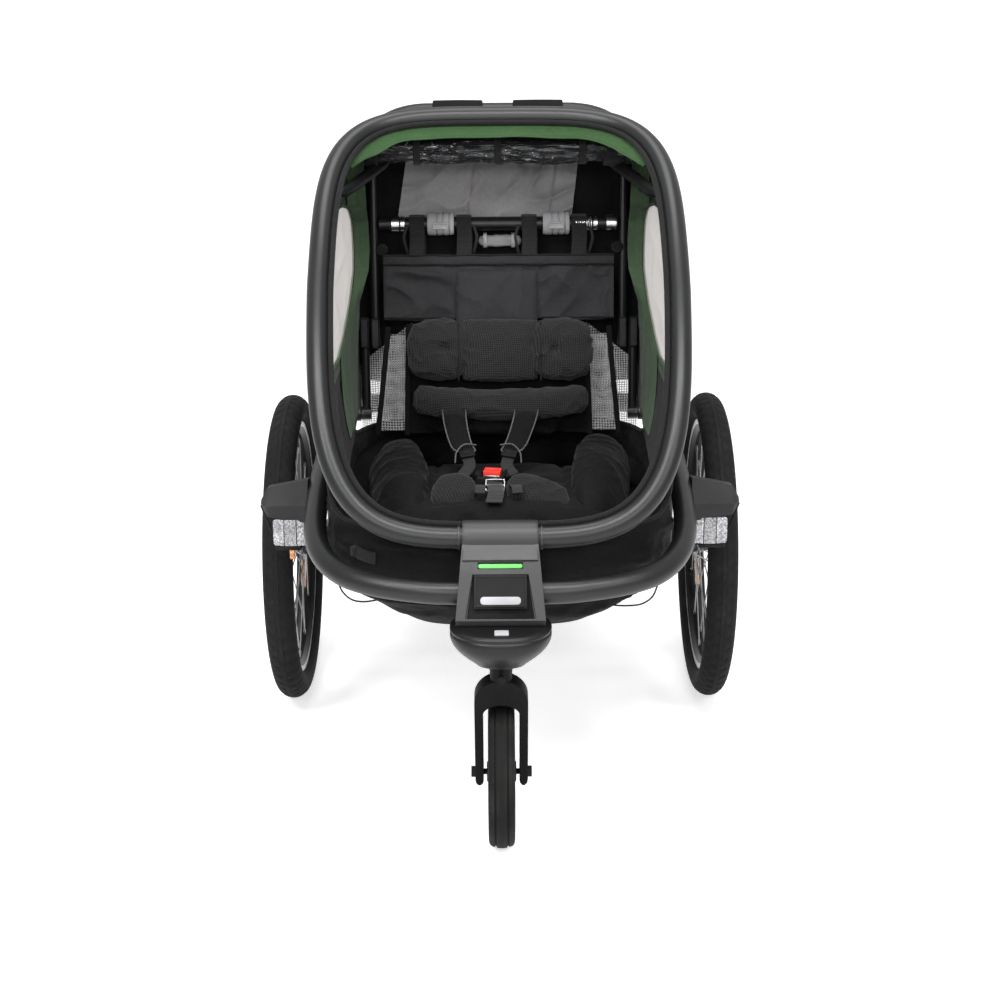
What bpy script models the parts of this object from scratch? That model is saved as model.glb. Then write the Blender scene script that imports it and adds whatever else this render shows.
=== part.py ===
"""Child bike trailer with a jogger front wheel, built as separate solids.

Metres, +Z up. The trailer's front faces -Y, and left and right are as seen
from the front, so left is -X. Sizes are first laid out from the rear axle,
and at the end every piece moves along Y, so that the trailer's box is
centred on the origin.
"""
import math

import bmesh
import bpy
import numpy as np
from mathutils import Matrix, Vector
from mathutils.bvhtree import BVHTree

for old in list(bpy.data.objects):
    bpy.data.objects.remove(old, do_unlink=True)

# Clearances
GAP = 0.0003
RUNNING_GAP = 0.0006
SEAT_GAP = 0.0005

# Rear wheels
RIM_OUTER_RADIUS = 0.2074
TYRE_WIDTH = 0.047
TYRE_HEIGHT = 0.0426
WHEEL_RADIUS = RIM_OUTER_RADIUS + TYRE_HEIGHT
FRAME_HALF_WIDTH = 0.263
WHEEL_X = FRAME_HALF_WIDTH + 0.077
RIM_DEPTH = 0.018
RIM_WIDTH = 0.026
HUB_LENGTH = 0.050
HUB_RADIUS = 0.014
FLANGE_RADIUS = 0.024
SPOKE_COUNT = 20
SPOKE_RADIUS = 0.0012
SPOKE_SIDES = 3
SPOKE_TURN_DEG = -22.64
SPOKE_REFLECTOR_REACH = 0.6685
SPOKE_REFLECTOR_DEG = -33.0
SPOKE_REFLECTOR_SIZE = (0.0062, 0.070, 0.030)
STUB_AXLE_RADIUS = 0.006
AXLE_BUTTON_RADIUS = 0.008
AXLE_BUTTON_TRAVEL = 0.004
WHEEL_STEPS = 36
HUB_STEPS = 16

# Suspension, with the swing arm's pivot ahead of the rear axle
ARM_LENGTH = 0.110
ARM_THICKNESS = 0.012
ARM_HEIGHT = 0.034
BEAM_SIZE = 0.032
BEAM_Z = 0.262
BRAKE_PIVOT = (0.150, -ARM_LENGTH + BEAM_SIZE / 2 + 0.0085, BEAM_Z - 0.006)
RECEIVER_X = 0.113 - FRAME_HALF_WIDTH
RECEIVER_SIZE = (0.044, 0.060, 0.034)
SPRING_PLACE = 0.058
SHELF_HEIGHT = 0.044
SPRING_RADIUS = 0.014
SPRING_WIRE = 0.0022
SPRING_CURLS = 5

# Lower frame, a closed loop of round tube
FRAME_TUBE_RADIUS = 0.016
FRAME_FRONT_Y = -0.575
FRAME_FRONT_Z = 0.365
FRAME_REAR_Y = 0.165
FRAME_REAR_Z = 0.455
FRAME_STEPS = 56

# Upper hoop round the cabin's mouth, bent over an arc seen from the side
HOOP_TUBE_RADIUS = 0.015
HOOP_HALF_WIDTH = FRAME_HALF_WIDTH - 0.012
HOOP_BOTTOM_Y = -0.551
HOOP_BOTTOM_Z = 0.433
HOOP_TOP_Y = -0.060
HOOP_TOP_Z = 0.948
HOOP_ARC_HALF_DEG = 20.0
HOOP_POWER = 4.0
HOOP_TAPER = 0.045
LIP_RADIUS = 0.004
HOOP_STEPS = 48
RAIL_RADIUS = 0.009
RAIL_START_Z = 0.862
RAIL_Z = 0.874
HANDLE_PIVOT_Y = 0.168
HANDLE_HUB_RADIUS = 0.024
HUB_WIDTH = 0.019

# Folding rear posts, opened at the knee
POST_LOW_Y = 0.085
POST_LOW_Z = FRAME_REAR_Z
LINK_TOP_Y = 0.110
POST_LENGTH = 0.135
POST_RADIUS = 0.008
POST_X = FRAME_HALF_WIDTH - 0.041
LINK_X = POST_X - 2 * POST_RADIUS - 0.0022
RAIL_X = POST_X - 0.040
BLOCK_HEIGHT = 0.050
BLOCK_DEPTH = 0.026

# Push handle
HANDLE_RADIUS = 0.0125
HANDLE_REACH = 0.150
HANDLE_RISE = 0.0615
HANDLE_CORNER = 0.085
GRIP_RADIUS = 0.0175
GRIP_START = 0.026
GRIP_END = 0.112

# Front bracket and the wheel dock below it
BRACKET_TOP_WIDTH = 0.100
BRACKET_FOOT_WIDTH = 0.118
SLEEVE_RADIUS = 0.021
BRACKET_FOOT_Z = 0.3305
BRACKET_TOE_Y = -0.6095
STRIP_Z = 0.4047
LEVER_TOP_Z = 0.3925
LEVER_THICKNESS = 0.008
LEVER_LENGTH = 0.044
DOCK_Y = -0.600
DOCK_TOP_Z = 0.330
DOCK_HEIGHT = 0.055
DOCK_WIDTH = 0.134
DOCK_DEPTH = 0.118

# Caster fork and front wheel
SWIVEL_Y = -0.610
STEM_RADIUS = 0.012
COLLAR_RADIUS = 0.0172
STEM_TOP_Z = DOCK_TOP_Z - 0.012
FRONT_WHEEL_RADIUS = 0.1035
FRONT_WHEEL_WIDTH = 0.036
FRONT_RIM_RADIUS = 0.078
FRONT_WHEEL_STEPS = 24
CASTER_TRAIL = 0.045
FORK_HALF_WIDTH = 0.0345
FORK_LEG_WIDTH = 0.0105
FORK_LEG_DEPTH = 0.024
FORK_CROWN_EXTRA = 0.018
FORK_CROWN_Z = 0.2545
FRONT_AXLE_RADIUS = 0.004

# Wheel guards and front reflectors
GUARD_Y = -0.300
GUARD_Z = 0.4155
GUARD_ROOT_X = FRAME_HALF_WIDTH + 0.0175
GUARD_TIP_X = GUARD_ROOT_X + 0.0715
GUARD_ROOT_HEIGHT = 0.062
GUARD_TIP_HEIGHT = 0.030
GUARD_DEPTH = 0.050
REFLECTOR_WIDTH = 0.051
REFLECTOR_HEIGHT = 0.041
REFLECTOR_DEPTH = 0.010

# Fabric body
TUB_WALL = 0.004
TUB_RIM_Z = 0.4355
TUB_FLOOR_Z = 0.2835
TUB_REAR_Y = 0.128
PAN_HALF_WIDTH = 0.185
PAN_LEG_X = 0.140
PAN_LEG_WIDTH = 0.030
CANOPY_WALL = 0.003
CANOPY_REAR_Y = 0.135
CANOPY_REAR_HALF_WIDTH = POST_X + 0.013
CANOPY_REAR_TOP_Z = 0.922
CANOPY_REAR_POWER = 9.0
CANOPY_START_DEG = 44.0
CANOPY_ROWS = 24
CANOPY_STATIONS = (0.0, 0.10, 0.26, 0.42, 0.58, 0.74, 0.88, 1.0)
REAR_BAG_REAR_Y = 0.332
REAR_BAG_HALF_WIDTH = 0.205
REAR_BAG_FLOOR_Z = 0.300
REAR_BAG_TOP_Z = 0.560

# Seat
PANEL_DEPTH = 0.008
CUSHION_HALF_WIDTH = 0.200
CUSHION_FRONT_Y = -0.340
CUSHION_REAR_Y = -0.006
CUSHION_FLOOR_Z = 0.345
CUSHION_TOP_Z = 0.396
BOLSTER_RISE = 0.040
SEAT_BAR_Z = 0.767
SEAT_BAR_RADIUS = 0.011
PANEL_HALF_WIDTH = 0.188
PANEL_TOP_Z = 0.718
BACK_HALF_WIDTH = 0.112
BACK_FOOT_Z = 0.430
BACK_TOP_Z = 0.620
BACK_FOOT_Y = 0.030
BACK_TOP_Y = 0.066
BACK_THICKNESS = 0.018
RECLINE_Z = 0.425
STRAP_XS = (-0.133, -0.056, 0.050, 0.131)
STRAP_WIDTH = 0.025
HIP_PAD_ROUTE = ((0.110, -0.185, 0.4390), (0.084, -0.236, 0.4350), (0.054, -0.268, 0.4310))
HIP_PAD_HALF_WIDTH = 0.026
HIP_PAD_HALF_THICK = 0.0105
SHOULDER_PAD_ROUTE = ((0.052, -0.026, 0.4950), (0.056, -0.066, 0.4640), (0.044, -0.130, 0.4440))
SHOULDER_PAD_HALF_WIDTH = 0.020
SHOULDER_PAD_HALF_THICK = 0.007
BUCKLE_PLACE = (-0.012, -0.196, 0.4395)
BUCKLE_SIZE = (0.040, 0.052, 0.013)

FRONT_END_Y = SWIVEL_Y + CASTER_TRAIL - FRONT_WHEEL_RADIUS
REAR_END_Y = HANDLE_PIVOT_Y + HANDLE_REACH + GRIP_RADIUS
SHIFT_Y = -(FRONT_END_Y + REAR_END_Y) / 2


def make_material(name, colour, roughness, metallic=0.0):
    made = bpy.data.materials.new(name)
    made.use_nodes = True
    shader = made.node_tree.nodes["Principled BSDF"]
    shader.inputs["Base Color"].default_value = (*colour, 1.0)
    shader.inputs["Roughness"].default_value = roughness
    shader.inputs["Metallic"].default_value = metallic
    return made


SATIN_GREY = make_material("satin_dark_grey", (0.040, 0.041, 0.043), 0.42, 0.3)
BLACK_PLASTIC = make_material("black_plastic", (0.022, 0.022, 0.023), 0.45)
GREY_PLASTIC = make_material("grey_plastic", (0.14, 0.14, 0.145), 0.5)
BLACK_FABRIC = make_material("black_fabric", (0.013, 0.013, 0.014), 0.85)
GREEN_FABRIC = make_material("green_fabric", (0.030, 0.098, 0.034), 0.8)
MESH_FABRIC = make_material("black_mesh_fabric", (0.020, 0.020, 0.021), 0.9)
CLEAR_FILM = make_material("clear_film", (0.55, 0.52, 0.50), 0.12)
TYRE_RUBBER = make_material("tyre_rubber", (0.018, 0.018, 0.018), 0.75)
SOFT_RUBBER = make_material("soft_rubber", (0.010, 0.010, 0.010), 0.6)
RIM_METAL = make_material("black_rim", (0.03, 0.03, 0.032), 0.35, 0.8)
STEEL = make_material("steel", (0.45, 0.45, 0.46), 0.3, 1.0)
GREEN_PLASTIC = make_material("green_plastic", (0.10, 0.42, 0.09), 0.4)
RED_PLASTIC = make_material("red_plastic", (0.55, 0.03, 0.02), 0.35)
ORANGE_REFLECTOR = make_material("orange_reflector", (0.85, 0.28, 0.02), 0.2)
WHITE_REFLECTOR = make_material("white_reflector", (0.70, 0.70, 0.72), 0.2)


def finish(name, mesh_data, surface, crease_deg=40.0):
    """Make an object of a bmesh, shaded smooth up to the crease angle."""
    bmesh.ops.recalc_face_normals(mesh_data, faces=mesh_data.faces)
    mesh = bpy.data.meshes.new(name)
    mesh_data.to_mesh(mesh)
    mesh_data.free()
    mesh.shade_smooth()
    mesh.set_sharp_from_angle(angle=math.radians(crease_deg))
    piece = bpy.data.objects.new(name, mesh)
    piece.data.materials.append(surface)
    bpy.context.collection.objects.link(piece)
    return piece


def loft(name, rings, surface, closed=False, crease_deg=40.0):
    """Skin a row of rings with equal numbers of points, capped unless closed."""
    work = bmesh.new()
    rows = [[work.verts.new(point) for point in ring] for ring in rings]
    count = len(rows[0])
    last = len(rows) if closed else len(rows) - 1
    for i in range(last):
        near, far = rows[i], rows[(i + 1) % len(rows)]
        for k in range(count):
            after = (k + 1) % count
            work.faces.new((near[k], near[after], far[after], far[k]))
    if not closed:
        work.faces.new(rows[0][::-1])
        work.faces.new(rows[-1])
    return finish(name, work, surface, crease_deg)


def lathe(name, profile, surface, steps, centre=(0, 0, 0), axis="X", crease_deg=40.0):
    """Turn a closed profile of (radius, place along the axis) about an axis."""
    rings = []
    for i in range(steps):
        angle = 2 * math.pi * i / steps
        c, s = math.cos(angle), math.sin(angle)
        if axis == "X":
            ring = [(a, r * c, r * s) for r, a in profile]
        else:
            ring = [(r * c, r * s, a) for r, a in profile]
        rings.append(ring)
    piece = loft(name, rings, surface, closed=True, crease_deg=crease_deg)
    piece.location = centre
    return piece


def turned_bar(name, profile, surface, centre, sides=20):
    """A solid bar of changing radius, from (radius, z) pairs, bottom first."""
    rings = [[(radius * math.cos(2 * math.pi * k / sides),
               radius * math.sin(2 * math.pi * k / sides), z) for k in range(sides)]
             for radius, z in profile]
    bar = loft(name, rings, surface)
    bar.location = centre
    return bar


def cylinder(name, radius, length, surface, centre, axis="X", sides=20):
    """A plain round bar, centred, along one axis."""
    work = bmesh.new()
    bmesh.ops.create_cone(
        work, cap_ends=True, segments=sides, radius1=radius, radius2=radius, depth=length
    )
    turns = {"X": (math.pi / 2, "Y"), "Y": (math.pi / 2, "X"), "Z": (0.0, "Z")}
    angle, about = turns[axis]
    bmesh.ops.rotate(work, verts=work.verts, matrix=Matrix.Rotation(angle, 3, about))
    piece = finish(name, work, surface)
    piece.location = centre
    return piece


def block(name, size, surface, centre, round_edge=0.0, segments=1):
    """A box with rounded edges."""
    work = bmesh.new()
    bmesh.ops.create_cube(work, size=1.0)
    bmesh.ops.scale(work, verts=work.verts, vec=size)
    if round_edge:
        bmesh.ops.bevel(
            work, geom=work.edges, offset=round_edge, segments=segments,
            profile=0.5, affect="EDGES",
        )
    piece = finish(name, work, surface)
    piece.location = centre
    return piece


def tube(name, points, radius, surface, cyclic=False, resolution=3):
    """A round tube along points, as a bevelled curve."""
    curve = bpy.data.curves.new(name, "CURVE")
    curve.dimensions = "3D"
    line = curve.splines.new("POLY")
    line.points.add(len(points) - 1)
    for spot, point in zip(line.points, points):
        spot.co = (*point, 1.0)
    line.use_cyclic_u = cyclic
    line.use_smooth = True
    curve.bevel_depth = radius
    curve.bevel_resolution = resolution
    curve.use_fill_caps = not cyclic
    curve.materials.append(surface)
    piece = bpy.data.objects.new(name, curve)
    bpy.context.collection.objects.link(piece)
    return piece


def solid_tube(name, points, radius, surface, cyclic=False, resolution=2):
    """A round tube as a mesh, so that it can be joined or cut."""
    curve = tube("guide_curve", points, radius, surface, cyclic, resolution)
    bpy.context.view_layer.update()
    mesh = bpy.data.meshes.new_from_object(curve)
    bpy.data.objects.remove(curve)
    piece = bpy.data.objects.new(name, mesh)
    bpy.context.collection.objects.link(piece)
    return piece


def smooth_through(points, steps, cyclic=False):
    """Points on a smooth curve through the given ones, at even steps."""
    spots = [Vector(p) for p in points]
    count = len(spots)
    spans = count if cyclic else count - 1
    fine = []
    for i in range(spans):
        if cyclic:
            a, b, c, d = (spots[(i + k) % count] for k in (-1, 0, 1, 2))
        else:
            a, b = spots[max(i - 1, 0)], spots[i]
            c, d = spots[i + 1], spots[min(i + 2, count - 1)]
        for k in range(24):
            t = k / 24
            fine.append(
                0.5 * ((2 * b) + (c - a) * t + (2 * a - 5 * b + 4 * c - d) * t * t
                       + (3 * b - a - 3 * c + d) * t ** 3)
            )
    fine.append(fine[0].copy() if cyclic else spots[-1])
    lengths = np.cumsum([0.0] + [(q - p).length for p, q in zip(fine, fine[1:])])
    total = steps if cyclic else steps - 1
    wanted = np.linspace(0.0, lengths[-1], total + 1)[: steps]
    coords = np.array([tuple(p) for p in fine])
    return [tuple(np.interp(w, lengths, coords[:, k]) for k in range(3)) for w in wanted]


def boolean(piece, other, operation):
    """Join or cut a piece with another, which stays only as a hidden guide."""
    change = piece.modifiers.new(operation.lower(), "BOOLEAN")
    change.operation = operation
    change.object = other
    other.hide_render = True
    other.display_type = "WIRE"


def rounded_ring(half_width, half_height, power, count):
    """Points round a superellipse."""
    ring = []
    for k in range(count):
        angle = 2 * math.pi * k / count
        c, s = math.cos(angle), math.sin(angle)
        ring.append((
            half_width * math.copysign(abs(c) ** (2 / power), c),
            half_height * math.copysign(abs(s) ** (2 / power), s),
        ))
    return ring


def surface_of(piece):
    """The points and the search tree of a finished surface, in the world."""
    shown = piece.evaluated_get(bpy.context.evaluated_depsgraph_get())
    mesh = shown.to_mesh()
    points = [shown.matrix_world @ corner.co for corner in mesh.vertices]
    tree = BVHTree.FromPolygons(points, [tuple(face.vertices) for face in mesh.polygons])
    shown.to_mesh_clear()
    return points, tree


def settle(piece, support, direction, others=()):
    """Move a piece along a direction until it meets its support, with a gap."""
    bpy.context.view_layer.update()
    way = Vector(direction).normalized()
    own_points, own_tree = surface_of(piece)
    points, tree = surface_of(support)
    reach = [tree.ray_cast(point, way)[3] for point in own_points]
    reach += [own_tree.ray_cast(point, -way)[3] for point in points]
    reach = [distance for distance in reach if distance is not None]
    if reach:
        step = way * (min(reach) - SEAT_GAP)
        for moved in (piece, *others):
            moved.location += step


def side_name(stem, side):
    return f"{stem}_{'left' if side < 0 else 'right'}"


# Hoop: a superellipse laid on a cylinder whose side view is an arc
HOOP_CHORD = math.hypot(HOOP_TOP_Y - HOOP_BOTTOM_Y, HOOP_TOP_Z - HOOP_BOTTOM_Z)
HOOP_CHORD_ANGLE = math.atan2(HOOP_TOP_Z - HOOP_BOTTOM_Z, HOOP_TOP_Y - HOOP_BOTTOM_Y)
HOOP_HALF_ARC = math.radians(HOOP_ARC_HALF_DEG)
HOOP_ARC_RADIUS = HOOP_CHORD / 2 / math.sin(HOOP_HALF_ARC)
HOOP_LENGTH = 2 * HOOP_ARC_RADIUS * HOOP_HALF_ARC


def hoop_profile(along):
    """The side view's place and inward normal at a length along the arc."""
    heading = HOOP_CHORD_ANGLE + HOOP_HALF_ARC - along / HOOP_ARC_RADIUS
    start = HOOP_CHORD_ANGLE + HOOP_HALF_ARC
    y = HOOP_BOTTOM_Y + HOOP_ARC_RADIUS * (math.sin(start) - math.sin(heading))
    z = HOOP_BOTTOM_Z + HOOP_ARC_RADIUS * (math.cos(heading) - math.cos(start))
    return y, z, (math.sin(heading), -math.cos(heading))


def hoop_outline(angle):
    """The hoop's flat outline: x, and length along the arc from its foot."""
    c, s = math.sin(angle), -math.cos(angle)
    x = HOOP_HALF_WIDTH * math.copysign(abs(c) ** (2 / HOOP_POWER), c)
    up = math.copysign(abs(s) ** (2 / HOOP_POWER), s)
    return x * (1 - HOOP_TAPER * max(-up, 0.0)), HOOP_LENGTH / 2 * (1 + up)


def hoop_point(angle, inset=0.0, behind=0.0):
    """A point of the hoop; inset moves it inwards, behind moves it back."""
    step = 1e-3
    x0, s0 = hoop_outline(angle - step)
    x1, s1 = hoop_outline(angle + step)
    x, s = hoop_outline(angle)
    length = math.hypot(x1 - x0, s1 - s0)
    x -= inset * (s1 - s0) / length
    s += inset * (x1 - x0) / length
    y, z, normal = hoop_profile(s)
    return x, y + behind * normal[0], z + behind * normal[1]


def hoop_angles(count):
    """Angles round the hoop that lie at even lengths along it."""
    fine = [2 * math.pi * k / 720 + 0.0021 for k in range(721)]
    places = [Vector(hoop_point(a)) for a in fine]
    lengths = np.cumsum([0.0] + [(q - p).length for p, q in zip(places, places[1:])])
    return [float(np.interp(w, lengths, fine))
            for w in np.linspace(0.0, lengths[-1], count + 1)[:-1]]


def build_hoop():
    angles = hoop_angles(HOOP_STEPS)
    hoop = solid_tube("upper_hoop", [hoop_point(a) for a in angles], HOOP_TUBE_RADIUS,
                      SATIN_GREY, cyclic=True)
    for side in (-1, 1):
        corner = min(angles, key=lambda a: abs(hoop_point(a)[2] - RAIL_START_Z)
                     + (1.0 if hoop_point(a)[0] * side < 0 else 0.0))
        leaving = hoop_point(corner, inset=0.018, behind=0.015)
        route = [hoop_point(corner), leaving, (side * 0.205, -0.080, RAIL_Z - 0.016),
                 (side * RAIL_X, 0.020, RAIL_Z - 0.003), (side * RAIL_X, 0.090, RAIL_Z),
                 (side * RAIL_X, HANDLE_PIVOT_Y, RAIL_Z)]
        rail = solid_tube("guide_rail", smooth_through(route, 8), RAIL_RADIUS, SATIN_GREY)
        boolean(hoop, rail, "UNION")
        hub = cylinder("guide_hub", HANDLE_HUB_RADIUS, HUB_WIDTH, SATIN_GREY,
                       (side * RAIL_X, HANDLE_PIVOT_Y, RAIL_Z))
        boolean(hoop, hub, "UNION")
        pin_end = LINK_X + POST_RADIUS
        pin = cylinder("guide_pin", 0.0045, pin_end - RAIL_X, SATIN_GREY,
                       (side * (RAIL_X + pin_end) / 2, LINK_TOP_Y, RAIL_Z), sides=12)
        boolean(hoop, pin, "UNION")
    inset = HOOP_TUBE_RADIUS + LIP_RADIUS - 0.0009
    lip_points = [hoop_point(a, inset=inset) for a in angles]
    tube("hoop_lip", lip_points, LIP_RADIUS, SOFT_RUBBER, cyclic=True, resolution=0)


def lower_frame_route():
    """The lower tube's route, one half by hand and mirrored."""
    half = [
        (0.020, FRAME_FRONT_Y, FRAME_FRONT_Z), (0.062, FRAME_FRONT_Y, FRAME_FRONT_Z),
        (0.105, FRAME_FRONT_Y + 0.0035, FRAME_FRONT_Z + 0.001),
        (FRAME_HALF_WIDTH - 0.097, FRAME_FRONT_Y + 0.019, FRAME_FRONT_Z + 0.005),
        (FRAME_HALF_WIDTH - 0.053, FRAME_FRONT_Y + 0.044, FRAME_FRONT_Z + 0.011),
        (FRAME_HALF_WIDTH - 0.023, FRAME_FRONT_Y + 0.085, FRAME_FRONT_Z + 0.021),
        (FRAME_HALF_WIDTH - 0.006, FRAME_FRONT_Y + 0.142, FRAME_FRONT_Z + 0.035),
        (FRAME_HALF_WIDTH, -0.350, 0.421), (FRAME_HALF_WIDTH, -0.240, 0.446),
        (FRAME_HALF_WIDTH, -0.120, FRAME_REAR_Z),
        (FRAME_HALF_WIDTH, 0.020, FRAME_REAR_Z),
        (FRAME_HALF_WIDTH - 0.001, 0.085, FRAME_REAR_Z),
        (FRAME_HALF_WIDTH - 0.020, 0.140, FRAME_REAR_Z),
        (FRAME_HALF_WIDTH - 0.068, FRAME_REAR_Y - 0.002, FRAME_REAR_Z),
        (0.100, FRAME_REAR_Y, FRAME_REAR_Z),
    ]
    other = [(-x, y, z) for x, y, z in reversed(half)]
    return half + other


def build_lower_frame():
    route = smooth_through(lower_frame_route(), FRAME_STEPS, cyclic=True)
    frame = solid_tube("lower_frame", route, FRAME_TUBE_RADIUS, SATIN_GREY, cyclic=True)
    lug_inner = POST_X + POST_RADIUS + RUNNING_GAP
    for side in (-1, 1):
        lug = cylinder("guide_lug", 0.013, FRAME_HALF_WIDTH - lug_inner, SATIN_GREY,
                       (side * (FRAME_HALF_WIDTH + lug_inner) / 2, POST_LOW_Y, POST_LOW_Z))
        boolean(frame, lug, "UNION")
        pin_inner = POST_X - POST_RADIUS
        pin = cylinder("guide_pin", 0.0045, lug_inner + 0.004 - pin_inner, SATIN_GREY,
                       (side * (lug_inner + 0.004 + pin_inner) / 2, POST_LOW_Y, POST_LOW_Z),
                       sides=12)
        boolean(frame, pin, "UNION")
        leg_top = (side * (FRAME_HALF_WIDTH - 0.001), -ARM_LENGTH, FRAME_REAR_Z - 0.006)
        leg_foot = (side * (FRAME_HALF_WIDTH - 0.001), -ARM_LENGTH, BEAM_Z + BEAM_SIZE / 2 + GAP)
        leg = solid_tube("guide_leg", [leg_top, leg_foot], 0.011, SATIN_GREY)
        boolean(frame, leg, "UNION")


def build_axle_beam():
    """The cross beam, with a pin at each end and the tow arm's receiver below."""
    half = FRAME_HALF_WIDTH + 0.012
    beam = block("axle_beam", (2 * half, BEAM_SIZE, BEAM_SIZE), SATIN_GREY,
                 (0, -ARM_LENGTH, BEAM_Z), 0.003)
    receiver_z = -BEAM_SIZE / 2 - RECEIVER_SIZE[2] / 2 + 0.002
    receiver = block("guide_receiver", RECEIVER_SIZE, BLACK_PLASTIC, (RECEIVER_X, 0, receiver_z))
    mouth = block("guide_mouth", (0.022, 0.050, 0.018), BLACK_PLASTIC,
                  (RECEIVER_X, -RECEIVER_SIZE[1] / 2, receiver_z))
    for extra, operation in ((receiver, "UNION"), (mouth, "DIFFERENCE")):
        extra.parent = beam
        boolean(beam, extra, operation)
    for side in (-1, 1):
        reach = ARM_THICKNESS + 0.006
        pin = cylinder("guide_pin", 0.008, reach + 0.010, SATIN_GREY,
                       (side * (half + reach / 2 - 0.005), 0, 0), sides=16)
        pin.parent = beam
        boolean(beam, pin, "UNION")


def arm_inner_x():
    return FRAME_HALF_WIDTH + 0.012 + RUNNING_GAP


def build_suspension(side):
    """A swing arm with the stub axle, and its coil spring."""
    inner = arm_inner_x()
    centre_x = side * (inner + ARM_THICKNESS / 2)
    outline = []
    for end_y, end_z, first in ((-ARM_LENGTH, BEAM_Z, math.pi / 2), (0.0, WHEEL_RADIUS, -math.pi / 2)):
        for k in range(7):
            angle = first + math.pi * k / 6
            outline.append((end_y + ARM_HEIGHT / 2 * math.cos(angle),
                            end_z + ARM_HEIGHT / 2 * math.sin(angle)))
    rings = [[(centre_x + shift, y, z) for y, z in outline]
             for shift in (-ARM_THICKNESS / 2, ARM_THICKNESS / 2)]
    rings = [[(x, y + ARM_LENGTH, z - BEAM_Z) for x, y, z in ring] for ring in rings]
    arm = loft(side_name("suspension_arm", side), rings, SATIN_GREY)
    arm.location = (0, -ARM_LENGTH, BEAM_Z)
    bore = cylinder("guide_bore", 0.008 + RUNNING_GAP, 0.040, SATIN_GREY,
                    (centre_x, 0, 0), sides=16)
    bore.parent = arm
    boolean(arm, bore, "DIFFERENCE")
    axle_end = WHEEL_X + HUB_LENGTH / 2 - 0.006
    axle_start = inner + 0.004
    axle = cylinder("guide_axle", STUB_AXLE_RADIUS, axle_end - axle_start, STEEL,
                    (side * (axle_start + axle_end) / 2, ARM_LENGTH, WHEEL_RADIUS - BEAM_Z),
                    sides=16)
    axle.parent = arm
    boolean(arm, axle, "UNION")
    collar_end = WHEEL_X - HUB_LENGTH / 2 - RUNNING_GAP
    collar = cylinder("guide_collar", 0.010, collar_end - axle_start, STEEL,
                      (side * (axle_start + collar_end) / 2, ARM_LENGTH, WHEEL_RADIUS - BEAM_Z),
                      sides=16)
    web = block("guide_web", (ARM_THICKNESS - 0.001, 0.040, 0.038), SATIN_GREY,
                (side * (inner + ARM_THICKNESS / 2), SPRING_PLACE, 0.024))
    shelf = block("guide_shelf", (0.040, 0.044, 0.006), SATIN_GREY,
                  (side * (inner - 0.014), SPRING_PLACE, SHELF_HEIGHT - 0.003))
    for extra in (collar, web, shelf):
        extra.parent = arm
        boolean(arm, extra, "UNION")
    build_spring(side, inner)


def build_spring(side, inner):
    """An open coil spring between the arm's shelf and the frame tube."""
    foot = BEAM_Z + SHELF_HEIGHT + GAP + SPRING_WIRE
    top = FRAME_REAR_Z - FRAME_TUBE_RADIUS - GAP - SPRING_WIRE - 0.0012
    count = SPRING_CURLS * 9 + 1
    centre_x = side * (FRAME_HALF_WIDTH - 0.001)
    centre_y = -ARM_LENGTH + SPRING_PLACE
    points = []
    for k in range(count):
        angle = 2 * math.pi * k / 9
        points.append((centre_x + SPRING_RADIUS * math.cos(angle),
                       centre_y + SPRING_RADIUS * math.sin(angle),
                       foot + (top - foot) * k / (count - 1)))
    tube(side_name("suspension_spring", side), points, SPRING_WIRE, STEEL, resolution=1)


def build_wheel(side):
    """Tyre, rim, spoked hub, reflector and release button of one rear wheel."""
    centre = (side * WHEEL_X, 0, WHEEL_RADIUS)
    half = TYRE_WIDTH / 2
    middle = WHEEL_RADIUS - half
    seat = RIM_OUTER_RADIUS + GAP
    arc = []
    for k in range(9):
        angle = math.radians(-128 + 256 * k / 8)
        arc.append((middle + half * math.cos(angle), half * math.sin(angle)))
    bead = RIM_WIDTH / 2 - 0.001
    profile = arc + [(seat, bead), (seat, -bead)]
    lathe(side_name("tyre", side), profile, TYRE_RUBBER, WHEEL_STEPS, centre)
    rim_inner = RIM_OUTER_RADIUS - RIM_DEPTH
    rim_half = RIM_WIDTH / 2
    rim = [(RIM_OUTER_RADIUS, rim_half), (rim_inner + 0.005, rim_half - 0.002),
           (rim_inner, 0.005), (rim_inner, -0.005),
           (rim_inner + 0.005, -rim_half + 0.002), (RIM_OUTER_RADIUS, -rim_half)]
    lathe(side_name("rim", side), rim, RIM_METAL, WHEEL_STEPS, centre)
    build_hub(side, centre, rim_inner)
    reflector = block(side_name("spoke_reflector", side), SPOKE_REFLECTOR_SIZE,
                      ORANGE_REFLECTOR, (0, 0, 0), 0.002, 1)
    reach = RIM_OUTER_RADIUS * SPOKE_REFLECTOR_REACH
    turn = math.radians(SPOKE_REFLECTOR_DEG)
    reflector.location = (side * WHEEL_X, reach * math.cos(turn),
                          WHEEL_RADIUS + reach * math.sin(turn))
    reflector.rotation_euler = (turn + math.pi / 2, 0, 0)
    build_axle_button(side)


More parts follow.
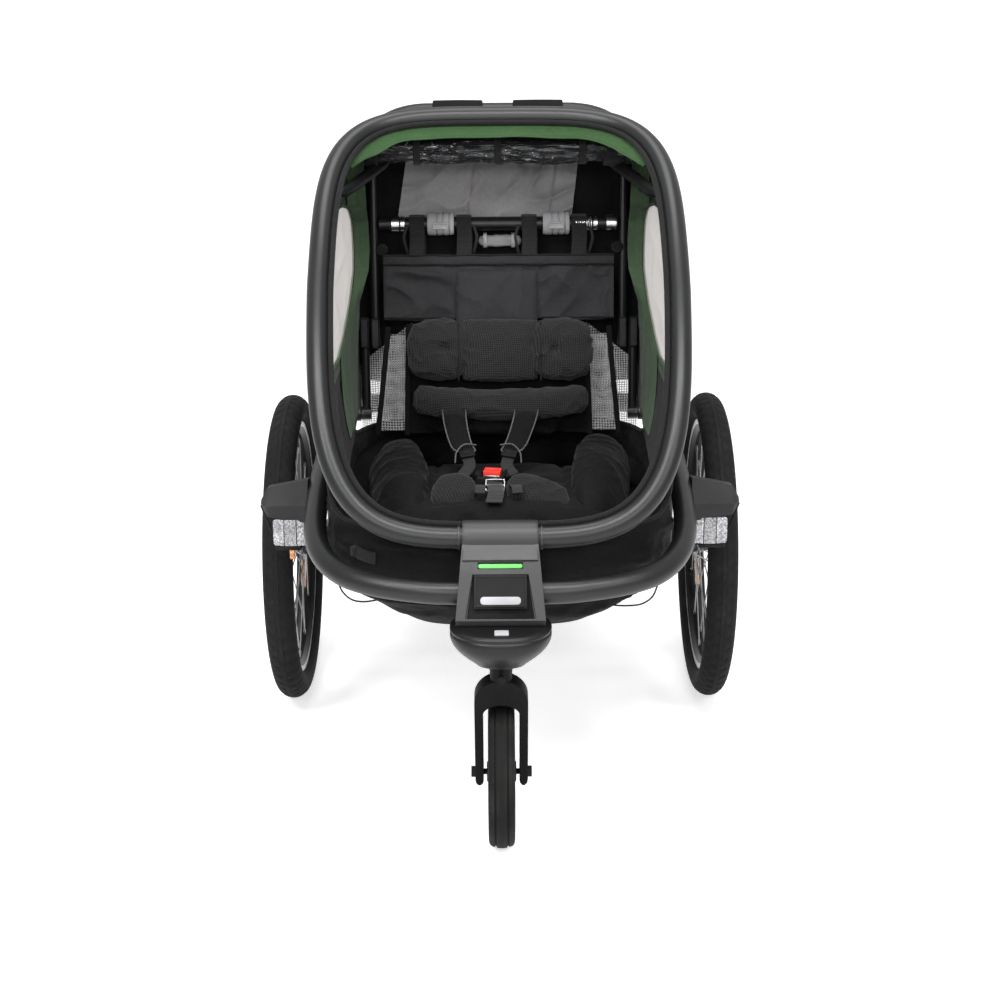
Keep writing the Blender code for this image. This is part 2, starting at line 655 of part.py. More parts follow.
def build_hub(side, centre, rim_inner):
    half = HUB_LENGTH / 2
    bore = STUB_AXLE_RADIUS + RUNNING_GAP
    flange = half - 0.012
    barrel = HUB_RADIUS - 0.002
    profile = [(bore, -half), (HUB_RADIUS, -half), (FLANGE_RADIUS, -flange - 0.002),
               (FLANGE_RADIUS, -flange + 0.002), (barrel, -flange + 0.004),
               (barrel, flange - 0.004), (FLANGE_RADIUS, flange - 0.002),
               (FLANGE_RADIUS, flange + 0.002), (HUB_RADIUS, half), (bore, half)]
    hub = lathe(side_name("hub_and_spokes", side), profile, BLACK_PLASTIC, HUB_STEPS, centre)
    spokes = bmesh.new()
    reach = rim_inner * math.cos(math.pi / WHEEL_STEPS) - GAP
    for k in range(SPOKE_COUNT):
        add_spoke(spokes, k, flange, reach)
    wires = finish("guide_spokes", spokes, STEEL)
    wires.parent = hub
    boolean(hub, wires, "UNION")


def add_spoke(spokes, k, flange, reach):
    """One spoke from a flange to the rim, leaning one way or the other."""
    cheek = 1 if k % 2 == 0 else -1
    lean = 1 if (k // 2) % 2 == 0 else -1
    rim_angle = 2 * math.pi * (k + 0.5) / SPOKE_COUNT + math.radians(SPOKE_TURN_DEG)
    hub_angle = rim_angle + lean * math.radians(52)
    hub_x = cheek * (flange + lean * 0.0015)
    start_radius = FLANGE_RADIUS - 0.003
    a = Vector((hub_x, start_radius * math.cos(hub_angle), start_radius * math.sin(hub_angle)))
    b = Vector((cheek * 0.003, reach * math.cos(rim_angle), reach * math.sin(rim_angle)))
    length = (b - a).length
    made = bmesh.ops.create_cone(spokes, cap_ends=True, segments=SPOKE_SIDES, radius1=SPOKE_RADIUS,
                                 radius2=SPOKE_RADIUS, depth=length)
    turn = (b - a).to_track_quat("Z", "Y").to_matrix().to_4x4()
    bmesh.ops.transform(spokes, matrix=Matrix.Translation((a + b) / 2) @ turn,
                        verts=made["verts"])


def build_axle_button(side):
    """The quick release button in the middle of the hub's outer face."""
    start = WHEEL_X + HUB_LENGTH / 2 + AXLE_BUTTON_TRAVEL + 0.0005
    button = cylinder(side_name("axle_button", side), AXLE_BUTTON_RADIUS, 0.008,
                      BLACK_PLASTIC, (side * (start + 0.004), 0, WHEEL_RADIUS), sides=18)
    stem_start = WHEEL_X + HUB_LENGTH / 2 - 0.006 + AXLE_BUTTON_TRAVEL + RUNNING_GAP
    stem = cylinder("guide_stem", STUB_AXLE_RADIUS, start + 0.002 - stem_start, BLACK_PLASTIC,
                    (side * ((stem_start + start + 0.002) / 2 - start - 0.004), 0, 0), sides=12)
    stem.parent = button
    boolean(button, stem, "UNION")


FACE_TOP = (HOOP_BOTTOM_Y + SLEEVE_RADIUS * math.cos(math.radians(190)),
            HOOP_BOTTOM_Z + SLEEVE_RADIUS * math.sin(math.radians(190)))
FACE_LEAN = math.atan2(FACE_TOP[0] - BRACKET_TOE_Y, FACE_TOP[1] - BRACKET_FOOT_Z - 0.006)


def face_place(z, outward):
    """A place on the bracket's sloping face, or a little in front of it."""
    y = FACE_TOP[0] - (FACE_TOP[1] - z) * math.tan(FACE_LEAN)
    return (0, y - outward * math.cos(FACE_LEAN), z + outward * math.sin(FACE_LEAN))


def build_bracket():
    """The front bracket: an open sleeve on the hoop, a clamp on the lower tube."""
    sleeve = [(HOOP_BOTTOM_Y + SLEEVE_RADIUS * math.cos(math.radians(angle)),
               HOOP_BOTTOM_Z + SLEEVE_RADIUS * math.sin(math.radians(angle)))
              for angle in (90, 115, 140, 165, 190)]
    face = [(BRACKET_TOE_Y, BRACKET_FOOT_Z + 0.006), (BRACKET_TOE_Y, BRACKET_FOOT_Z)]
    back = [(-0.545, BRACKET_FOOT_Z), (-0.5405, 0.345), (-0.5385, 0.400)]
    lobe = [(HOOP_BOTTOM_Y + SLEEVE_RADIUS * math.cos(math.radians(angle)),
             HOOP_BOTTOM_Z + SLEEVE_RADIUS * math.sin(math.radians(angle)))
            for angle in (-45, -15, 12)]
    outline = sleeve + face + back + lobe + [(HOOP_BOTTOM_Y, HOOP_BOTTOM_Z)]
    rings = []
    for share in (-1, 1):
        ring = []
        for y, z in outline:
            fall = min(max((0.433 - z) / (0.433 - BRACKET_FOOT_Z), 0.0), 1.0)
            half = (BRACKET_TOP_WIDTH + (BRACKET_FOOT_WIDTH - BRACKET_TOP_WIDTH) * fall) / 2
            ring.append((share * half, y, z))
        rings.append(ring)
    bracket = loft("front_bracket", rings, SATIN_GREY, crease_deg=30)
    bores = (
        (HOOP_BOTTOM_Y, HOOP_BOTTOM_Z, HOOP_TUBE_RADIUS + RUNNING_GAP),
        (FRAME_FRONT_Y, FRAME_FRONT_Z, FRAME_TUBE_RADIUS + RUNNING_GAP),
    )
    for y, z, radius in bores:
        bore = cylinder("guide_bore", radius, 0.2, SATIN_GREY, (0, y, z), sides=24)
        boolean(bracket, bore, "DIFFERENCE")
    slot = block("guide_slot", (0.062, 0.012, 0.010), SATIN_GREY, face_place(STRIP_Z, 0.0))
    slot.rotation_euler = (-FACE_LEAN, 0, 0)
    boolean(bracket, slot, "DIFFERENCE")


def build_green_strip():
    strip = block("green_strip", (0.0585, 0.006, 0.0066), GREEN_PLASTIC,
                  face_place(STRIP_Z, -0.006 + 0.003 + GAP), 0.0022)
    strip.rotation_euler = (-FACE_LEAN, 0, 0)


def build_lever():
    """The release lever on the bracket's face, hinged at its top edge."""
    lever = block("bracket_lever", (0.070, LEVER_THICKNESS, LEVER_LENGTH), GREY_PLASTIC,
                  (0, 0, 0), 0.003)
    lever.data.transform(Matrix.Translation((0, 0, -LEVER_LENGTH / 2)))
    lever.location = face_place(LEVER_TOP_Z, LEVER_THICKNESS / 2 + RUNNING_GAP)
    lever.rotation_euler = (-FACE_LEAN, 0, 0)


def build_dock():
    """The rounded housing that takes the front wheel's stem."""
    rings = []
    levels = ((0.000, 0.965), (0.10, 0.995), (0.25, 1.0), (0.45, 0.95), (0.63, 0.83),
              (0.78, 0.66), (0.90, 0.46), (1.0, 0.285))
    for fall, share in levels:
        z = DOCK_TOP_Z - DOCK_HEIGHT * fall
        ring = rounded_ring(DOCK_WIDTH / 2 * share, DOCK_DEPTH / 2 * share, 2.3, 22)
        shift = (SWIVEL_Y - DOCK_Y) * fall
        rings.append([(x, DOCK_Y + shift + y, z) for x, y in ring])
    dock = loft("wheel_dock", rings, SATIN_GREY)
    bore_length = 0.060
    bore = cylinder("guide_bore", STEM_RADIUS + RUNNING_GAP, bore_length, SATIN_GREY,
                    (0, SWIVEL_Y, STEM_TOP_Z + 0.001 - bore_length / 2), axis="Z")
    boolean(dock, bore, "DIFFERENCE")


def fork_station(angle_or_drop, side):
    """Centre of the fork's band: over the crown, or down one leg."""
    arch_z = FORK_CROWN_Z - FORK_HALF_WIDTH
    width = FORK_LEG_WIDTH
    if side == 0:
        width += FORK_CROWN_EXTRA * math.sin(angle_or_drop) ** 3
    radius = FORK_HALF_WIDTH - width / 2
    if side == 0:
        x = radius * math.cos(angle_or_drop)
        z = arch_z + radius * math.sin(angle_or_drop)
        across = (math.cos(angle_or_drop), math.sin(angle_or_drop))
    else:
        x, z, across = side * radius, arch_z - angle_or_drop, (side, 0.0)
    fall = min(max((FORK_CROWN_Z - z) / (FORK_CROWN_Z - FRONT_WHEEL_RADIUS), 0.0), 1.1)
    return x, CASTER_TRAIL * fall ** 1.2, z, across, width


def build_fork():
    """An arched fork that trails back from its swivel axis."""
    arch_z = FORK_CROWN_Z - FORK_HALF_WIDTH
    drop = arch_z - FRONT_WHEEL_RADIUS
    stations = [fork_station(drop * k / 4 + 0.012 * (k == 4), 1) for k in range(4, 0, -1)]
    stations += [fork_station(math.pi * k / 10, 0) for k in range(11)]
    stations += [fork_station(drop * k / 4 + 0.012 * (k == 4), -1) for k in range(1, 5)]
    rings = []
    for x, y, z, (ax, az), width in stations:
        ring = []
        for across, along in rounded_ring(width / 2, FORK_LEG_DEPTH / 2, 4.0, 8):
            ring.append((x + ax * across, y + along, z + az * across))
        rings.append(ring)
    fork = loft("caster_fork", rings, SATIN_GREY)
    fork.location = (0, SWIVEL_Y, 0)
    collar_top = DOCK_TOP_Z - DOCK_HEIGHT - 0.0015
    neck = [(COLLAR_RADIUS, FORK_CROWN_Z - 0.011), (COLLAR_RADIUS, collar_top),
            (STEM_RADIUS, collar_top), (STEM_RADIUS, STEM_TOP_Z)]
    stem = turned_bar("guide_stem", neck, SATIN_GREY, (0, 0, 0))
    stem.parent = fork
    boolean(fork, stem, "UNION")
    pocket = cylinder("guide_pocket", 0.0035 + RUNNING_GAP, 0.012, SATIN_GREY,
                      (0, -0.0145, FORK_CROWN_Z + 0.0095), axis="Y", sides=14)
    bore = cylinder("guide_bore", FRONT_AXLE_RADIUS + GAP, 0.12, SATIN_GREY,
                    (0, CASTER_TRAIL, FRONT_WHEEL_RADIUS), sides=16)
    for cut in (pocket, bore):
        cut.parent = fork
        boolean(fork, cut, "DIFFERENCE")
    knob = cylinder("swivel_knob", 0.0055, 0.004, BLACK_PLASTIC,
                    (0, SWIVEL_Y - 0.0245, FORK_CROWN_Z + 0.0095), axis="Y", sides=16)
    stub = cylinder("guide_stub", 0.0035, 0.009, BLACK_PLASTIC, (0, 0.0055, 0), axis="Y", sides=14)
    stub.parent = knob
    boolean(knob, stub, "UNION")


def build_front_wheel():
    centre = (0, SWIVEL_Y + CASTER_TRAIL, FRONT_WHEEL_RADIUS)
    half = FRONT_WHEEL_WIDTH / 2
    seat = FRONT_RIM_RADIUS + GAP
    tyre = [(seat, -0.013), (0.090, -half), (0.0985, -half + 0.002), (0.1025, -0.008),
            (FRONT_WHEEL_RADIUS, 0.0), (0.1025, 0.008), (0.0985, half - 0.002), (0.090, half),
            (seat, 0.013)]
    lathe("front_tyre", tyre, TYRE_RUBBER, FRONT_WHEEL_STEPS, centre)
    bore = FRONT_AXLE_RADIUS + RUNNING_GAP
    rim = [(bore, -half - 0.002), (0.014, -half - 0.002), (0.016, -0.012), (0.060, -0.005),
           (FRONT_RIM_RADIUS, -0.0125), (FRONT_RIM_RADIUS, 0.0125),
           (0.060, 0.005), (0.016, 0.012), (0.014, half + 0.002),
           (bore, half + 0.002)]
    lathe("front_rim", rim, BLACK_PLASTIC, FRONT_WHEEL_STEPS, centre)
    axle = cylinder("front_axle", FRONT_AXLE_RADIUS, 0.082, STEEL, centre, sides=16)
    for side in (-1, 1):
        nut = cylinder("guide_nut", 0.0075, 0.0065, STEEL,
                       (side * (FORK_HALF_WIDTH + GAP + 0.00325), 0, 0), sides=6)
        nut.parent = axle
        boolean(axle, nut, "UNION")


def build_guard(side):
    """The plastic guard ahead of a rear wheel, and the reflector below it."""
    rings = []
    for share in (0.0, 0.30, 0.62, 0.88, 1.0):
        x = GUARD_ROOT_X + (GUARD_TIP_X - GUARD_ROOT_X) * share
        height = GUARD_ROOT_HEIGHT + (GUARD_TIP_HEIGHT - GUARD_ROOT_HEIGHT) * share
        depth = GUARD_DEPTH * (1 - 0.15 * share)
        if share == 1.0:
            height *= 0.55
            depth *= 0.7
        ring = rounded_ring(depth / 2, height / 2, 3.0, 16)
        rings.append([(side * x, GUARD_Y + y, GUARD_Z + z) for y, z in ring])
    guard = loft(side_name("wheel_guard", side), rings, SATIN_GREY)
    clip = block("guide_clip", (0.052, 0.006, 0.070), SATIN_GREY,
                 (side * 0.307, GUARD_Y - 0.004, GUARD_Z - 0.038))
    boolean(guard, clip, "UNION")
    width = REFLECTOR_WIDTH
    back_y = GUARD_Y - 0.007 - GAP
    plan = [(-0.5, 0.0), (0.5, 0.0), (0.5, 0.5), (0.16, 1.0), (-0.16, 1.0), (-0.5, 0.5)]
    top = GUARD_Z - GUARD_ROOT_HEIGHT / 2 - 0.002
    rings = [[(side * 0.307 + a * width, back_y - b * REFLECTOR_DEPTH, z) for a, b in plan]
             for z in (top - REFLECTOR_HEIGHT, top)]
    loft(side_name("front_reflector", side), rings, WHITE_REFLECTOR, crease_deg=10)


def tub_ring(z, half_width, front_y, rear_y, inset, count=28):
    centre = (front_y + rear_y) / 2
    reach = (rear_y - front_y) / 2
    ring = rounded_ring(half_width - inset, reach - inset, 4.2, count)
    return [(x, centre + y, z) for x, y in ring]


def tub_rim_lift(y):
    """The rim climbs behind the hoop's foot, to meet the canopy."""
    rise = min(max((y + 0.48) / 0.12, 0.0), 1.0)
    fall = min(max((0.030 - y) / 0.080, 0.0), 1.0)
    return 0.029 * rise * rise * (3 - 2 * rise) * fall


def build_tub():
    """The sewn lower body: one skin with a floor and a seat pan on four legs, open on top."""
    rim_half = FRAME_HALF_WIDTH - FRAME_TUBE_RADIUS + 0.0003
    shape = [(TUB_RIM_Z, rim_half, -0.524), (0.385, rim_half - 0.0015, -0.536),
             (0.335, rim_half - 0.0253, -0.530),
             (0.307, rim_half - 0.057, -0.510), (TUB_FLOOR_Z, rim_half - 0.097, -0.470)]
    outer, inner = [], []
    for z, half_width, front in shape:
        rear = TUB_REAR_Y - (rim_half - half_width) * 0.6
        outer.append(tub_ring(z, half_width, front, rear, 0.0))
        floor = max(z, TUB_FLOOR_Z + TUB_WALL)
        inner.append(tub_ring(floor, half_width, front, rear, TUB_WALL))
    for ring in (outer[0], inner[0]):
        ring[:] = [(x, y, z + tub_rim_lift(y)) for x, y, z in ring]
    tub = loft("underbody_tub", outer[::-1] + inner, BLACK_FABRIC)
    pan_top = CUSHION_FLOOR_Z - SEAT_GAP
    middle = (CUSHION_FRONT_Y + CUSHION_REAR_Y) / 2
    reach = (CUSHION_REAR_Y - CUSHION_FRONT_Y) / 2 - 0.010
    pan = block("guide_pan", (2 * PAN_HALF_WIDTH, 2 * reach, TUB_WALL), BLACK_FABRIC,
                (0, middle, pan_top - TUB_WALL / 2))
    boolean(tub, pan, "UNION")
    leg_foot = TUB_FLOOR_Z + TUB_WALL / 2
    leg_top = pan_top - TUB_WALL / 2
    for end in (-1, 1):
        for side in (-1, 1):
            leg = block("guide_leg", (PAN_LEG_WIDTH, TUB_WALL, leg_top - leg_foot), BLACK_FABRIC,
                        (side * PAN_LEG_X, middle + end * (reach - 0.012), (leg_top + leg_foot) / 2))
            boolean(tub, leg, "UNION")


def canopy_front(angle, depth=0.0):
    """The canopy's front edge, just behind the hoop's tube."""
    return Vector(hoop_point(angle, inset=depth - 0.007, behind=HOOP_TUBE_RADIUS + 0.0005))


def canopy_rear(angle, depth=0.0):
    """The canopy's rear edge: a tall arch, straight down at its feet."""
    c, s = math.sin(angle), -math.cos(angle)
    foot = FRAME_REAR_Z + FRAME_TUBE_RADIUS + 0.001
    middle = (foot + CANOPY_REAR_TOP_Z) / 2
    x = CANOPY_REAR_HALF_WIDTH - depth
    height = CANOPY_REAR_TOP_Z - depth - middle
    if s < 0:
        return Vector((math.copysign(x, c), CANOPY_REAR_Y, middle + (middle - foot) * s
                       / math.cos(math.radians(CANOPY_START_DEG))))
    power = 2 / CANOPY_REAR_POWER
    return Vector((x * math.copysign(abs(c) ** power, c), CANOPY_REAR_Y,
                   middle + height * abs(s) ** power))


def even_angles(edge):
    """Angles that lie at even lengths along one of the canopy's edges."""
    start = math.radians(CANOPY_START_DEG)
    fine = np.linspace(start, 2 * math.pi - start, 600)
    places = [edge(a) for a in fine]
    lengths = np.cumsum([0.0] + [(q - p).length for p, q in zip(places, places[1:])])
    return np.interp(np.linspace(0, lengths[-1], CANOPY_ROWS), lengths, fine)


FRONT_ANGLES = even_angles(canopy_front)
REAR_ANGLES = even_angles(canopy_rear)


def canopy_point(row, station, depth):
    """A point of the canopy's skin; depth goes inwards through its wall."""
    front = canopy_front(FRONT_ANGLES[row], depth)
    return front.lerp(canopy_rear(REAR_ANGLES[row], depth), station)


def window_cell(row, column):
    """Whether a cell of the canopy's grid lies in a side window."""
    last = CANOPY_ROWS - 2
    mirrored = min(row, last - row)
    return 2 <= mirrored <= 5 and 1 <= column <= 5


def skin(name, surface, chosen, wall_start, wall_end):
    """A closed skin over the chosen cells of the canopy's grid."""
    work = bmesh.new()
    columns = len(CANOPY_STATIONS) - 1
    sheets = []
    for depth in (wall_start, wall_end):
        sheets.append({(r, c): work.verts.new(canopy_point(r, CANOPY_STATIONS[c], depth))
                       for r in range(CANOPY_ROWS) for c in range(columns + 1)})
    outer, inner = sheets
    for r in range(CANOPY_ROWS - 1):
        for c in range(columns):
            if not chosen(r, c):
                continue
            corners = ((r, c), (r + 1, c), (r + 1, c + 1), (r, c + 1))
            beside = ((r, c - 1), (r + 1, c), (r, c + 1), (r - 1, c))
            work.faces.new([outer[k] for k in corners])
            work.faces.new([inner[k] for k in reversed(corners)])
            for first, second, neighbour in zip(corners, corners[1:] + corners[:1], beside):
                inside = (0 <= neighbour[0] < CANOPY_ROWS - 1 and 0 <= neighbour[1] < columns)
                if not inside or not chosen(*neighbour):
                    work.faces.new((outer[second], outer[first], inner[first], inner[second]))
    loose = [v for v in work.verts if not v.link_faces]
    bmesh.ops.delete(work, geom=loose, context="VERTS")
    return finish(name, work, surface, 60)


def build_canopy():
    skin("canopy", GREEN_FABRIC, lambda r, c: not window_cell(r, c), 0.0, CANOPY_WALL)
    middle = (CANOPY_ROWS - 1) // 2
    for side in (-1, 1):
        pane = skin(side_name("side_window", side), CLEAR_FILM,
                    lambda r, c: window_cell(r, c) and ((r < middle) == (side > 0)), 0.001, 0.002)
        centre = sum((v.co for v in pane.data.vertices), Vector()) / len(pane.data.vertices)
        pane.data.transform(Matrix.Translation(-centre))
        pane.location = centre
        pane.data.transform(Matrix.Diagonal((1.0, 0.996, 0.996, 1.0)))


def build_rear_cover():
    """The back wall, with a hole for each of the hoop's rails."""
    outline = [canopy_rear(a, CANOPY_WALL + 0.0008) for a in REAR_ANGLES]
    rings = [[(p.x, CANOPY_REAR_Y + shift, p.z) for p in outline] for shift in (-0.003, 0.0)]
    cover = loft("rear_cover", rings, BLACK_FABRIC)
    for side in (-1, 1):
        hole = cylinder("guide_hole", RAIL_RADIUS + 0.002, 0.02, BLACK_FABRIC,
                        (side * RAIL_X, CANOPY_REAR_Y, RAIL_Z), axis="Y", sides=16)
        boolean(cover, hole, "DIFFERENCE")


def build_rear_bag():
    """The luggage bag hung behind the cabin."""
    start = FRAME_REAR_Y + FRAME_TUBE_RADIUS + 0.0008
    depth = REAR_BAG_REAR_Y - start
    rings = []
    for z, share in ((REAR_BAG_FLOOR_Z, 0.90), (0.325, 0.98), (0.400, 1.0), (0.500, 0.95),
                     (REAR_BAG_TOP_Z - 0.012, 0.80), (REAR_BAG_TOP_Z, 0.70)):
        ring = rounded_ring(REAR_BAG_HALF_WIDTH * (0.9 + 0.1 * share), depth / 2 * share, 5.0, 28)
        rings.append([(x, start + depth / 2 * share + y, z) for x, y in ring])
    loft("rear_bag", rings, BLACK_FABRIC)


def build_rain_roll():
    """The clear cover, rolled up under the hoop's top."""
    rings = []
    for k in range(13):
        share = k / 12 * 2 - 1
        radius = 0.019 * (1 - 0.30 * abs(share) ** 3)
        y = -0.022 + 0.010 * share * share
        z = 0.8925
        rings.append([(0.203 * share, y + radius * math.cos(math.radians(30 * j)),
                       z + radius * math.sin(math.radians(30 * j))) for j in range(12)])
    loft("rain_cover_roll", rings, CLEAR_FILM)


def link_point(distance):
    """A place on the straight line of a rear post, from its lower pivot."""
    rise = RAIL_Z - POST_LOW_Z
    run = LINK_TOP_Y - POST_LOW_Y
    length = math.hypot(rise, run)
    return POST_LOW_Y + run * distance / length, POST_LOW_Z + rise * distance / length


def build_rear_post(side):
    """The short lower post and the long upper link, side by side at the knee."""
    lean = math.atan2(LINK_TOP_Y - POST_LOW_Y, RAIL_Z - POST_LOW_Z)
    full = math.hypot(LINK_TOP_Y - POST_LOW_Y, RAIL_Z - POST_LOW_Z)
    post_x, link_x = side * POST_X, side * LINK_X
    make_strut(side_name("rear_post", side), post_x, POST_LOW_Y, POST_LOW_Z, lean,
               0.0, POST_LENGTH - 0.010, POST_LENGTH, 0.0045 + RUNNING_GAP)
    make_strut(side_name("fold_link", side), link_x, LINK_TOP_Y, RAIL_Z, lean,
               0.0, -(full - POST_LENGTH) + 0.010, -(full - POST_LENGTH),
               0.0045 + RUNNING_GAP)


def make_strut(name, x, y, z, lean, start, end, knee, bore_radius):
    """A round strut with an eye at its pivot and a flat block at the knee."""
    length = abs(end - start)
    middle = (start + end) / 2
    strut = cylinder(name, POST_RADIUS - 0.0005, length, SATIN_GREY, (0, 0, 0), axis="Z", sides=14)
    strut.data.transform(Matrix.Translation((0, 0, middle)))
    strut.location = (x, y, z)
    strut.rotation_euler = (-lean, 0, 0)
    eye = cylinder("guide_eye", 0.011, 2 * POST_RADIUS - 0.0006, SATIN_GREY, (0, 0, 0), sides=18)
    knee_block = block("guide_knee", (2 * POST_RADIUS - 0.0006, BLOCK_DEPTH, BLOCK_HEIGHT),
                       SATIN_GREY, (0, 0, knee), 0.003)
    for extra in (eye, knee_block):
        extra.parent = strut
        boolean(strut, extra, "UNION")
    bore = cylinder("guide_bore", bore_radius, 0.05, SATIN_GREY, (0, 0, 0), sides=14)
    bore.parent = strut
    boolean(strut, bore, "DIFFERENCE")


def seat_bar_place():
    return link_point((SEAT_BAR_Z - POST_LOW_Z) / math.cos(
        math.atan2(LINK_TOP_Y - POST_LOW_Y, RAIL_Z - POST_LOW_Z)))


def build_seat_bar():
    y, z = seat_bar_place()
    half = LINK_X - POST_RADIUS - GAP
    cylinder("seat_bar", SEAT_BAR_RADIUS, 2 * half, BLACK_PLASTIC, (0, y, z), sides=18)


def build_bar_clamp(side):
    """A grey clamp that slides along the seat bar."""
    y, z = seat_bar_place()
    profile = [(SEAT_BAR_RADIUS + RUNNING_GAP, -0.0215), (0.0175, -0.0215), (0.0185, -0.019),
               (0.0185, 0.019), (0.0175, 0.0215), (SEAT_BAR_RADIUS + RUNNING_GAP, 0.0215)]
    lathe(side_name("bar_clamp", side), profile, GREY_PLASTIC, 18, (side * 0.094, y, z))


def build_straps():
    """Four flat straps from the seat bar down to a wide hung panel."""
    y, z = seat_bar_place()
    front_y = y - SEAT_BAR_RADIUS - SEAT_GAP
    panel_foot = BACK_TOP_Z + SEAT_GAP + PANEL_DEPTH * 0.08
    height = PANEL_TOP_Z - panel_foot
    lean = math.atan2(front_y - PANEL_DEPTH / 2 - BACK_TOP_Y, height)
    panel = block("back_straps", (2 * PANEL_HALF_WIDTH, PANEL_DEPTH, height / math.cos(lean)),
                  BLACK_FABRIC, (0, (front_y - PANEL_DEPTH / 2 + BACK_TOP_Y) / 2,
                                 (PANEL_TOP_Z + panel_foot) / 2), 0.0015, 1)
    panel.rotation_euler = (-lean, 0, 0)
    strap_foot = PANEL_TOP_Z - 0.010
    strap_top = z + 0.020
    for x in STRAP_XS:
        strap = block("guide_strap", (STRAP_WIDTH, 0.002, strap_top - strap_foot), BLACK_FABRIC,
                      (x, front_y - 0.001, (strap_top + strap_foot) / 2))
        boolean(panel, strap, "UNION")


def build_seat_back():
    """The padded back behind the child."""
    rings = []
    stations = ((0.0, 0.88, 0.5), (0.08, 1.0, 0.9), (0.35, 1.0, 1.15), (0.65, 1.0, 1.1),
                (0.92, 1.0, 0.9), (1.0, 0.97, 0.5))
    for share, wide, thick in stations:
        half = BACK_HALF_WIDTH * wide
        z = BACK_FOOT_Z + (BACK_TOP_Z - BACK_FOOT_Z) * share
        y = BACK_FOOT_Y + (BACK_TOP_Y - BACK_FOOT_Y) * share
        ring = rounded_ring(half, BACK_THICKNESS / 2 * thick, 5.0, 24)
        rings.append([(x, y + d, z) for x, d in ring])
    loft("seat_back", rings, BLACK_FABRIC)


def back_front_y(z):
    """The seat back's front face at a height."""
    share = (z - BACK_FOOT_Z) / (BACK_TOP_Z - BACK_FOOT_Z)
    return BACK_FOOT_Y + (BACK_TOP_Y - BACK_FOOT_Y) * share - BACK_THICKNESS / 2 * 1.15


def build_headrest():
    """A butterfly pillow: a flat middle and a stuffed wing each side."""
    low, high, half = 0.5195, 0.625, 0.136
    rings = []
    for k in range(19):
        share = k / 18 * 2 - 1
        wing = abs(share)
        if wing < 0.42:
            top, foot, thick = high, low, 0.040 + 0.006 * (wing / 0.42) ** 2
        else:
            t = (wing - 0.42) / 0.58
            round_end = math.sqrt(max(1 - t ** 2.6, 0.0))
            wing_middle = (low + high) / 2 + 0.010
            reach = 0.044 * (0.12 + 0.88 * round_end)
            top, foot = wing_middle + reach, wing_middle - reach
            thick = 0.012 + 0.044 * round_end
            if t < 0.12:
                thick = 0.034
        ring = rounded_ring(thick / 2, (top - foot) / 2, 2.6, 12)
        middle = (top + foot) / 2
        rings.append([(half * share, back_front_y(middle + h) - 0.0015 - thick / 2 + d,
                       middle + h) for d, h in ring])
    loft("headrest", rings, BLACK_FABRIC)


def build_lumbar_roll():
    """A long soft roll across the foot of the back."""
    rings = []
    for k in range(15):
        share = k / 14 * 2 - 1
        full = math.sqrt(max(1 - abs(share) ** 5, 0.0)) * 0.9 + 0.1
        z = 0.482 + 0.008 * share * share
        radius_y, radius_z = 0.022 * full, 0.030 * full
        y = back_front_y(z) - 0.0015 - radius_y
        rings.append([(0.132 * share, y + radius_y * math.cos(a), z + radius_z * math.sin(a))
                      for a in (2 * math.pi * j / 10 for j in range(10))])
    loft("lumbar_roll", rings, BLACK_FABRIC)


def cushion_height(across, along):
    """The seat's top: a crown, two side bolsters and one sewn channel."""
    edge = (1 - abs(across) ** 8) * (1 - abs(2 * along - 1) ** 8)
    crown = 0.010 * math.sin(math.pi * along) * math.cos(across * math.pi / 2)
    bolster = BOLSTER_RISE * math.exp(-((abs(across) - 0.74) / 0.20) ** 2)
    bolster *= 0.55 + 0.45 * math.sin(math.pi * min(along * 1.1, 1.0))
    channel = -0.006 * math.exp(-((along - 0.52) / 0.05) ** 2) * (abs(across) < 0.5)
    return CUSHION_TOP_Z - 0.016 + 0.016 * edge + (crown + bolster + channel) * edge ** 0.5


def build_cushion():
    columns, rows = 16, 12
    work = bmesh.new()
    top, foot = {}, {}
    for i in range(columns + 1):
        for j in range(rows + 1):
            across, along = 2 * i / columns - 1, j / rows
            corner = 1 - 0.05 * abs(2 * along - 1) ** 6
            x = CUSHION_HALF_WIDTH * across * corner
            y = CUSHION_FRONT_Y + (CUSHION_REAR_Y - CUSHION_FRONT_Y) * along
            top[i, j] = work.verts.new((x, y, cushion_height(across, along)))
            if i in (0, columns) or j in (0, rows):
                foot[i, j] = work.verts.new((x * 0.975, -0.173 + (y + 0.173) * 0.97, CUSHION_FLOOR_Z))
    for i in range(columns):
        for j in range(rows):
            work.faces.new((top[i, j], top[i + 1, j], top[i + 1, j + 1], top[i, j + 1]))
    border = [(i, 0) for i in range(columns)] + [(columns, j) for j in range(rows)]
    border += [(i, rows) for i in range(columns, 0, -1)] + [(0, j) for j in range(rows, 0, -1)]
    for a, b in zip(border, border[1:] + border[:1]):
        work.faces.new((top[b], top[a], foot[a], foot[b]))
    work.faces.new([foot[k] for k in border])
    finish("seat_cushion", work, BLACK_FABRIC)


def pad(name, points, half_width, half_thick, surface):
    """A flat padded strap along a few points, with rounded ends."""
    route = smooth_through(points, 7)
    rings = []
    for k, spot in enumerate(route):
        before, after = route[max(k - 1, 0)], route[min(k + 1, len(route) - 1)]
        heading = (Vector(after) - Vector(before)).normalized()
        across = heading.cross(Vector((0, 0, 1))).normalized()
        up = across.cross(heading).normalized()
        full = 0.55 if k in (0, len(route) - 1) else 1.0
        ring = rounded_ring(half_width * (0.8 + 0.2 * full), half_thick * full, 3.5, 12)
        rings.append([tuple(Vector(spot) + across * a + up * b) for a, b in ring])
    loft(name, rings, surface)


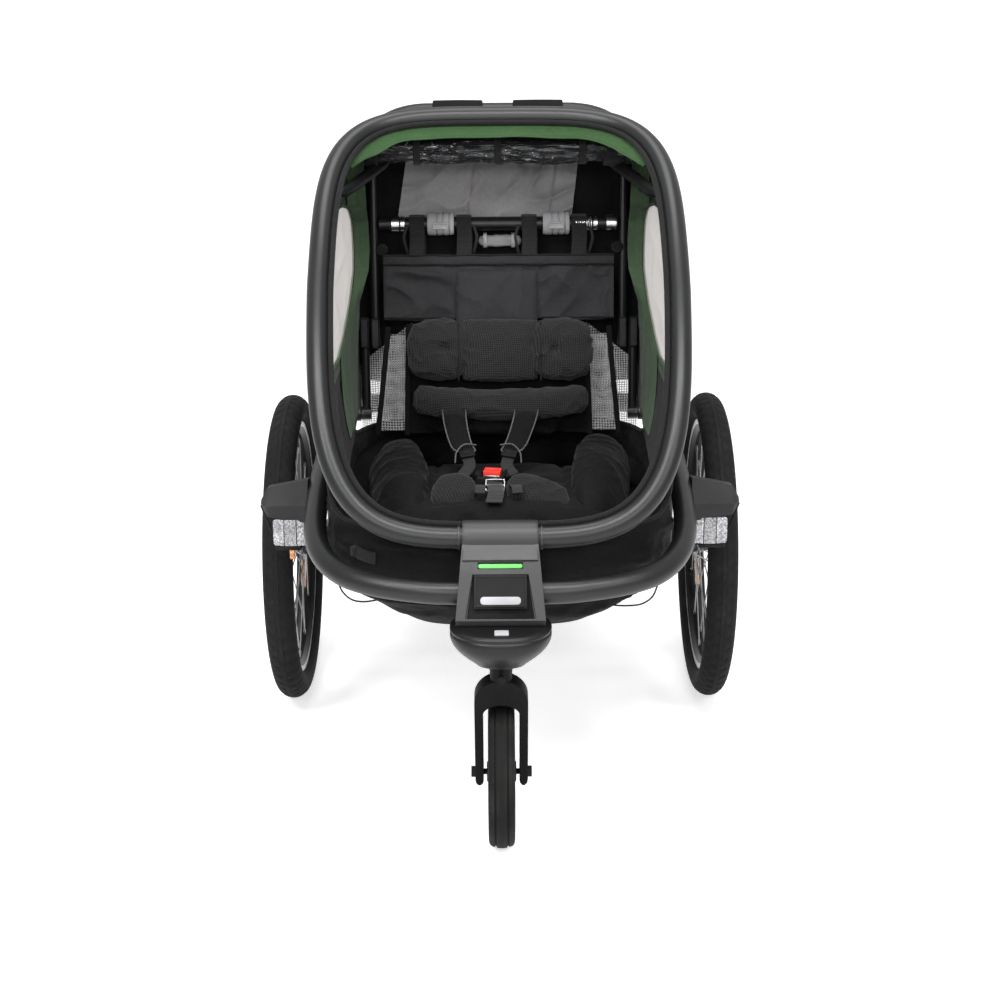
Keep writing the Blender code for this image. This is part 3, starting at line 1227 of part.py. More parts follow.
def build_harness():
    """Hip pads, shoulder pads and the buckle between them."""
    pads = (("hip_pad", HIP_PAD_ROUTE, HIP_PAD_HALF_WIDTH, HIP_PAD_HALF_THICK),
            ("shoulder_pad", SHOULDER_PAD_ROUTE, SHOULDER_PAD_HALF_WIDTH,
             SHOULDER_PAD_HALF_THICK))
    for side in (-1, 1):
        for stem, route, half_width, half_thick in pads:
            pad(side_name(stem, side), [(side * x, y, z) for x, y, z in route],
                half_width, half_thick, MESH_FABRIC)
    buckle = block("harness_buckle", BUCKLE_SIZE, BLACK_PLASTIC, BUCKLE_PLACE, 0.004)
    pocket = block("guide_pocket", (0.0265, 0.018, 0.012), BLACK_PLASTIC, (0, -0.006, 0.0065))
    tongue = block("guide_tongue", (0.025, 0.090, 0.005), BLACK_FABRIC, (0, -0.066, -0.002), 0.001, 1)
    for extra, operation in ((tongue, "UNION"), (pocket, "DIFFERENCE")):
        extra.parent = buckle
        boolean(buckle, extra, operation)
    buckle.rotation_euler = (math.radians(4), 0, 0)
    button = block("buckle_button", (0.025, 0.0165, 0.009), RED_PLASTIC, (0, 0, 0), 0.002)
    button.data.transform(Matrix.Translation((0, -0.006, 0.0075)))
    button.location = buckle.location
    button.rotation_euler = buckle.rotation_euler


def build_handle():
    """A U of round tube with a hub at each end and two foam grips."""
    pivot = (0, HANDLE_PIVOT_Y, RAIL_Z)
    hub_x = RAIL_X + HUB_WIDTH + RUNNING_GAP
    rise = HANDLE_RISE / HANDLE_REACH
    half = [(0.0, 0.0)]
    for k in range(7):
        angle = math.pi / 2 * k / 6
        half.append((HANDLE_CORNER * (1 - math.cos(angle)),
                     HANDLE_REACH - HANDLE_CORNER * (1 - math.sin(angle))))
    leg_x = RAIL_X + HUB_WIDTH / 2 + RUNNING_GAP + HANDLE_RADIUS + GAP
    route = [(leg_x - inward, reach, reach * rise) for inward, reach in half]
    route = [(-x, y, z) for x, y, z in route] + route[::-1]
    handle = solid_tube("push_handle", route, HANDLE_RADIUS, SATIN_GREY)
    handle.location = pivot
    for side in (-1, 1):
        hub = cylinder("guide_hub", HANDLE_HUB_RADIUS, HUB_WIDTH, SATIN_GREY,
                       (side * hub_x, 0, 0))
        hub.parent = handle
        boolean(handle, hub, "UNION")
        profile = [(HANDLE_RADIUS + GAP, GRIP_START), (GRIP_RADIUS - 0.003, GRIP_START),
                   (GRIP_RADIUS, GRIP_START + 0.003), (GRIP_RADIUS, GRIP_END - 0.003),
                   (GRIP_RADIUS - 0.003, GRIP_END), (HANDLE_RADIUS + GAP, GRIP_END)]
        lathe(side_name("handle_grip", side), [(r, side * a) for r, a in profile], SOFT_RUBBER,
              16, (0, HANDLE_PIVOT_Y + HANDLE_REACH, RAIL_Z + HANDLE_RISE))


def build_brake_pedal():
    """The foot pedal of the parking brake, hinged behind the axle beam."""
    pedal = block("brake_pedal", (0.070, 0.050, 0.008), GREY_PLASTIC, (0, 0, 0), 0.003)
    pedal.data.transform(Matrix.Translation((0, 0.030, 0.0)))
    pedal.location = BRAKE_PIVOT
    barrel = cylinder("guide_barrel", 0.008, 0.060, GREY_PLASTIC, (0, 0, 0), sides=14)
    barrel.parent = pedal
    boolean(pedal, barrel, "UNION")


def seat_the_pieces():
    """Rest pads, bags and guards on what carries them."""
    held = bpy.data.objects
    settle(held["harness_buckle"], held["seat_cushion"], (0, 0, -1), [held["buckle_button"]])
    settle(held["lumbar_roll"], held["seat_back"], (0, 1, 0))
    settle(held["headrest"], held["seat_back"], (0, 1, 0))
    settle(held["rain_cover_roll"], held["canopy"], (0, 0, 1))
    settle(held["rear_bag"], held["lower_frame"], (0, -1, 0))
    for side in (-1, 1):
        settle(held[side_name("hip_pad", side)], held["seat_cushion"], (0, 0, -1))
        settle(held[side_name("shoulder_pad", side)], held["lumbar_roll"], (0, 1, 0))
        guard = held[side_name("wheel_guard", side)]
        settle(guard, held["lower_frame"], (-side, 0, 0),
               [held[side_name("front_reflector", side)]])


def centre_on_origin():
    """Move every piece that has no parent, so the trailer's box is centred."""
    for piece in bpy.data.objects:
        if piece.parent is None:
            piece.location.y += SHIFT_Y


build_lower_frame()
build_axle_beam()
build_bracket()
build_green_strip()
build_lever()
build_dock()
build_fork()
build_front_wheel()
build_hoop()
build_tub()
build_canopy()
build_rear_cover()
build_rear_bag()
build_rain_roll()
build_seat_bar()
build_straps()
build_seat_back()
build_headrest()
build_lumbar_roll()
build_cushion()
build_harness()
build_handle()
build_brake_pedal()
for each_side in (-1, 1):
    build_wheel(each_side)
    build_suspension(each_side)
    build_guard(each_side)
    build_rear_post(each_side)
    build_bar_clamp(each_side)
seat_the_pieces()
centre_on_origin()
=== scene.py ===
"""A child bike trailer, dressed: its tubes, wheels, fabrics, harness and trim."""

import math

import bmesh
import bpy
import numpy as np
from mathutils import Matrix, Vector, noise


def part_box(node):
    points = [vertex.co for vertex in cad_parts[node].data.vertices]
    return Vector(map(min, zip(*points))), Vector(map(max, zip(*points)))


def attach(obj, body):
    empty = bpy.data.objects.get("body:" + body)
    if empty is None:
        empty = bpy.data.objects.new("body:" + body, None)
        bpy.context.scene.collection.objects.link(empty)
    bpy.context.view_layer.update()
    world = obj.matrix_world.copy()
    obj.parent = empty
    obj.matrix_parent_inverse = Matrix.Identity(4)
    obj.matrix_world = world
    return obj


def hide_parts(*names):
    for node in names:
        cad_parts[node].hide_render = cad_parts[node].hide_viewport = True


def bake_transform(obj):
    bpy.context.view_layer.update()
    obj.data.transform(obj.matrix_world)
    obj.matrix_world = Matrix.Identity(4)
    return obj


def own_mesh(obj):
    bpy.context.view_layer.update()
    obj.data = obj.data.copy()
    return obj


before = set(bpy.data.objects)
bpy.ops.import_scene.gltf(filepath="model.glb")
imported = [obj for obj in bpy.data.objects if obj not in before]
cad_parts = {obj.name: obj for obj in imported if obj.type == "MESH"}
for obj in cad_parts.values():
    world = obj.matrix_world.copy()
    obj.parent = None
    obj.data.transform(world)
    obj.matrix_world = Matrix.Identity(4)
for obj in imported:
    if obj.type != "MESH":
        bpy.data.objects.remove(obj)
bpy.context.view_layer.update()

SIDES = (("left", -1), ("right", 1))
SHIFT_Y = 0.1665  # the frame's y of the rear axle; pieces are drawn with it at 0
MERGE = 1e-5      # corners nearer than this are one


# Tools


def deselect():
    if bpy.context.object and bpy.context.object.mode != "OBJECT":
        bpy.ops.object.mode_set(mode="OBJECT")
    bpy.ops.object.select_all(action="DESELECT")


def only(piece):
    deselect()
    piece.select_set(True)
    bpy.context.view_layer.objects.active = piece


def add_object(name, data):
    piece = bpy.data.objects.new(name, data)
    bpy.context.collection.objects.link(piece)
    return piece


def settle_place(piece):
    """Put a piece's place, turn and size into its mesh."""
    only(piece)
    bpy.ops.object.transform_apply(location=True, rotation=True, scale=True)


def carry(piece, by):
    """Move a piece's mesh."""
    piece.data.transform(Matrix.Translation(by))


def turn_about(piece, angle, axis, drawn_at=(0, 0, 0), put_at=None):
    """Turn a piece's mesh round the point that it is drawn at, and set that point elsewhere."""
    home = Vector(drawn_at)
    piece.data.transform(Matrix.Translation(home if put_at is None else put_at)
                         @ Matrix.Rotation(angle, 4, axis) @ Matrix.Translation(-home))


def pick(piece, mode, test):
    """Enter edit mode with the faces or edges that pass a test selected."""
    only(piece)
    bpy.ops.object.mode_set(mode="EDIT")
    bpy.ops.mesh.select_mode(type=mode)
    bpy.ops.mesh.select_all(action="DESELECT")
    bpy.ops.object.mode_set(mode="OBJECT")
    mesh = piece.data
    if mode == "FACE":
        for face in mesh.polygons:
            face.select = test(face.center, face.normal)
    else:
        for edge in mesh.edges:
            a, b = (mesh.vertices[k].co for k in edge.vertices)
            edge.select = test((a + b) / 2, (b - a).normalized())
    bpy.ops.object.mode_set(mode="EDIT")


def leave():
    bpy.ops.object.mode_set(mode="OBJECT")


def edit_all(piece, **steps):
    """Run mesh operators, named with their values, on the whole of a piece."""
    only(piece)
    bpy.ops.object.mode_set(mode="EDIT")
    bpy.ops.mesh.select_all(action="SELECT")
    for name, values in steps.items():
        getattr(bpy.ops.mesh, name)(**values)
    leave()


def outward(piece):
    edit_all(piece, normals_make_consistent={"inside": False})


def cap(piece):
    """Close every open end of a shell, and face it outwards."""
    edit_all(piece, fill_holes={"sides": 0}, normals_make_consistent={"inside": False})


def press(piece, test, *steps, each=False):
    """Inset the faces that pass a test, once for each (rim, depth)."""
    pick(piece, "FACE", test)
    for rim, depth in steps:
        bpy.ops.mesh.inset(thickness=rim, depth=-depth, use_individual=each)
    leave()


def sink(piece, test, rim, depth):
    """Press a pocket with upright walls into the faces that pass a test."""
    press(piece, test, (rim, 0), (0.0002, depth))


def round_corners(piece, test, width, segments):
    """Round the edges whose middle and direction pass a test."""
    pick(piece, "EDGE", test)
    bpy.ops.mesh.bevel(offset=width, segments=segments)
    leave()


def modify(piece, kind, **values):
    """Add one modifier and apply it."""
    only(piece)
    added = piece.modifiers.new(kind.lower(), kind)
    for name, value in values.items():
        setattr(added, name, value)
    bpy.ops.object.modifier_apply(modifier=added.name)


def round_edges(piece, width, segments=3, angle=30.0):
    modify(piece, "BEVEL", width=width, segments=segments, limit_method="ANGLE",
           angle_limit=math.radians(angle), harden_normals=False)


def subdivide(piece, levels=1):
    modify(piece, "SUBSURF", levels=levels, render_levels=levels)


def smooth(piece, angle=35.0):
    only(piece)
    bpy.ops.object.shade_smooth_by_angle(angle=math.radians(angle))


def box(name, size, centre, turn=(0, 0, 0)):
    deselect()
    bpy.ops.mesh.primitive_cube_add(size=1, location=centre, rotation=turn, scale=size)
    piece = bpy.context.object
    piece.name = name
    settle_place(piece)
    return piece


def block(name, size, centre, width, segments=2, turn=(0, 0, 0), angle=30.0):
    """A box with its edges rounded."""
    piece = box(name, size, centre, turn)
    round_edges(piece, width, segments, angle)
    return piece


def rod(name, radius, length, centre, axis="X", sides=32, end_radius=None):
    """A round bar or cone along an axis, given by a letter or a direction."""
    turns = {"X": (0, math.pi / 2, 0), "Y": (-math.pi / 2, 0, 0), "Z": (0, 0, 0)}
    turn = (turns.get(axis) if isinstance(axis, str)
            else Vector(axis).to_track_quat("Z", "Y").to_euler())
    deselect()
    bpy.ops.mesh.primitive_cone_add(vertices=sides, radius1=radius, depth=length, location=centre,
                                    radius2=radius if end_radius is None else end_radius,
                                    rotation=turn)
    piece = bpy.context.object
    piece.name = name
    settle_place(piece)
    return piece


def join(name, pieces):
    deselect()
    for piece in pieces:
        piece.select_set(True)
    bpy.context.view_layer.objects.active = pieces[0]
    bpy.ops.object.join()
    joined = bpy.context.object
    joined.name = name
    return joined


def bar(name, points, radius, closed=False, sides=5, radii=None, straight=False):
    """A round tube along points: one curve, made a mesh."""
    deselect()
    bpy.ops.curve.primitive_nurbs_path_add()
    drawn = bpy.context.object
    drawn.name = name
    curve = drawn.data
    curve.splines.clear()
    spline = curve.splines.new("POLY")
    spline.points.add(len(points) - 1)
    for k, point in enumerate(points):
        spline.points[k].co = (*point, 1)
        spline.points[k].radius = radii[k] if radii else 1.0
    spline.use_cyclic_u = closed
    spline.use_smooth = not straight
    curve.dimensions = "3D"
    curve.bevel_depth = radius
    curve.bevel_resolution = sides
    curve.use_fill_caps = not closed
    only(drawn)
    bpy.ops.object.convert(target="MESH")
    piece = bpy.context.object
    smooth(piece, 45)
    return piece


def spin_profile(name, profile, centre, axis="X", steps=64):
    """A turned form: a closed outline of (radius, along) pairs spun round an axis."""
    deselect()
    bpy.ops.mesh.primitive_circle_add(vertices=len(profile), radius=1)
    piece = bpy.context.object
    piece.name = name
    mesh = piece.data
    for corner, (radius, along) in zip(mesh.vertices, profile):
        corner.co = {"X": (along, radius, 0), "Y": (radius, along, 0),
                     "Z": (radius, 0, along)}[axis]
    way = {"X": (1, 0, 0), "Y": (0, 1, 0), "Z": (0, 0, 1)}[axis]
    edit_all(piece, spin={"steps": steps, "angle": 2 * math.pi, "center": (0, 0, 0), "axis": way},
             select_all={"action": "SELECT"}, remove_doubles={"threshold": MERGE},
             normals_make_consistent={"inside": False})
    piece.location = centre
    settle_place(piece)
    return piece


def both_ways(half, *middle):
    """A profile: one half, what lies in its middle, and the half mirrored."""
    return [*half, *middle, *((radius, -along) for radius, along in reversed(half))]


def cloth(name, columns, rows, place, closed_round=False):
    """A sheet: a grid whose points go where place(across, along) says, both from 0 to 1."""
    deselect()
    bpy.ops.mesh.primitive_grid_add(x_subdivisions=columns, y_subdivisions=rows, size=1)
    piece = bpy.context.object
    piece.name = name
    for corner in piece.data.vertices:
        corner.co = place(corner.co.x + 0.5, corner.co.y + 0.5)
    if closed_round:
        edit_all(piece, remove_doubles={"threshold": MERGE})
    return piece


def thicken(piece, thickness, offset=0.0):
    modify(piece, "SOLIDIFY", thickness=thickness, offset=offset, use_even_offset=False)


def sewn(name, columns, rows, place, thickness, offset=0.0, closed_round=False):
    """A sheet with its thickness."""
    piece = cloth(name, columns, rows, place, closed_round)
    thicken(piece, thickness, offset)
    outward(piece)
    return piece


def pillow(name, columns, rows, middle, half_thick, lift):
    """A stuffed form: two sheets, sewn together all round their edge.

    middle(across, along) is a point of the sheet between them, half_thick(across, along)
    how far each stands off it, and lift the direction that they stand off in.
    """
    work = bmesh.new()
    lift = Vector(lift).normalized()
    faces = {}
    for side in (1, -1):
        for i in range(columns + 1):
            for j in range(rows + 1):
                edge = i in (0, columns) or j in (0, rows)
                if edge and side < 0:
                    faces[side, i, j] = faces[1, i, j]
                    continue
                across, along = i / columns, j / rows
                thick = 0.0 if edge else half_thick(across, along)
                thick = thick if isinstance(thick, tuple) else (thick, thick)
                stand = thick[0] if side > 0 else -thick[1]
                faces[side, i, j] = work.verts.new(Vector(middle(across, along)) + lift * stand)
    for side in (1, -1):
        for i in range(columns):
            for j in range(rows):
                ring = [faces[side, i, j], faces[side, i + 1, j],
                        faces[side, i + 1, j + 1], faces[side, i, j + 1]]
                work.faces.new(ring if side > 0 else ring[::-1])
    bmesh.ops.recalc_face_normals(work, faces=work.faces)
    mesh = bpy.data.meshes.new(name)
    work.to_mesh(mesh)
    work.free()
    return add_object(name, mesh)


CLOTH = {"use_pressure": True, "uniform_pressure_force": 4, "quality": 4, "mass": 0.4,
         "tension_stiffness": 20, "bending_stiffness": 0.25, "shrink_min": -0.03}
CLOTH_FRAMES = 16


def swell(piece, voxel, furthest):
    """Blow a cushion up as cloth, so that it fills and creases like a stuffed one."""
    modify(piece, "REMESH", mode="VOXEL", voxel_size=voxel, use_smooth_shade=True)
    rest = np.array([corner.co[:] for corner in piece.data.vertices])
    only(piece)
    blown_up = piece.modifiers.new("cloth", "CLOTH")
    for title, value in CLOTH.items():
        setattr(blown_up.settings, title, value)
    blown_up.settings.effector_weights.gravity = 0.0
    scene = bpy.context.scene
    for number in range(1, CLOTH_FRAMES + 1):
        scene.frame_set(number)
    shown = piece.evaluated_get(bpy.context.evaluated_depsgraph_get())
    blown = np.array([corner.co[:] for corner in shown.data.vertices])
    piece.modifiers.remove(blown_up)
    scene.frame_set(1)
    move = blown - rest
    far = np.linalg.norm(move, axis=1, keepdims=True)
    move *= np.minimum(1.0, furthest / np.maximum(far, 1e-9))
    piece.data.vertices.foreach_set("co", (rest + move).astype(np.float32).ravel())
    piece.data.update()


def crease(point, size, seed, stretch=(1, 1, 1)):
    """A soft fold pattern from 0 to 1: ridges of noise, longer along a stretched axis."""
    spot = Vector([p * s / size for p, s in zip(point, stretch)]) + Vector((seed, seed * 0.7, 0))
    bend = Vector((noise.noise(spot * 0.6), noise.noise(spot * 0.6 + Vector((9, 4, 2))), 0)) * 0.8
    ridge = 1 - abs(noise.noise(spot + bend))
    return ridge ** 3


def rumple(piece, depth, size, seed, stretch=(1, 1, 1), where=None):
    """Push a fabric's surface in and out along its normals."""
    mesh = piece.data
    normals = [Vector(corner.normal) for corner in mesh.vertices]
    for corner, normal in zip(mesh.vertices, normals):
        share = 1.0 if where is None else where(corner.co)
        if share > 0:
            corner.co += normal * depth * share * (crease(corner.co, size, seed, stretch) - 0.6)
    mesh.update()


def read(rows, value, column=1):
    """A table's value in one column where its first column has the given one."""
    return float(np.interp(value, [row[0] for row in rows], [row[column] for row in rows]))


def between(values, share, slack=1e-3):
    """The value at a share of the way along a list."""
    last = len(values) - 1
    k = min(share * last, last - slack)
    low = int(k)
    return values[low] + (values[low + 1] - values[low]) * (k - low)


def bulge(value, power):
    """A signed power, which squares off a circle's sine or cosine."""
    return math.copysign(abs(value) ** power, value)


def bump_at(value, middle, width):
    """A smooth ridge of height 1 round a value."""
    return math.exp(-((value - middle) / width) ** 2)


def paint(piece, *finishes):
    piece.data.materials.clear()
    for finish in finishes:
        piece.data.materials.append(finish)


def dress(piece, material, body="chassis", nodes="", angle=60):
    """Give a finished piece its material, smoothing, place on a body and CAD node.

    Pieces are drawn with the rear axle at y = 0, as the part is, and moved here to the frame.
    """
    carry(piece, (0, SHIFT_Y, 0))
    if material:
        paint(piece, material)
    smooth(piece, angle)
    if nodes:
        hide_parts(nodes)
    if body:
        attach(piece, body)
    return piece


def merged_copy(node, name):
    """A copy of a CAD node with its loose triangles merged, ready for rounding."""
    piece = add_object(name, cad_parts[node].data.copy())
    carry(piece, (0, -SHIFT_Y, 0))
    edit_all(piece, remove_doubles={"threshold": 2 * MERGE},
             tris_convert_to_quads={"face_threshold": math.radians(12),
                                    "shape_threshold": math.radians(60)})
    return piece


def through(points, steps, closed=False):
    """Points on a smooth line through a few given ones."""
    given = [Vector(p) for p in points]
    count = len(given)
    route = []
    for k in range(count if closed else count - 1):
        before = given[k - 1] if closed else given[max(k - 1, 0)]
        after = given[(k + 2) % count] if closed else given[min(k + 2, count - 1)]
        a, b = given[k], given[(k + 1) % count]
        for step in range(steps):
            t = step / steps
            curved = 2 * before - 5 * a + 4 * b - after
            route.append(0.5 * ((2 * a) + (b - before) * t + curved * t * t
                                + (3 * a - before - 3 * b + after) * t ** 3))
    return route if closed else route + [given[-1]]


def webbing(name, points, width, thickness, side_way=(1, 0, 0), steps=6, ripple=0.0):
    """A flat strap along points, its width lying along side_way."""
    route = through(points, steps)
    last = len(route) - 1
    way = Vector(side_way).normalized()

    def place(across, along):
        k = along * last
        low = min(int(k), last - 1)
        spot = route[low].lerp(route[low + 1], k - low)
        heading = (route[low + 1] - route[low]).normalized()
        wide = (way - heading * way.dot(heading)).normalized()
        up = heading.cross(wide)
        wave = ripple * math.sin(along * last * 1.7) * (0.5 - abs(across - 0.5))
        return spot + wide * (across - 0.5) * width + up * wave

    piece = cloth(name, 6, max(2 * last, 8), place)
    thicken(piece, thickness)
    round_edges(piece, thickness * 0.3, 1, 50)
    return piece


# Finishes


class Nodes:
    """Adds and links shader nodes in one tree."""

    def __init__(self, tree):
        self.tree = tree
        self.count = 0

    def add(self, kind, values=None, **facts):
        node = self.tree.nodes.new("ShaderNode" + kind)
        node.location = (180 * (self.count % 12) - 1500, -220 * (self.count // 12))
        self.count += 1
        for name, value in facts.items():
            setattr(node, name, value)
        for socket, value in (values or {}).items():
            self.feed(node.inputs[socket], value)
        return node

    def feed(self, socket, value):
        if isinstance(value, bpy.types.NodeSocket):
            self.tree.links.new(value, socket)
        else:
            socket.default_value = value

    def math(self, operation, a, b=0.5, clamp=False):
        node = self.add("Math", {0: a, 1: b}, operation=operation, use_clamp=clamp)
        return node.outputs[0]

    def blend(self, share, a, b, kind="MIX"):
        node = self.add("MixRGB", {0: share, 1: a, 2: b}, blend_type=kind)
        return node.outputs[0]

    def tinted(self, color, shade):
        """A colour made lighter or darker by a grey."""
        grey = self.add("CombineColor", {0: shade, 1: shade, 2: shade}).outputs[0]
        return self.blend(1.0, color, grey, "MULTIPLY")

    def spread(self, value, low, high, to_low=0.0, to_high=1.0):
        node = self.add("MapRange", {0: value, 1: low, 2: high, 3: to_low, 4: to_high})
        return node.outputs[0]


def group(name, inputs, outputs):
    """A new shader node group; sockets are (name, kind, default) and (name, kind)."""
    tree = bpy.data.node_groups.new(name, "ShaderNodeTree")
    for title, kind, default in inputs:
        socket = tree.interface.new_socket(title, in_out="INPUT", socket_type="NodeSocket" + kind)
        socket.default_value = default
    for title, kind in outputs:
        tree.interface.new_socket(title, in_out="OUTPUT", socket_type="NodeSocket" + kind)
    nodes = Nodes(tree)
    entry = tree.nodes.new("NodeGroupInput")
    leaving = tree.nodes.new("NodeGroupOutput")
    return nodes, entry.outputs, leaving.inputs


def make_weave():
    """Woven threads over the cloth, with softly mottled colour."""
    nodes, given, out = group(
        "woven_threads",
        (("Color", "Color", (0.02, 0.02, 0.02, 1)), ("Thread", "Float", 0.0011),
         ("Contrast", "Float", 0.35), ("Mottle", "Float", 0.25)),
        (("Color", "Color"), ("Height", "Float"), ("Shine", "Float")))
    place = nodes.add("TexCoord").outputs["Object"]
    pitch = nodes.math("DIVIDE", 0.32, given["Thread"])
    warp = nodes.add("TexWave", {"Vector": place, "Scale": pitch}, bands_direction="X")
    weft = nodes.add("TexWave", {"Vector": place, "Scale": pitch}, bands_direction="Z")
    third = nodes.add("TexWave", {"Vector": place, "Scale": pitch}, bands_direction="Y")
    rise = nodes.math("MULTIPLY", warp.outputs["Fac"], weft.outputs["Fac"])
    rise = nodes.math("MAXIMUM", rise, nodes.math("MULTIPLY", third.outputs["Fac"],
                                                  weft.outputs["Fac"]))
    broad = nodes.add("TexNoise", {"Vector": place, "Scale": 14.0, "Detail": 3.0})
    fine = nodes.add("TexNoise", {"Vector": place, "Scale": 160.0, "Detail": 2.0})
    patch = nodes.math("ADD", broad.outputs["Fac"],
                       nodes.math("MULTIPLY", fine.outputs["Fac"], 0.5))
    patch = nodes.spread(patch, 0.45, 1.05)
    shade = nodes.math("MULTIPLY", nodes.math("SUBTRACT", patch, 0.5), given["Mottle"])
    shade = nodes.math("ADD", shade, nodes.math(
        "MULTIPLY", nodes.math("SUBTRACT", rise, 0.5), given["Contrast"]))
    shade = nodes.math("ADD", shade, 1.0)
    nodes.feed(out["Color"], nodes.tinted(given["Color"], shade))
    nodes.feed(out["Height"], rise)
    nodes.feed(out["Shine"], patch)
    return nodes.tree


def make_mesh_weave():
    """Spacer mesh: a lattice of small round holes."""
    nodes, given, out = group(
        "air_mesh",
        (("Thread Color", "Color", (0.02, 0.02, 0.02, 1)), ("Hole Color", "Color", (0, 0, 0, 1)),
         ("Pitch", "Float", 0.003), ("Hole", "Float", 0.34)),
        (("Color", "Color"), ("Height", "Float"), ("Mask", "Float")))
    place = nodes.add("SeparateXYZ", {0: nodes.add("TexCoord").outputs["Object"]}).outputs
    across = nodes.math("ADD", place[0], nodes.math("MULTIPLY", place[1], 0.5))
    lying = nodes.add("CombineXYZ", {0: across, 1: nodes.math("ADD", place[1], place[2])})
    cells = nodes.add("TexVoronoi", {"Vector": lying.outputs[0],
                                     "Scale": nodes.math("DIVIDE", 1.0, given["Pitch"]),
                                     "Randomness": 0.1}, voronoi_dimensions="2D")
    hole = nodes.spread(cells.outputs["Distance"], nodes.math("SUBTRACT", given["Hole"], 0.1),
                        nodes.math("ADD", given["Hole"], 0.08))
    nodes.feed(out["Color"], nodes.blend(hole, given["Hole Color"], given["Thread Color"]))
    nodes.feed(out["Height"], hole)
    nodes.feed(out["Mask"], hole)
    return nodes.tree


def make_grain():
    """Moulded or painted skin: fine pits, cloudy gloss and slightly worn edges."""
    nodes, given, out = group(
        "moulded_grain",
        (("Color", "Color", (0.03, 0.03, 0.03, 1)), ("Worn Color", "Color", (0.1, 0.1, 0.1, 1)),
         ("Grain", "Float", 0.0009), ("Wear", "Float", 0.25), ("Roughness", "Float", 0.45),
         ("Cloud", "Float", 0.08)),
        (("Color", "Color"), ("Height", "Float"), ("Roughness", "Float")))
    place = nodes.add("TexCoord").outputs["Object"]
    pits = nodes.add("TexNoise", {"Vector": place,
                                  "Scale": nodes.math("DIVIDE", 1.0, given["Grain"]),
                                  "Detail": 2.0, "Roughness": 0.6})
    cloud = nodes.add("TexNoise", {"Vector": place, "Scale": 22.0, "Detail": 4.0})
    edge = nodes.spread(nodes.add("NewGeometry").outputs["Pointiness"], 0.52, 0.6)
    patch = nodes.spread(cloud.outputs["Fac"], 0.45, 0.62)
    worn = nodes.math("MULTIPLY", nodes.math("MULTIPLY", edge, patch), given["Wear"], clamp=True)
    shade = nodes.spread(cloud.outputs["Fac"], 0.3, 0.7, 0.88, 1.12)
    plain = nodes.tinted(given["Color"], shade)
    nodes.feed(out["Color"], nodes.blend(worn, plain, given["Worn Color"]))
    nodes.feed(out["Height"], pits.outputs["Fac"])
    gloss = nodes.math("MULTIPLY", nodes.math("SUBTRACT", cloud.outputs["Fac"], 0.5),
                       given["Cloud"])
    nodes.feed(out["Roughness"], nodes.math("ADD", gloss, given["Roughness"], clamp=True))
    return nodes.tree


WEAVE, AIR_MESH, GRAIN = make_weave(), make_mesh_weave(), make_grain()


def surface(name):
    """A new material; returns it with its node adder and its shader."""
    material = bpy.data.materials.new(name)
    material.use_nodes = True
    shader = material.node_tree.nodes["Principled BSDF"]
    return material, Nodes(material.node_tree), shader


def from_group(nodes, tree, **values):
    node = nodes.tree.nodes.new("ShaderNodeGroup")
    node.node_tree = tree
    for title, value in values.items():
        nodes.feed(node.inputs[title.replace("_", " ")], value)
    return node.outputs


def bumped(nodes, shader, height, strength, distance, under=None):
    bump = nodes.add("Bump", {"Height": height, "Strength": strength, "Distance": distance})
    if under is not None:
        nodes.feed(bump.inputs["Normal"], under)
    nodes.feed(shader.inputs["Normal"], bump.outputs[0])
    return bump.outputs[0]


def set_shader(shader, **values):
    for title, value in values.items():
        shader.inputs[title.replace("_", " ")].default_value = value


def fabric(name, color, thread=0.0011, roughness=0.78, sheen=0.25, contrast=0.35, mottle=0.25,
           fold=0.35, fold_size=0.045):
    """Coated woven cloth: threads, soft mottling and small folds."""
    material, nodes, shader = surface(name)
    woven = from_group(nodes, WEAVE, Color=(*color, 1), Thread=thread, Contrast=contrast,
                       Mottle=mottle)
    nodes.feed(shader.inputs["Base Color"], woven["Color"])
    nodes.feed(shader.inputs["Roughness"],
               nodes.spread(woven["Shine"], 0, 1, roughness + 0.06, roughness - 0.06))
    place = nodes.add("TexCoord").outputs["Object"]
    folds = nodes.add("TexNoise", {"Vector": place, "Scale": 1 / fold_size, "Detail": 4.0,
                                   "Distortion": 1.2})
    soft = nodes.add("Bump", {"Height": folds.outputs["Fac"], "Strength": fold, "Distance": 0.006})
    bumped(nodes, shader, woven["Height"], 0.35, 0.0004, soft.outputs[0])
    set_shader(shader, Sheen_Weight=sheen * 0.2, Sheen_Roughness=0.45, Specular_IOR_Level=0.04)
    return material


def hard(name, color, worn, roughness=0.45, metallic=0.0, grain=0.0009, wear=0.25, cloud=0.08,
         depth=0.00012, coat=0.0, strength=0.35, gloss=0.05):
    """Moulded plastic or painted metal."""
    material, nodes, shader = surface(name)
    skin = from_group(nodes, GRAIN, Color=(*color, 1), Worn_Color=(*worn, 1), Grain=grain,
                      Wear=wear, Roughness=roughness, Cloud=cloud)
    nodes.feed(shader.inputs["Base Color"], skin["Color"])
    nodes.feed(shader.inputs["Roughness"], skin["Roughness"])
    bumped(nodes, shader, skin["Height"], strength, depth)
    set_shader(shader, Metallic=metallic, Coat_Weight=coat, Coat_Roughness=0.15,
               Specular_IOR_Level=gloss)
    return material


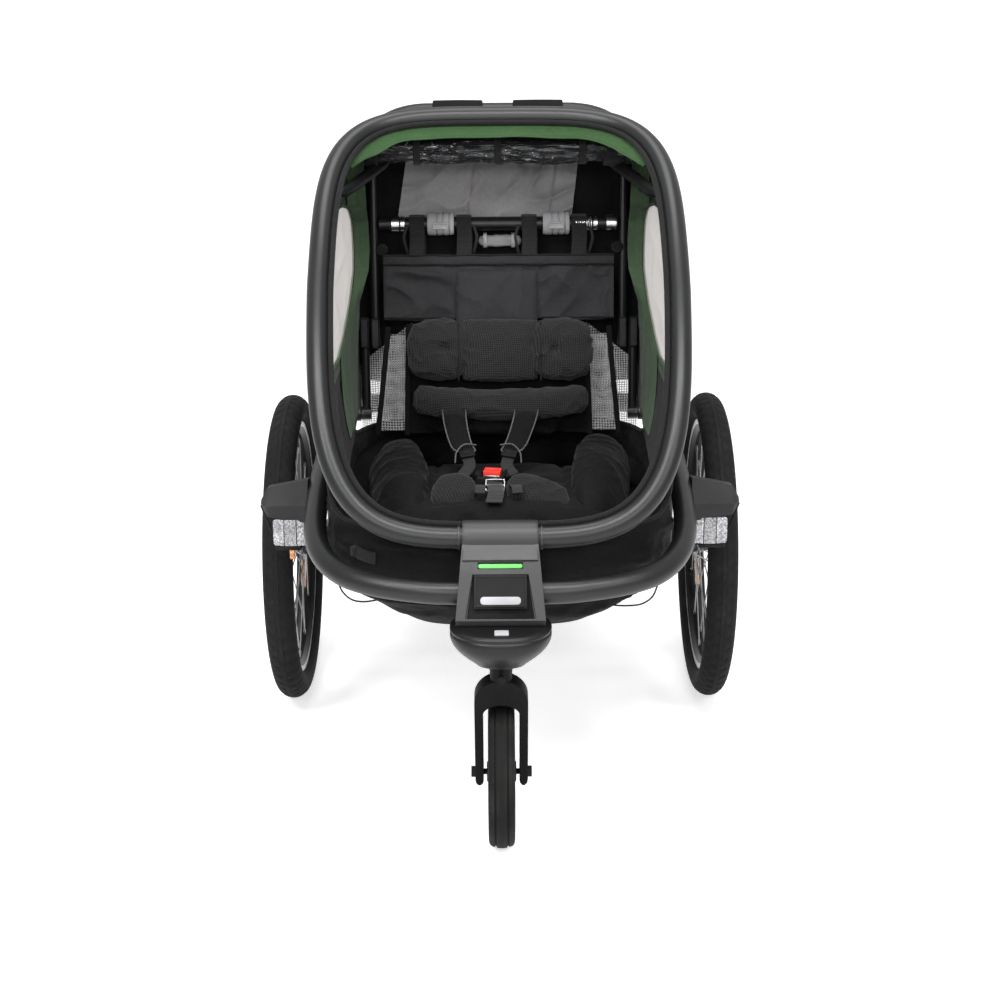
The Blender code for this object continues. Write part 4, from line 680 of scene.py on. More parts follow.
def air_mesh(name, thread, hole, pitch=0.003, open_share=0.34, see_through=False, roughness=0.85):
    material, nodes, shader = surface(name)
    net = from_group(nodes, AIR_MESH, Thread_Color=(*thread, 1), Hole_Color=(*hole, 1),
                     Pitch=pitch, Hole=open_share)
    nodes.feed(shader.inputs["Base Color"], net["Color"])
    set_shader(shader, Roughness=roughness, Sheen_Weight=0.08, Specular_IOR_Level=0.04)
    if see_through:
        nodes.feed(shader.inputs["Alpha"], net["Mask"])
    else:
        bumped(nodes, shader, net["Height"], 0.6, 0.0008)
    return material


def ribbed_webbing(name, color):
    """Narrow woven tape: ribs across it and a raised edge on each side."""
    material, nodes, shader = surface(name)
    woven = from_group(nodes, WEAVE, Color=(*color, 1), Thread=0.0016, Contrast=0.5, Mottle=0.2)
    nodes.feed(shader.inputs["Base Color"], woven["Color"])
    run = nodes.add("TexCoord").outputs["UV"]
    ribs = nodes.add("TexWave", {"Vector": run, "Scale": 22.0}, bands_direction="Y")
    bumped(nodes, shader, nodes.math("ADD", woven["Height"], ribs.outputs["Fac"]), 0.5, 0.0004)
    set_shader(shader, Roughness=0.7, Sheen_Weight=0.1, Specular_IOR_Level=0.04)
    return material


def clear_film(name, color, alpha, roughness, crinkle):
    """Soft see-through film with fine creases."""
    material, nodes, shader = surface(name)
    place = nodes.add("TexCoord").outputs["Object"]
    creases = nodes.add("TexNoise", {"Vector": place, "Scale": 26.0, "Detail": 5.0,
                                     "Distortion": 2.0})
    shade = nodes.spread(creases.outputs["Fac"], 0.3, 0.7, 0.98, 1.01)
    nodes.feed(shader.inputs["Base Color"], nodes.tinted((*color, 1), shade))
    nodes.feed(shader.inputs["Alpha"], nodes.spread(creases.outputs["Fac"], 0.25, 0.75,
                                                    alpha - 0.015, alpha + 0.015))
    bumped(nodes, shader, creases.outputs["Fac"], crinkle, 0.004)
    set_shader(shader, Roughness=roughness, Specular_IOR_Level=0.6, Coat_Weight=0.6,
               Coat_Roughness=0.08)
    return material


def creased_film(name, color, crease_highlight_color, alpha):
    """Thin clear film rolled up: dark where it is smooth, with milky lines along its long creases
    that are painted highlights, partly the film's own whitening.
    """
    material, nodes, shader = surface(name)
    place = nodes.add("TexCoord").outputs["Object"]
    long_way = nodes.add("VectorMath", {0: place, 1: (0.22, 1.5, 1.5)}, operation="MULTIPLY")
    highlight_lines = []
    for scale, width in ((18.0, 0.01), (40.0, 0.014)):
        cloud = nodes.add("TexNoise", {"Vector": long_way.outputs[0], "Scale": scale,
                                       "Detail": 1.0, "Distortion": 0.6})
        middle = nodes.math("ABSOLUTE", nodes.math("SUBTRACT", cloud.outputs["Fac"], 0.5))
        highlight_lines.append(nodes.spread(middle, 0.0, width, 1.0, 0.0))
    highlight_lines[1] = nodes.math("MULTIPLY", highlight_lines[1], 0.3)
    # Painted highlights: the film is paler and more opaque along its creases.
    highlight_mask = nodes.math("MAXIMUM", highlight_lines[0], highlight_lines[1])
    nodes.feed(shader.inputs["Base Color"], nodes.blend(highlight_mask, (*color, 1), (*crease_highlight_color, 1)))
    nodes.feed(shader.inputs["Alpha"], nodes.spread(highlight_mask, 0.0, 1.0, alpha, 0.95))
    bumped(nodes, shader, cloud.outputs["Fac"], 0.8, 0.006)
    set_shader(shader, Roughness=0.12, Specular_IOR_Level=0.5)
    return material


def reflector(name, color, glow, pitch=0.0032):
    """A prismatic reflector: rows of tiny prisms under a clear skin, each painted bright at its
    middle as a glint and dark at its edge as shade.
    """
    material, nodes, shader = surface(name)
    place = nodes.add("TexCoord").outputs["Object"]
    prisms = nodes.add("TexVoronoi", {"Vector": place, "Scale": 1 / pitch, "Randomness": 0.8},
                       feature="F1")
    cloud = nodes.add("TexNoise", {"Vector": place, "Scale": 60.0, "Detail": 3.0})
    # Painted glints and shade: each prism is brighter at its middle and darker towards its edge.
    prism_glint = nodes.spread(prisms.outputs["Distance"], 0.1, 0.75, 1.25, 0.35)
    prism_glint = nodes.math("MULTIPLY", prism_glint, nodes.spread(cloud.outputs["Fac"], 0.3, 0.7, 0.75, 1.1))
    nodes.feed(shader.inputs["Base Color"], nodes.tinted((*color, 1), prism_glint))
    bumped(nodes, shader, prisms.outputs["Distance"], 0.8, 0.001)
    set_shader(shader, Roughness=0.22, Coat_Weight=1.0, Coat_Roughness=0.05, Metallic=glow)
    return material


FRAME_PAINT = hard("frame_satin", (0.0045, 0.0047, 0.0051), (0.03, 0.03, 0.031), 0.38, 0.0,
                   0.0006, 0.2, 0.06, 0.00005, gloss=0.3)
BLACK_PLASTIC = hard("black_moulding", (0.0075, 0.0075, 0.008), (0.045, 0.045, 0.045), 0.5,
                     0.0, 0.001)
GUARD_PLASTIC = hard("guard_moulding", (0.03, 0.03, 0.031), (0.07, 0.07, 0.07), 0.55, 0.0, 0.0009)
BRACKET_PLASTIC = hard("bracket_moulding", (0.012, 0.012, 0.0125), (0.04, 0.04, 0.04), 0.47, 0.0,
                       0.0009, gloss=0.36)
DOCK_PLASTIC = hard("dock_moulding", (0.0045, 0.0045, 0.0049), (0.02, 0.02, 0.02), 0.36, 0.0,
                    0.0009, gloss=0.22)
GREY_PLASTIC = hard("grey_moulding", (0.4, 0.4, 0.41), (0.5, 0.5, 0.5), 0.42, 0.0, 0.001, 0.3)
LEVER_PLASTIC = hard("lever_moulding", (0.012, 0.012, 0.0125), (0.055, 0.055, 0.055), 0.48)
PALE_PLASTIC = hard("pale_moulding", (0.3, 0.3, 0.31), (0.4, 0.4, 0.4), 0.5, 0.0, 0.001, 0.15)
GREEN_PLASTIC = hard("green_moulding", (0.11, 0.5, 0.1), (0.3, 0.6, 0.3), 0.35, 0.0, 0.001, 0.15,
                     coat=0.3)
RED_PLASTIC = hard("red_moulding", (0.62, 0.035, 0.025), (0.7, 0.2, 0.15), 0.32, 0.0, 0.001, 0.2,
                   coat=0.4)
FORK_PAINT = hard("fork_satin", (0.005, 0.0051, 0.0055), (0.03, 0.03, 0.03), 0.45, 0.0, 0.0006, 0.3,
                  0.06, 0.00005)
DARK_STEEL = hard("dark_steel", (0.1, 0.1, 0.105), (0.3, 0.3, 0.3), 0.35, 0.9, 0.0005, 0.4, 0.1,
                  0.00004)
BRIGHT_STEEL = hard("bright_steel", (0.55, 0.55, 0.56), (0.7, 0.7, 0.7), 0.26, 1.0, 0.0004, 0.3,
                    0.12, 0.00003)
SPOKE_STEEL = hard("spoke_steel", (0.22, 0.22, 0.225), (0.4, 0.4, 0.4), 0.3, 0.9, 0.0005, 0.4, 0.1,
                   0.00004)
RIM_BLACK = hard("rim_black", (0.01, 0.01, 0.0105), (0.1, 0.1, 0.1), 0.3, 0.2, 0.0005, 0.5, 0.08,
                 0.00003)
RIM_WALL = hard("rim_machined", (0.42, 0.42, 0.43), (0.6, 0.6, 0.6), 0.3, 0.9, 0.0004, 0.3, 0.15,
                0.00004)
RUBBER = hard("tyre_rubber", (0.013, 0.013, 0.0135), (0.045, 0.044, 0.043), 0.72, 0.0, 0.0007, 0.5,
              0.14, 0.0002)
SMALL_RUBBER = hard("small_tyre_rubber", (0.0095, 0.0094, 0.0092), (0.05, 0.048, 0.046), 0.68, 0.0,
                    0.0008, 0.5, 0.14, 0.0002)
# A near-black finish for the sheet in the lever pocket: painted shade.
POCKET_PAINTED_SHADE = hard("pocket_painted_shade", (0.004, 0.004, 0.004), (0.03, 0.03, 0.03), 0.6, 0.0, 0.001, 0.2)
FOAM = hard("grip_foam", (0.01, 0.01, 0.01), (0.035, 0.035, 0.035), 0.9, 0.0, 0.0016, 0.4, 0.1,
            0.0006, strength=0.8)
CORD = hard("elastic_cord", (0.018, 0.018, 0.018), (0.06, 0.06, 0.06), 0.8, 0.0, 0.0012, 0.4, 0.1,
            0.0004, strength=0.8)
BLACK_FABRIC = fabric("black_cloth", (0.0075, 0.0075, 0.008))
BACK_FABRIC = fabric("back_cloth", (0.0055, 0.0055, 0.006), roughness=0.62, sheen=0.2, fold=0.5,
                     fold_size=0.05)
SEAT_FABRIC = fabric("seat_cloth", (0.0062, 0.0062, 0.0066), roughness=0.82, sheen=0.12, fold=0.5,
                     fold_size=0.035)
PANEL_FABRIC = fabric("panel_cloth", (0.021, 0.021, 0.0225), roughness=0.55, sheen=0.2, fold=0.55,
                      fold_size=0.06)
SKIRT_FABRIC = fabric("skirt_cloth", (0.008, 0.008, 0.0085), roughness=0.66, sheen=0.08, fold=0.55,
                      fold_size=0.05)
# The canopy and the valance are one green cloth in two copies: the valance's copy is painted
# darker, as painted shade against the strong lamp above it.
GREEN_FABRIC = fabric("green_cloth", (0.046, 0.074, 0.042), roughness=0.72, sheen=0.3, fold=0.45,
                      fold_size=0.07)
VALANCE_GREEN_PAINTED_DARKER = fabric("valance_green_painted_darker", (0.026, 0.055, 0.022), roughness=0.72, sheen=0.3,
                        fold=0.45, fold_size=0.05)
GREY_FLAP = fabric("grey_flap_cloth", (0.23, 0.225, 0.228), roughness=0.48, sheen=0.1, fold=0.7,
                   fold_size=0.07, contrast=0.15)
BINDING = fabric("binding_tape", (0.012, 0.012, 0.012), 0.0014, 0.8, 0.3, 0.5)
PAD_MESH = air_mesh("pad_air_mesh", (0.017, 0.017, 0.0175), (0.003, 0.003, 0.003), 0.0042)
FINE_MESH = air_mesh("fine_air_mesh", (0.024, 0.024, 0.025), (0.002, 0.002, 0.002), 0.0036, 0.32)
SIDE_MESH = air_mesh("side_net", (0.24, 0.24, 0.24), (0, 0, 0), 0.0046, 0.36, True)
OUTER_NET = air_mesh("outer_net", (0.72, 0.72, 0.72), (0, 0, 0), 0.004, 0.42, True)
WEBBING = ribbed_webbing("black_webbing", (0.017, 0.017, 0.017))
WINDOW_FILM = clear_film("window_film", (0.98, 0.9, 0.86), 0.5, 0.3, 0.1)
# The rolled film's pale crease colour is a painted highlight.
ROLL_FILM = creased_film("rolled_film", (0.03, 0.031, 0.033), (0.34, 0.35, 0.36), 0.5)
PIPING = fabric("pale_piping", (0.075, 0.075, 0.078), 0.001, 0.7, 0.1)
SILVER_REFLECTOR = reflector("silver_reflector", (0.4, 0.4, 0.42), 0.15)
# The middle lens's finish: the silver reflector painted darker, as painted shade.
MIDDLE_REFLECTOR_PAINTED_DARKER = reflector("middle_reflector_painted_darker", (0.27, 0.27, 0.28), 0.15)
ORANGE_REFLECTOR = reflector("orange_reflector", (1.0, 0.33, 0.01), 0.0)


# Places and settled pieces


def at(x, y, z):
    """A place in the frame from one drawn with the rear axle at y = 0."""
    return Vector((x, y + SHIFT_Y, z))


def bend_cover(piece):
    """Put a cover piece's place into its mesh."""
    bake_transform(piece)


def fold_flat(piece):
    """Give a hanging piece its own copy of its mesh."""
    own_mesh(piece)


# Tubes

HOOP_HALF_WIDTH, HOOP_TUBE = 0.251, 0.015
HOOP_FOOT, HOOP_TOP = (-0.551, 0.433), (-0.06, 0.948)
HOOP_HALF_ARC = math.radians(20.0)
HOOP_CHORD = math.hypot(HOOP_TOP[0] - HOOP_FOOT[0], HOOP_TOP[1] - HOOP_FOOT[1])
HOOP_CHORD_ANGLE = math.atan2(HOOP_TOP[1] - HOOP_FOOT[1], HOOP_TOP[0] - HOOP_FOOT[0])
HOOP_ARC_RADIUS = HOOP_CHORD / 2 / math.sin(HOOP_HALF_ARC)
HOOP_LENGTH = 2 * HOOP_ARC_RADIUS * HOOP_HALF_ARC
RAIL_X, RAIL_Z, PIVOT_Y = 0.182, 0.874, 0.168


def hoop_profile(along):
    """The side view's place and inward normal at a length along the hoop's arc."""
    start = HOOP_CHORD_ANGLE + HOOP_HALF_ARC
    heading = start - along / HOOP_ARC_RADIUS
    y = HOOP_FOOT[0] + HOOP_ARC_RADIUS * (math.sin(start) - math.sin(heading))
    z = HOOP_FOOT[1] + HOOP_ARC_RADIUS * (math.cos(heading) - math.cos(start))
    return y, z, (math.sin(heading), -math.cos(heading))


def hoop_outline(angle):
    """The hoop's flat outline: x, and length along the arc from its foot."""
    c, s = math.sin(angle), -math.cos(angle)
    x = HOOP_HALF_WIDTH * bulge(c, 0.5)
    up = bulge(s, 0.5)
    return x * (1 - 0.045 * max(-up, 0.0)), HOOP_LENGTH / 2 * (1 + up)


def hoop_point(angle, inset=0.0, behind=0.0):
    """A point of the hoop; inset moves it inwards, behind moves it back."""
    step = 1e-3
    x0, s0 = hoop_outline(angle - step)
    x1, s1 = hoop_outline(angle + step)
    x, s = hoop_outline(angle)
    length = math.hypot(x1 - x0, s1 - s0)
    x -= inset * (s1 - s0) / length
    s += inset * (x1 - x0) / length
    y, z, normal = hoop_profile(s)
    return Vector((x, y + behind * normal[0], z + behind * normal[1]))


def even_angles(edge, start, end, count):
    """Angles between two given ones that lie at even lengths along an edge."""
    fine = np.linspace(start, end, 900)
    places = [edge(a) for a in fine]
    lengths = np.cumsum([0.0] + [(q - p).length for p, q in zip(places, places[1:])])
    return [float(a) for a in np.interp(np.linspace(0, lengths[-1], count), lengths, fine)]


HOOP_ANGLES = even_angles(hoop_point, 0.0021, 2 * math.pi + 0.0021, 241)[:-1]


def make_hoop():
    """The upper hoop, its two rails and the hubs that carry the push handle."""
    pieces = [bar("upper_hoop_tube", [hoop_point(a) for a in HOOP_ANGLES], HOOP_TUBE, True, 10)]
    for name, side in SIDES:
        corner = min(HOOP_ANGLES, key=lambda a: abs(hoop_point(a)[2] - 0.862)
                     + (1.0 if hoop_point(a)[0] * side < 0 else 0.0))
        route = [hoop_point(corner), hoop_point(corner, 0.018, 0.015),
                 (side * 0.205, -0.08, RAIL_Z - 0.016), (side * RAIL_X, 0.02, RAIL_Z - 0.003),
                 (side * RAIL_X, 0.09, RAIL_Z), (side * RAIL_X, PIVOT_Y, RAIL_Z)]
        pieces.append(bar("upper_rail_" + name, through(route, 10), 0.009, sides=8))
        hub = rod("upper_hub_" + name, 0.024, 0.019, (side * RAIL_X, PIVOT_Y, RAIL_Z), sides=56)
        press(hub, lambda c, n: abs(n.x) > 0.9, (0.004, 0), (0.0015, 0.0015), each=True)
        round_edges(hub, 0.0012, 2)
        pin = rod("upper_pin_" + name, 0.0045, 0.024, (side * (RAIL_X + 0.011), 0.11, RAIL_Z))
        round_edges(pin, 0.0008, 2)
        pieces += [hub, pin]
    return dress(join("hoop_tube", pieces), FRAME_PAINT, "hoop",
                 "upper_hoop", 45)


def make_lip():
    """The piped edge sewn round inside the hoop."""
    lip = bar("hoop_piping", [hoop_point(a, 0.0181) for a in HOOP_ANGLES], 0.0041, True, 6)
    dress(lip, BINDING, "hoop", "hoop_lip", 35)


def make_lower_frame():
    """The lower tube's closed loop with its lugs, pins and the legs of the axle beam."""
    half = [(0.02, -0.575, 0.365), (0.062, -0.575, 0.365), (0.105, -0.5715, 0.366),
            (0.166, -0.556, 0.37), (0.21, -0.531, 0.376), (0.24, -0.49, 0.386),
            (0.257, -0.433, 0.4), (0.263, -0.35, 0.421), (0.263, -0.24, 0.446),
            (0.263, -0.12, 0.455), (0.263, 0.02, 0.455), (0.262, 0.085, 0.455),
            (0.243, 0.14, 0.455), (0.195, 0.163, 0.455), (0.1, 0.165, 0.455)]
    loop = half + [(-x, y, z) for x, y, z in reversed(half)]
    pieces = [bar("lower_tube", through(loop, 8, True), 0.016, True, 10)]
    for name, side in SIDES:
        lug = rod("lower_lug_" + name, 0.013, 0.032, (side * 0.2468, 0.085, 0.455))
        round_edges(lug, 0.001, 2)
        pin = rod("lower_pin_" + name, 0.0045, 0.021, (side * 0.2243, 0.085, 0.455))
        leg = bar("lower_leg_" + name, [(side * 0.262, -0.11, 0.449),
                                        (side * 0.262, -0.11, 0.2783)],
                  0.011, sides=8)
        pieces += [lug, pin, leg]
    dress(join("lower_tubes", pieces), FRAME_PAINT, nodes="lower_frame",
          angle=45)


def make_handle():
    """The push handle: a tube bent to a U, its side hubs and the two foam grips."""
    rise = 0.0615 / 0.15
    leg_x = 0.2049
    half = [(leg_x, 0.0)]
    for k in range(13):
        angle = math.pi / 2 * k / 12
        half.append((leg_x - 0.085 * (1 - math.cos(angle)), 0.065 + 0.085 * math.sin(angle)))
    route = [(x, PIVOT_Y + reach, RAIL_Z + reach * rise) for x, reach in half]
    route = [(-x, y, z) for x, y, z in route] + route[::-1]
    pieces = [bar("push_tube", route, 0.0125, sides=10)]
    for name, side in SIDES:
        hub = rod("push_hub_" + name, 0.024, 0.019, (side * 0.2016, PIVOT_Y, RAIL_Z), sides=56)
        press(hub, lambda c, n: n.x * side > 0.9, (0.005, 0), (0.0015, 0.002), each=True)
        round_edges(hub, 0.0012, 2)
        pieces.append(hub)
    dress(join("push_bar", pieces), FRAME_PAINT, "handle", "push_handle", 45)
    end_y, end_z = PIVOT_Y + 0.15, RAIL_Z + 0.0615
    for name, side in SIDES:
        profile = [(0.0128, 0.026), (0.015, 0.026)]
        for k in range(21):
            share = k / 20
            profile.append((0.017 + 0.0005 * math.sin(math.pi * share), 0.0275 + 0.083 * share))
        profile += [(0.015, 0.112), (0.0128, 0.112)]
        grip = spin_profile("foam_grip_" + name, [(r, side * a) for r, a in profile],
                            (0, end_y, end_z), "X", 40)
        round_edges(grip, 0.0008, 2)
        dress(grip, FOAM, "handle", "handle_grip_" + name, 35)


make_hoop()
make_lip()
make_lower_frame()
make_handle()


# Rear wheels

WHEEL_X, WHEEL_Z = 0.34, 0.25
SPOKE_COUNT, SPOKE_TURN = 28, math.radians(50)
RIM_RADIUS = 0.2074


def to_wheel(piece, side):
    """Move a piece drawn round the origin to a rear wheel's centre."""
    carry(piece, (side * WHEEL_X, 0, WHEEL_Z))


def make_tyre(name, side):
    """A block-tread tyre: two grooves run round it, and short cuts run across."""
    half, middle = 0.0235, WHEEL_Z - 0.0235
    arc = []
    for degrees in (-128, -112, -96, -80, -66, -54, -45, -41, -37.5, -33, -22, -11, -8.5, -6,
                    6, 8.5, 11, 22, 33, 37.5, 41, 45, 54, 66, 80, 96, 112, 128):
        angle = math.radians(degrees)
        groove = 0.0007 if 37 < abs(degrees) < 42 or 8 < abs(degrees) < 9 else 0.0
        arc.append((middle + (half - groove) * math.cos(angle), (half - groove) * math.sin(angle)))
    profile = arc + [(RIM_RADIUS + 0.0003, 0.012), (RIM_RADIUS + 0.0003, -0.012)]
    steps = 264
    tyre = spin_profile("tyre_rubber_" + name, profile, (0, 0, 0), "X", steps)
    for corner in tyre.data.vertices:
        x, y, z = corner.co
        radius = math.hypot(y, z)
        around = math.degrees(math.atan2(x, radius - middle))
        step = round(math.atan2(z, y) / (2 * math.pi) * steps)
        zone = abs(around)
        shift = 2 if around > 0 else 0
        cut = (10.5 < zone < 34 and (step + shift) % 4 == 0) or (44 < zone < 67 and step % 4 == 2)
        if cut:
            corner.co.y *= 1 - 0.0026 / radius
            corner.co.z *= 1 - 0.0026 / radius
    to_wheel(tyre, side)
    dress(tyre, RUBBER, "wheel_" + name, "tyre_" + name, 32)


def make_rim(name, side):
    """A hollow-section rim with a braking wall on each side, and its valve."""
    inner, half = RIM_RADIUS - 0.018, 0.013
    profile = [(RIM_RADIUS, half - 0.0012), (RIM_RADIUS - 0.001, half),
               (RIM_RADIUS - 0.0095, half - 0.0002), (RIM_RADIUS - 0.0105, half - 0.0014),
               (inner + 0.004, half - 0.0036), (inner + 0.0006, 0.0058), (inner, 0.003)]
    rim = spin_profile("wheel_rim_" + name, both_ways(profile), (side * WHEEL_X, 0, WHEEL_Z),
                       "X", 144)
    valve = rod("rim_valve_" + name, 0.003, 0.032, (0, 0, 0), "Z", 20)
    pick(valve, "FACE", lambda at, n: n.z > 0.9)
    bpy.ops.mesh.inset(thickness=0.0008)
    bpy.ops.mesh.extrude_region_move(TRANSFORM_OT_translate={"value": (0, 0, 0.006)})
    leave()
    turn_about(valve, math.pi, "X", put_at=(side * WHEEL_X, 0, WHEEL_Z + inner - 0.012))
    smooth(valve, 40)
    rim = join("wheel_rim_" + name, [rim, valve])
    paint(rim, RIM_BLACK, RIM_WALL)
    for face in rim.data.polygons:
        across = face.center - Vector((side * WHEEL_X, 0, WHEEL_Z))
        radius = math.hypot(across.y, across.z)
        face.material_index = int(radius > inner + 0.0085 and abs(across.x) > 0.012)
    dress(rim, None, "wheel_" + name, "rim_" + name, 28)


def make_spokes(name, side):
    """The hub, turned from one bar, and 28 crossed spokes with their nipples."""
    half, flange, bore = 0.025, 0.013, 0.0066
    profile = [(bore, -half), (0.012, -half), (0.014, -half + 0.002), (0.014, -flange - 0.004),
               (0.024, -flange - 0.0018), (0.0245, -flange), (0.024, -flange + 0.0018),
               (0.015, -flange + 0.0045)]
    profile = both_ways(profile, (0.0118, -0.004), (0.0118, 0.004))
    hub = spin_profile("hub_" + name, profile, (0, 0, 0), "X", 48)
    reach = RIM_RADIUS - 0.018 + 0.0004
    wires = []
    for k in range(SPOKE_COUNT):
        cheek = 1 if k % 2 == 0 else -1
        lean = 1 if (k // 2) % 2 == 0 else -1
        rim_angle = 2 * math.pi * (k + 0.5) / SPOKE_COUNT
        hub_angle = rim_angle + lean * SPOKE_TURN
        hub_x = cheek * (flange + lean * 0.0018)
        a = Vector((hub_x, 0.0212 * math.cos(hub_angle), 0.0212 * math.sin(hub_angle)))
        b = Vector((cheek * 0.0028, reach * math.cos(rim_angle), reach * math.sin(rim_angle)))
        way = (b - a).normalized()
        wires.append(bar("spoke", [a, a.lerp(b, 0.5), b], 0.00105, sides=2))
        wires.append(rod("nipple", 0.002, 0.011, b - way * 0.0055, way, 10, 0.0017))
        wires.append(rod("spoke_head", 0.0021, 0.0016, a + Vector((lean * cheek * 0.0006, 0, 0)),
                         "X", 10))
    wires = join("spokes_" + name, wires)
    for piece, finish, angle in ((hub, DARK_STEEL, 35), (wires, SPOKE_STEEL, 45)):
        to_wheel(piece, side)
        dress(piece, finish, "wheel_" + name, "hub_and_spokes_" + name, angle)


for name, side in SIDES:
    make_tyre(name, side)
    make_rim(name, side)
    make_spokes(name, side)


# Canopy: one sheet from the hoop back to a tall arch, with a window cut in each side

CANOPY_ROUND, CANOPY_BACK = 200, 56
CANOPY_REAR_Y, ARCH_HALF, ARCH_TOP, ARCH_FOOT = 0.135, 0.235, 0.922, 0.472
CANOPY_START = math.radians(44.0)


def canopy_front(angle):
    """The canopy's front edge, just behind the hoop's tube."""
    return hoop_point(angle, -0.007, HOOP_TUBE + 0.0005)


def canopy_rear(angle):
    """The canopy's rear edge: a tall arch, straight down at its feet."""
    c, s = math.sin(angle), -math.cos(angle)
    middle = (ARCH_FOOT + ARCH_TOP) / 2
    if s < 0:
        drop = (middle - ARCH_FOOT) * s / math.cos(CANOPY_START)
        return Vector((math.copysign(ARCH_HALF, c), CANOPY_REAR_Y, middle + drop))
    power = 2 / 9
    return Vector((ARCH_HALF * bulge(c, power), CANOPY_REAR_Y,
                   middle + (ARCH_TOP - middle) * abs(s) ** power))


CANOPY_FRONTS = even_angles(canopy_front, CANOPY_START, 2 * math.pi - CANOPY_START,
                            CANOPY_ROUND + 1)
CANOPY_REARS = even_angles(canopy_rear, CANOPY_START, 2 * math.pi - CANOPY_START,
                           CANOPY_ROUND + 1)
FRONT_LINE = [canopy_front(a) for a in CANOPY_FRONTS]
REAR_LINE = [canopy_rear(a) for a in CANOPY_REARS]


def canopy_place(across, along):
    """A point of the canopy; the cloth between its two edges stands a little proud."""
    spot = between(FRONT_LINE, across, 1e-6).lerp(between(REAR_LINE, across, 1e-6), along)
    out = Vector((spot.x, 0, spot.z - 0.68)).normalized()
    full = math.sin(math.pi * along) * 0.004
    return spot + out * (full - 0.0012)


# Where the window's rear edge lies at each height: (z, share of the way back)
WINDOW_REAR = ((0.592, 0.46), (0.598, 0.53), (0.614, 0.64), (0.646, 0.775), (0.672, 0.85),
               (0.697, 0.9), (0.725, 0.91), (0.751, 0.9), (0.775, 0.875), (0.796, 0.81),
               (0.808, 0.7), (0.813, 0.55))


def window_rear(z):
    return read(WINDOW_REAR, z)


def in_window(z, along, margin=0.0):
    return (0.594 - margin * 0.5 < z < 0.8115 + margin * 0.5
            and 0.095 - margin < along < window_rear(z) + margin)


def make_canopy():
    """The canopy cloth; its lower band is black, the rest green."""
    sheet = cloth("canopy_cloth", CANOPY_ROUND, CANOPY_BACK, canopy_place)
    mesh = sheet.data
    columns = CANOPY_ROUND + 1
    for k, corner in enumerate(mesh.vertices):
        along = (k // columns) / CANOPY_BACK
        share = math.sin(math.pi * min(along * 1.2, 1.0))
        soft = crease(corner.co, 0.11, 3, (1, 0.5, 1)) - 0.6
        out = Vector((corner.co.x, 0, (corner.co.z - 0.68) * 0.8)).normalized()
        near = in_window(corner.co.z, along, 0.05)
        corner.co += out * soft * share * (0.0012 if near else 0.004)
    drop = []
    for face in mesh.polygons:
        places = [k // columns / CANOPY_BACK for k in face.vertices]
        along = sum(places) / len(places)
        z = face.center.z
        if abs(face.center.x) > 0.2 and in_window(z, along):
            drop.append(face.index)
    only(sheet)
    work = bmesh.new()
    work.from_mesh(mesh)
    work.faces.ensure_lookup_table()
    bmesh.ops.delete(work, geom=[work.faces[k] for k in drop], context="FACES")
    bmesh.ops.bisect_plane(work, geom=work.verts[:] + work.edges[:] + work.faces[:],
                           plane_co=(0, -0.15, 0.575), plane_no=(0, -0.05, 1))
    rim = [v for v in work.verts if any(len(e.link_faces) == 1 for e in v.link_edges)
           and abs(v.co.x) > 0.2 and 0.58 < v.co.z < 0.83 and -0.4 < v.co.y < 0.12]
    for _ in range(4):
        moved = {}
        for v in rim:
            beside = [e.other_vert(v) for e in v.link_edges if len(e.link_faces) == 1]
            if len(beside) == 2:
                moved[v] = v.co * 0.4 + (beside[0].co + beside[1].co) * 0.3
        for v, spot in moved.items():
            v.co = spot
    work.to_mesh(mesh)
    work.free()
    thicken(sheet, 0.0018)
    outward(sheet)
    paint(sheet, GREEN_FABRIC, BLACK_FABRIC)
    for face in mesh.polygons:
        low = face.center.z < 0.575 + 0.05 * (face.center.y + 0.15)
        face.material_index = int(low and abs(face.center.x) > 0.15)
    dress(sheet, None, None, "canopy", 40)
    bend_cover(sheet)


def window_outline(side):
    """The window's edge on the canopy: up the front, back along the rear curve."""
    spots = []
    heights = [0.5955 + 0.2155 * k / 24 for k in range(25)]
    for z in heights:
        spots.append((z, 0.1))
    for z in reversed(heights):
        spots.append((z, window_rear(z)))
    return [window_spot(z, along, side) for z, along in spots]


def window_spot(z, along, side):
    """The place on the canopy's side at a height and a share of the way back."""
    low, high = 0.0, 0.42
    for _ in range(26):
        middle = (low + high) / 2
        if canopy_place(middle, along).z < z:
            low = middle
        else:
            high = middle
    spot = canopy_place(low, along)
    return Vector((side * abs(spot.x), spot.y, spot.z))


def make_windows():
    """The soft panes, each with a taped edge."""
    for name, side in SIDES:
        def place(across, along):
            z = 0.5935 + 0.2185 * across
            back = 0.085 + (window_rear(z) + 0.012 - 0.085) * along
            spot = window_spot(z, back, side)
            wave = crease(spot, 0.075, 11, (1, 0.6, 1)) - 0.6
            return spot - Vector((side, 0, 0)) * (0.002 + 0.0025 * wave * math.sin(math.pi * along))

        pane = sewn("side_pane_" + name, 44, 60, place, 0.0006)
        dress(pane, WINDOW_FILM, None, "side_window_" + name)
        bend_cover(pane)
        edge = window_outline(side)
        tape = bar("window_tape_" + name, edge, 0.0032, True, 3)
        carry(tape, (-side * 0.0015, 0, 0))
        dress(tape, GREEN_FABRIC, None)
        bend_cover(tape)


# Inner edge of the green lining: (z, how far out it lies)
LINING_EDGE = ((0.482, 0.2335), (0.52, 0.233), (0.549, 0.232), (0.612, 0.229), (0.648, 0.2265),
               (0.665, 0.2205), (0.694, 0.212), (0.73, 0.2098), (0.81, 0.2114), (0.865, 0.2134),
               (0.905, 0.205))


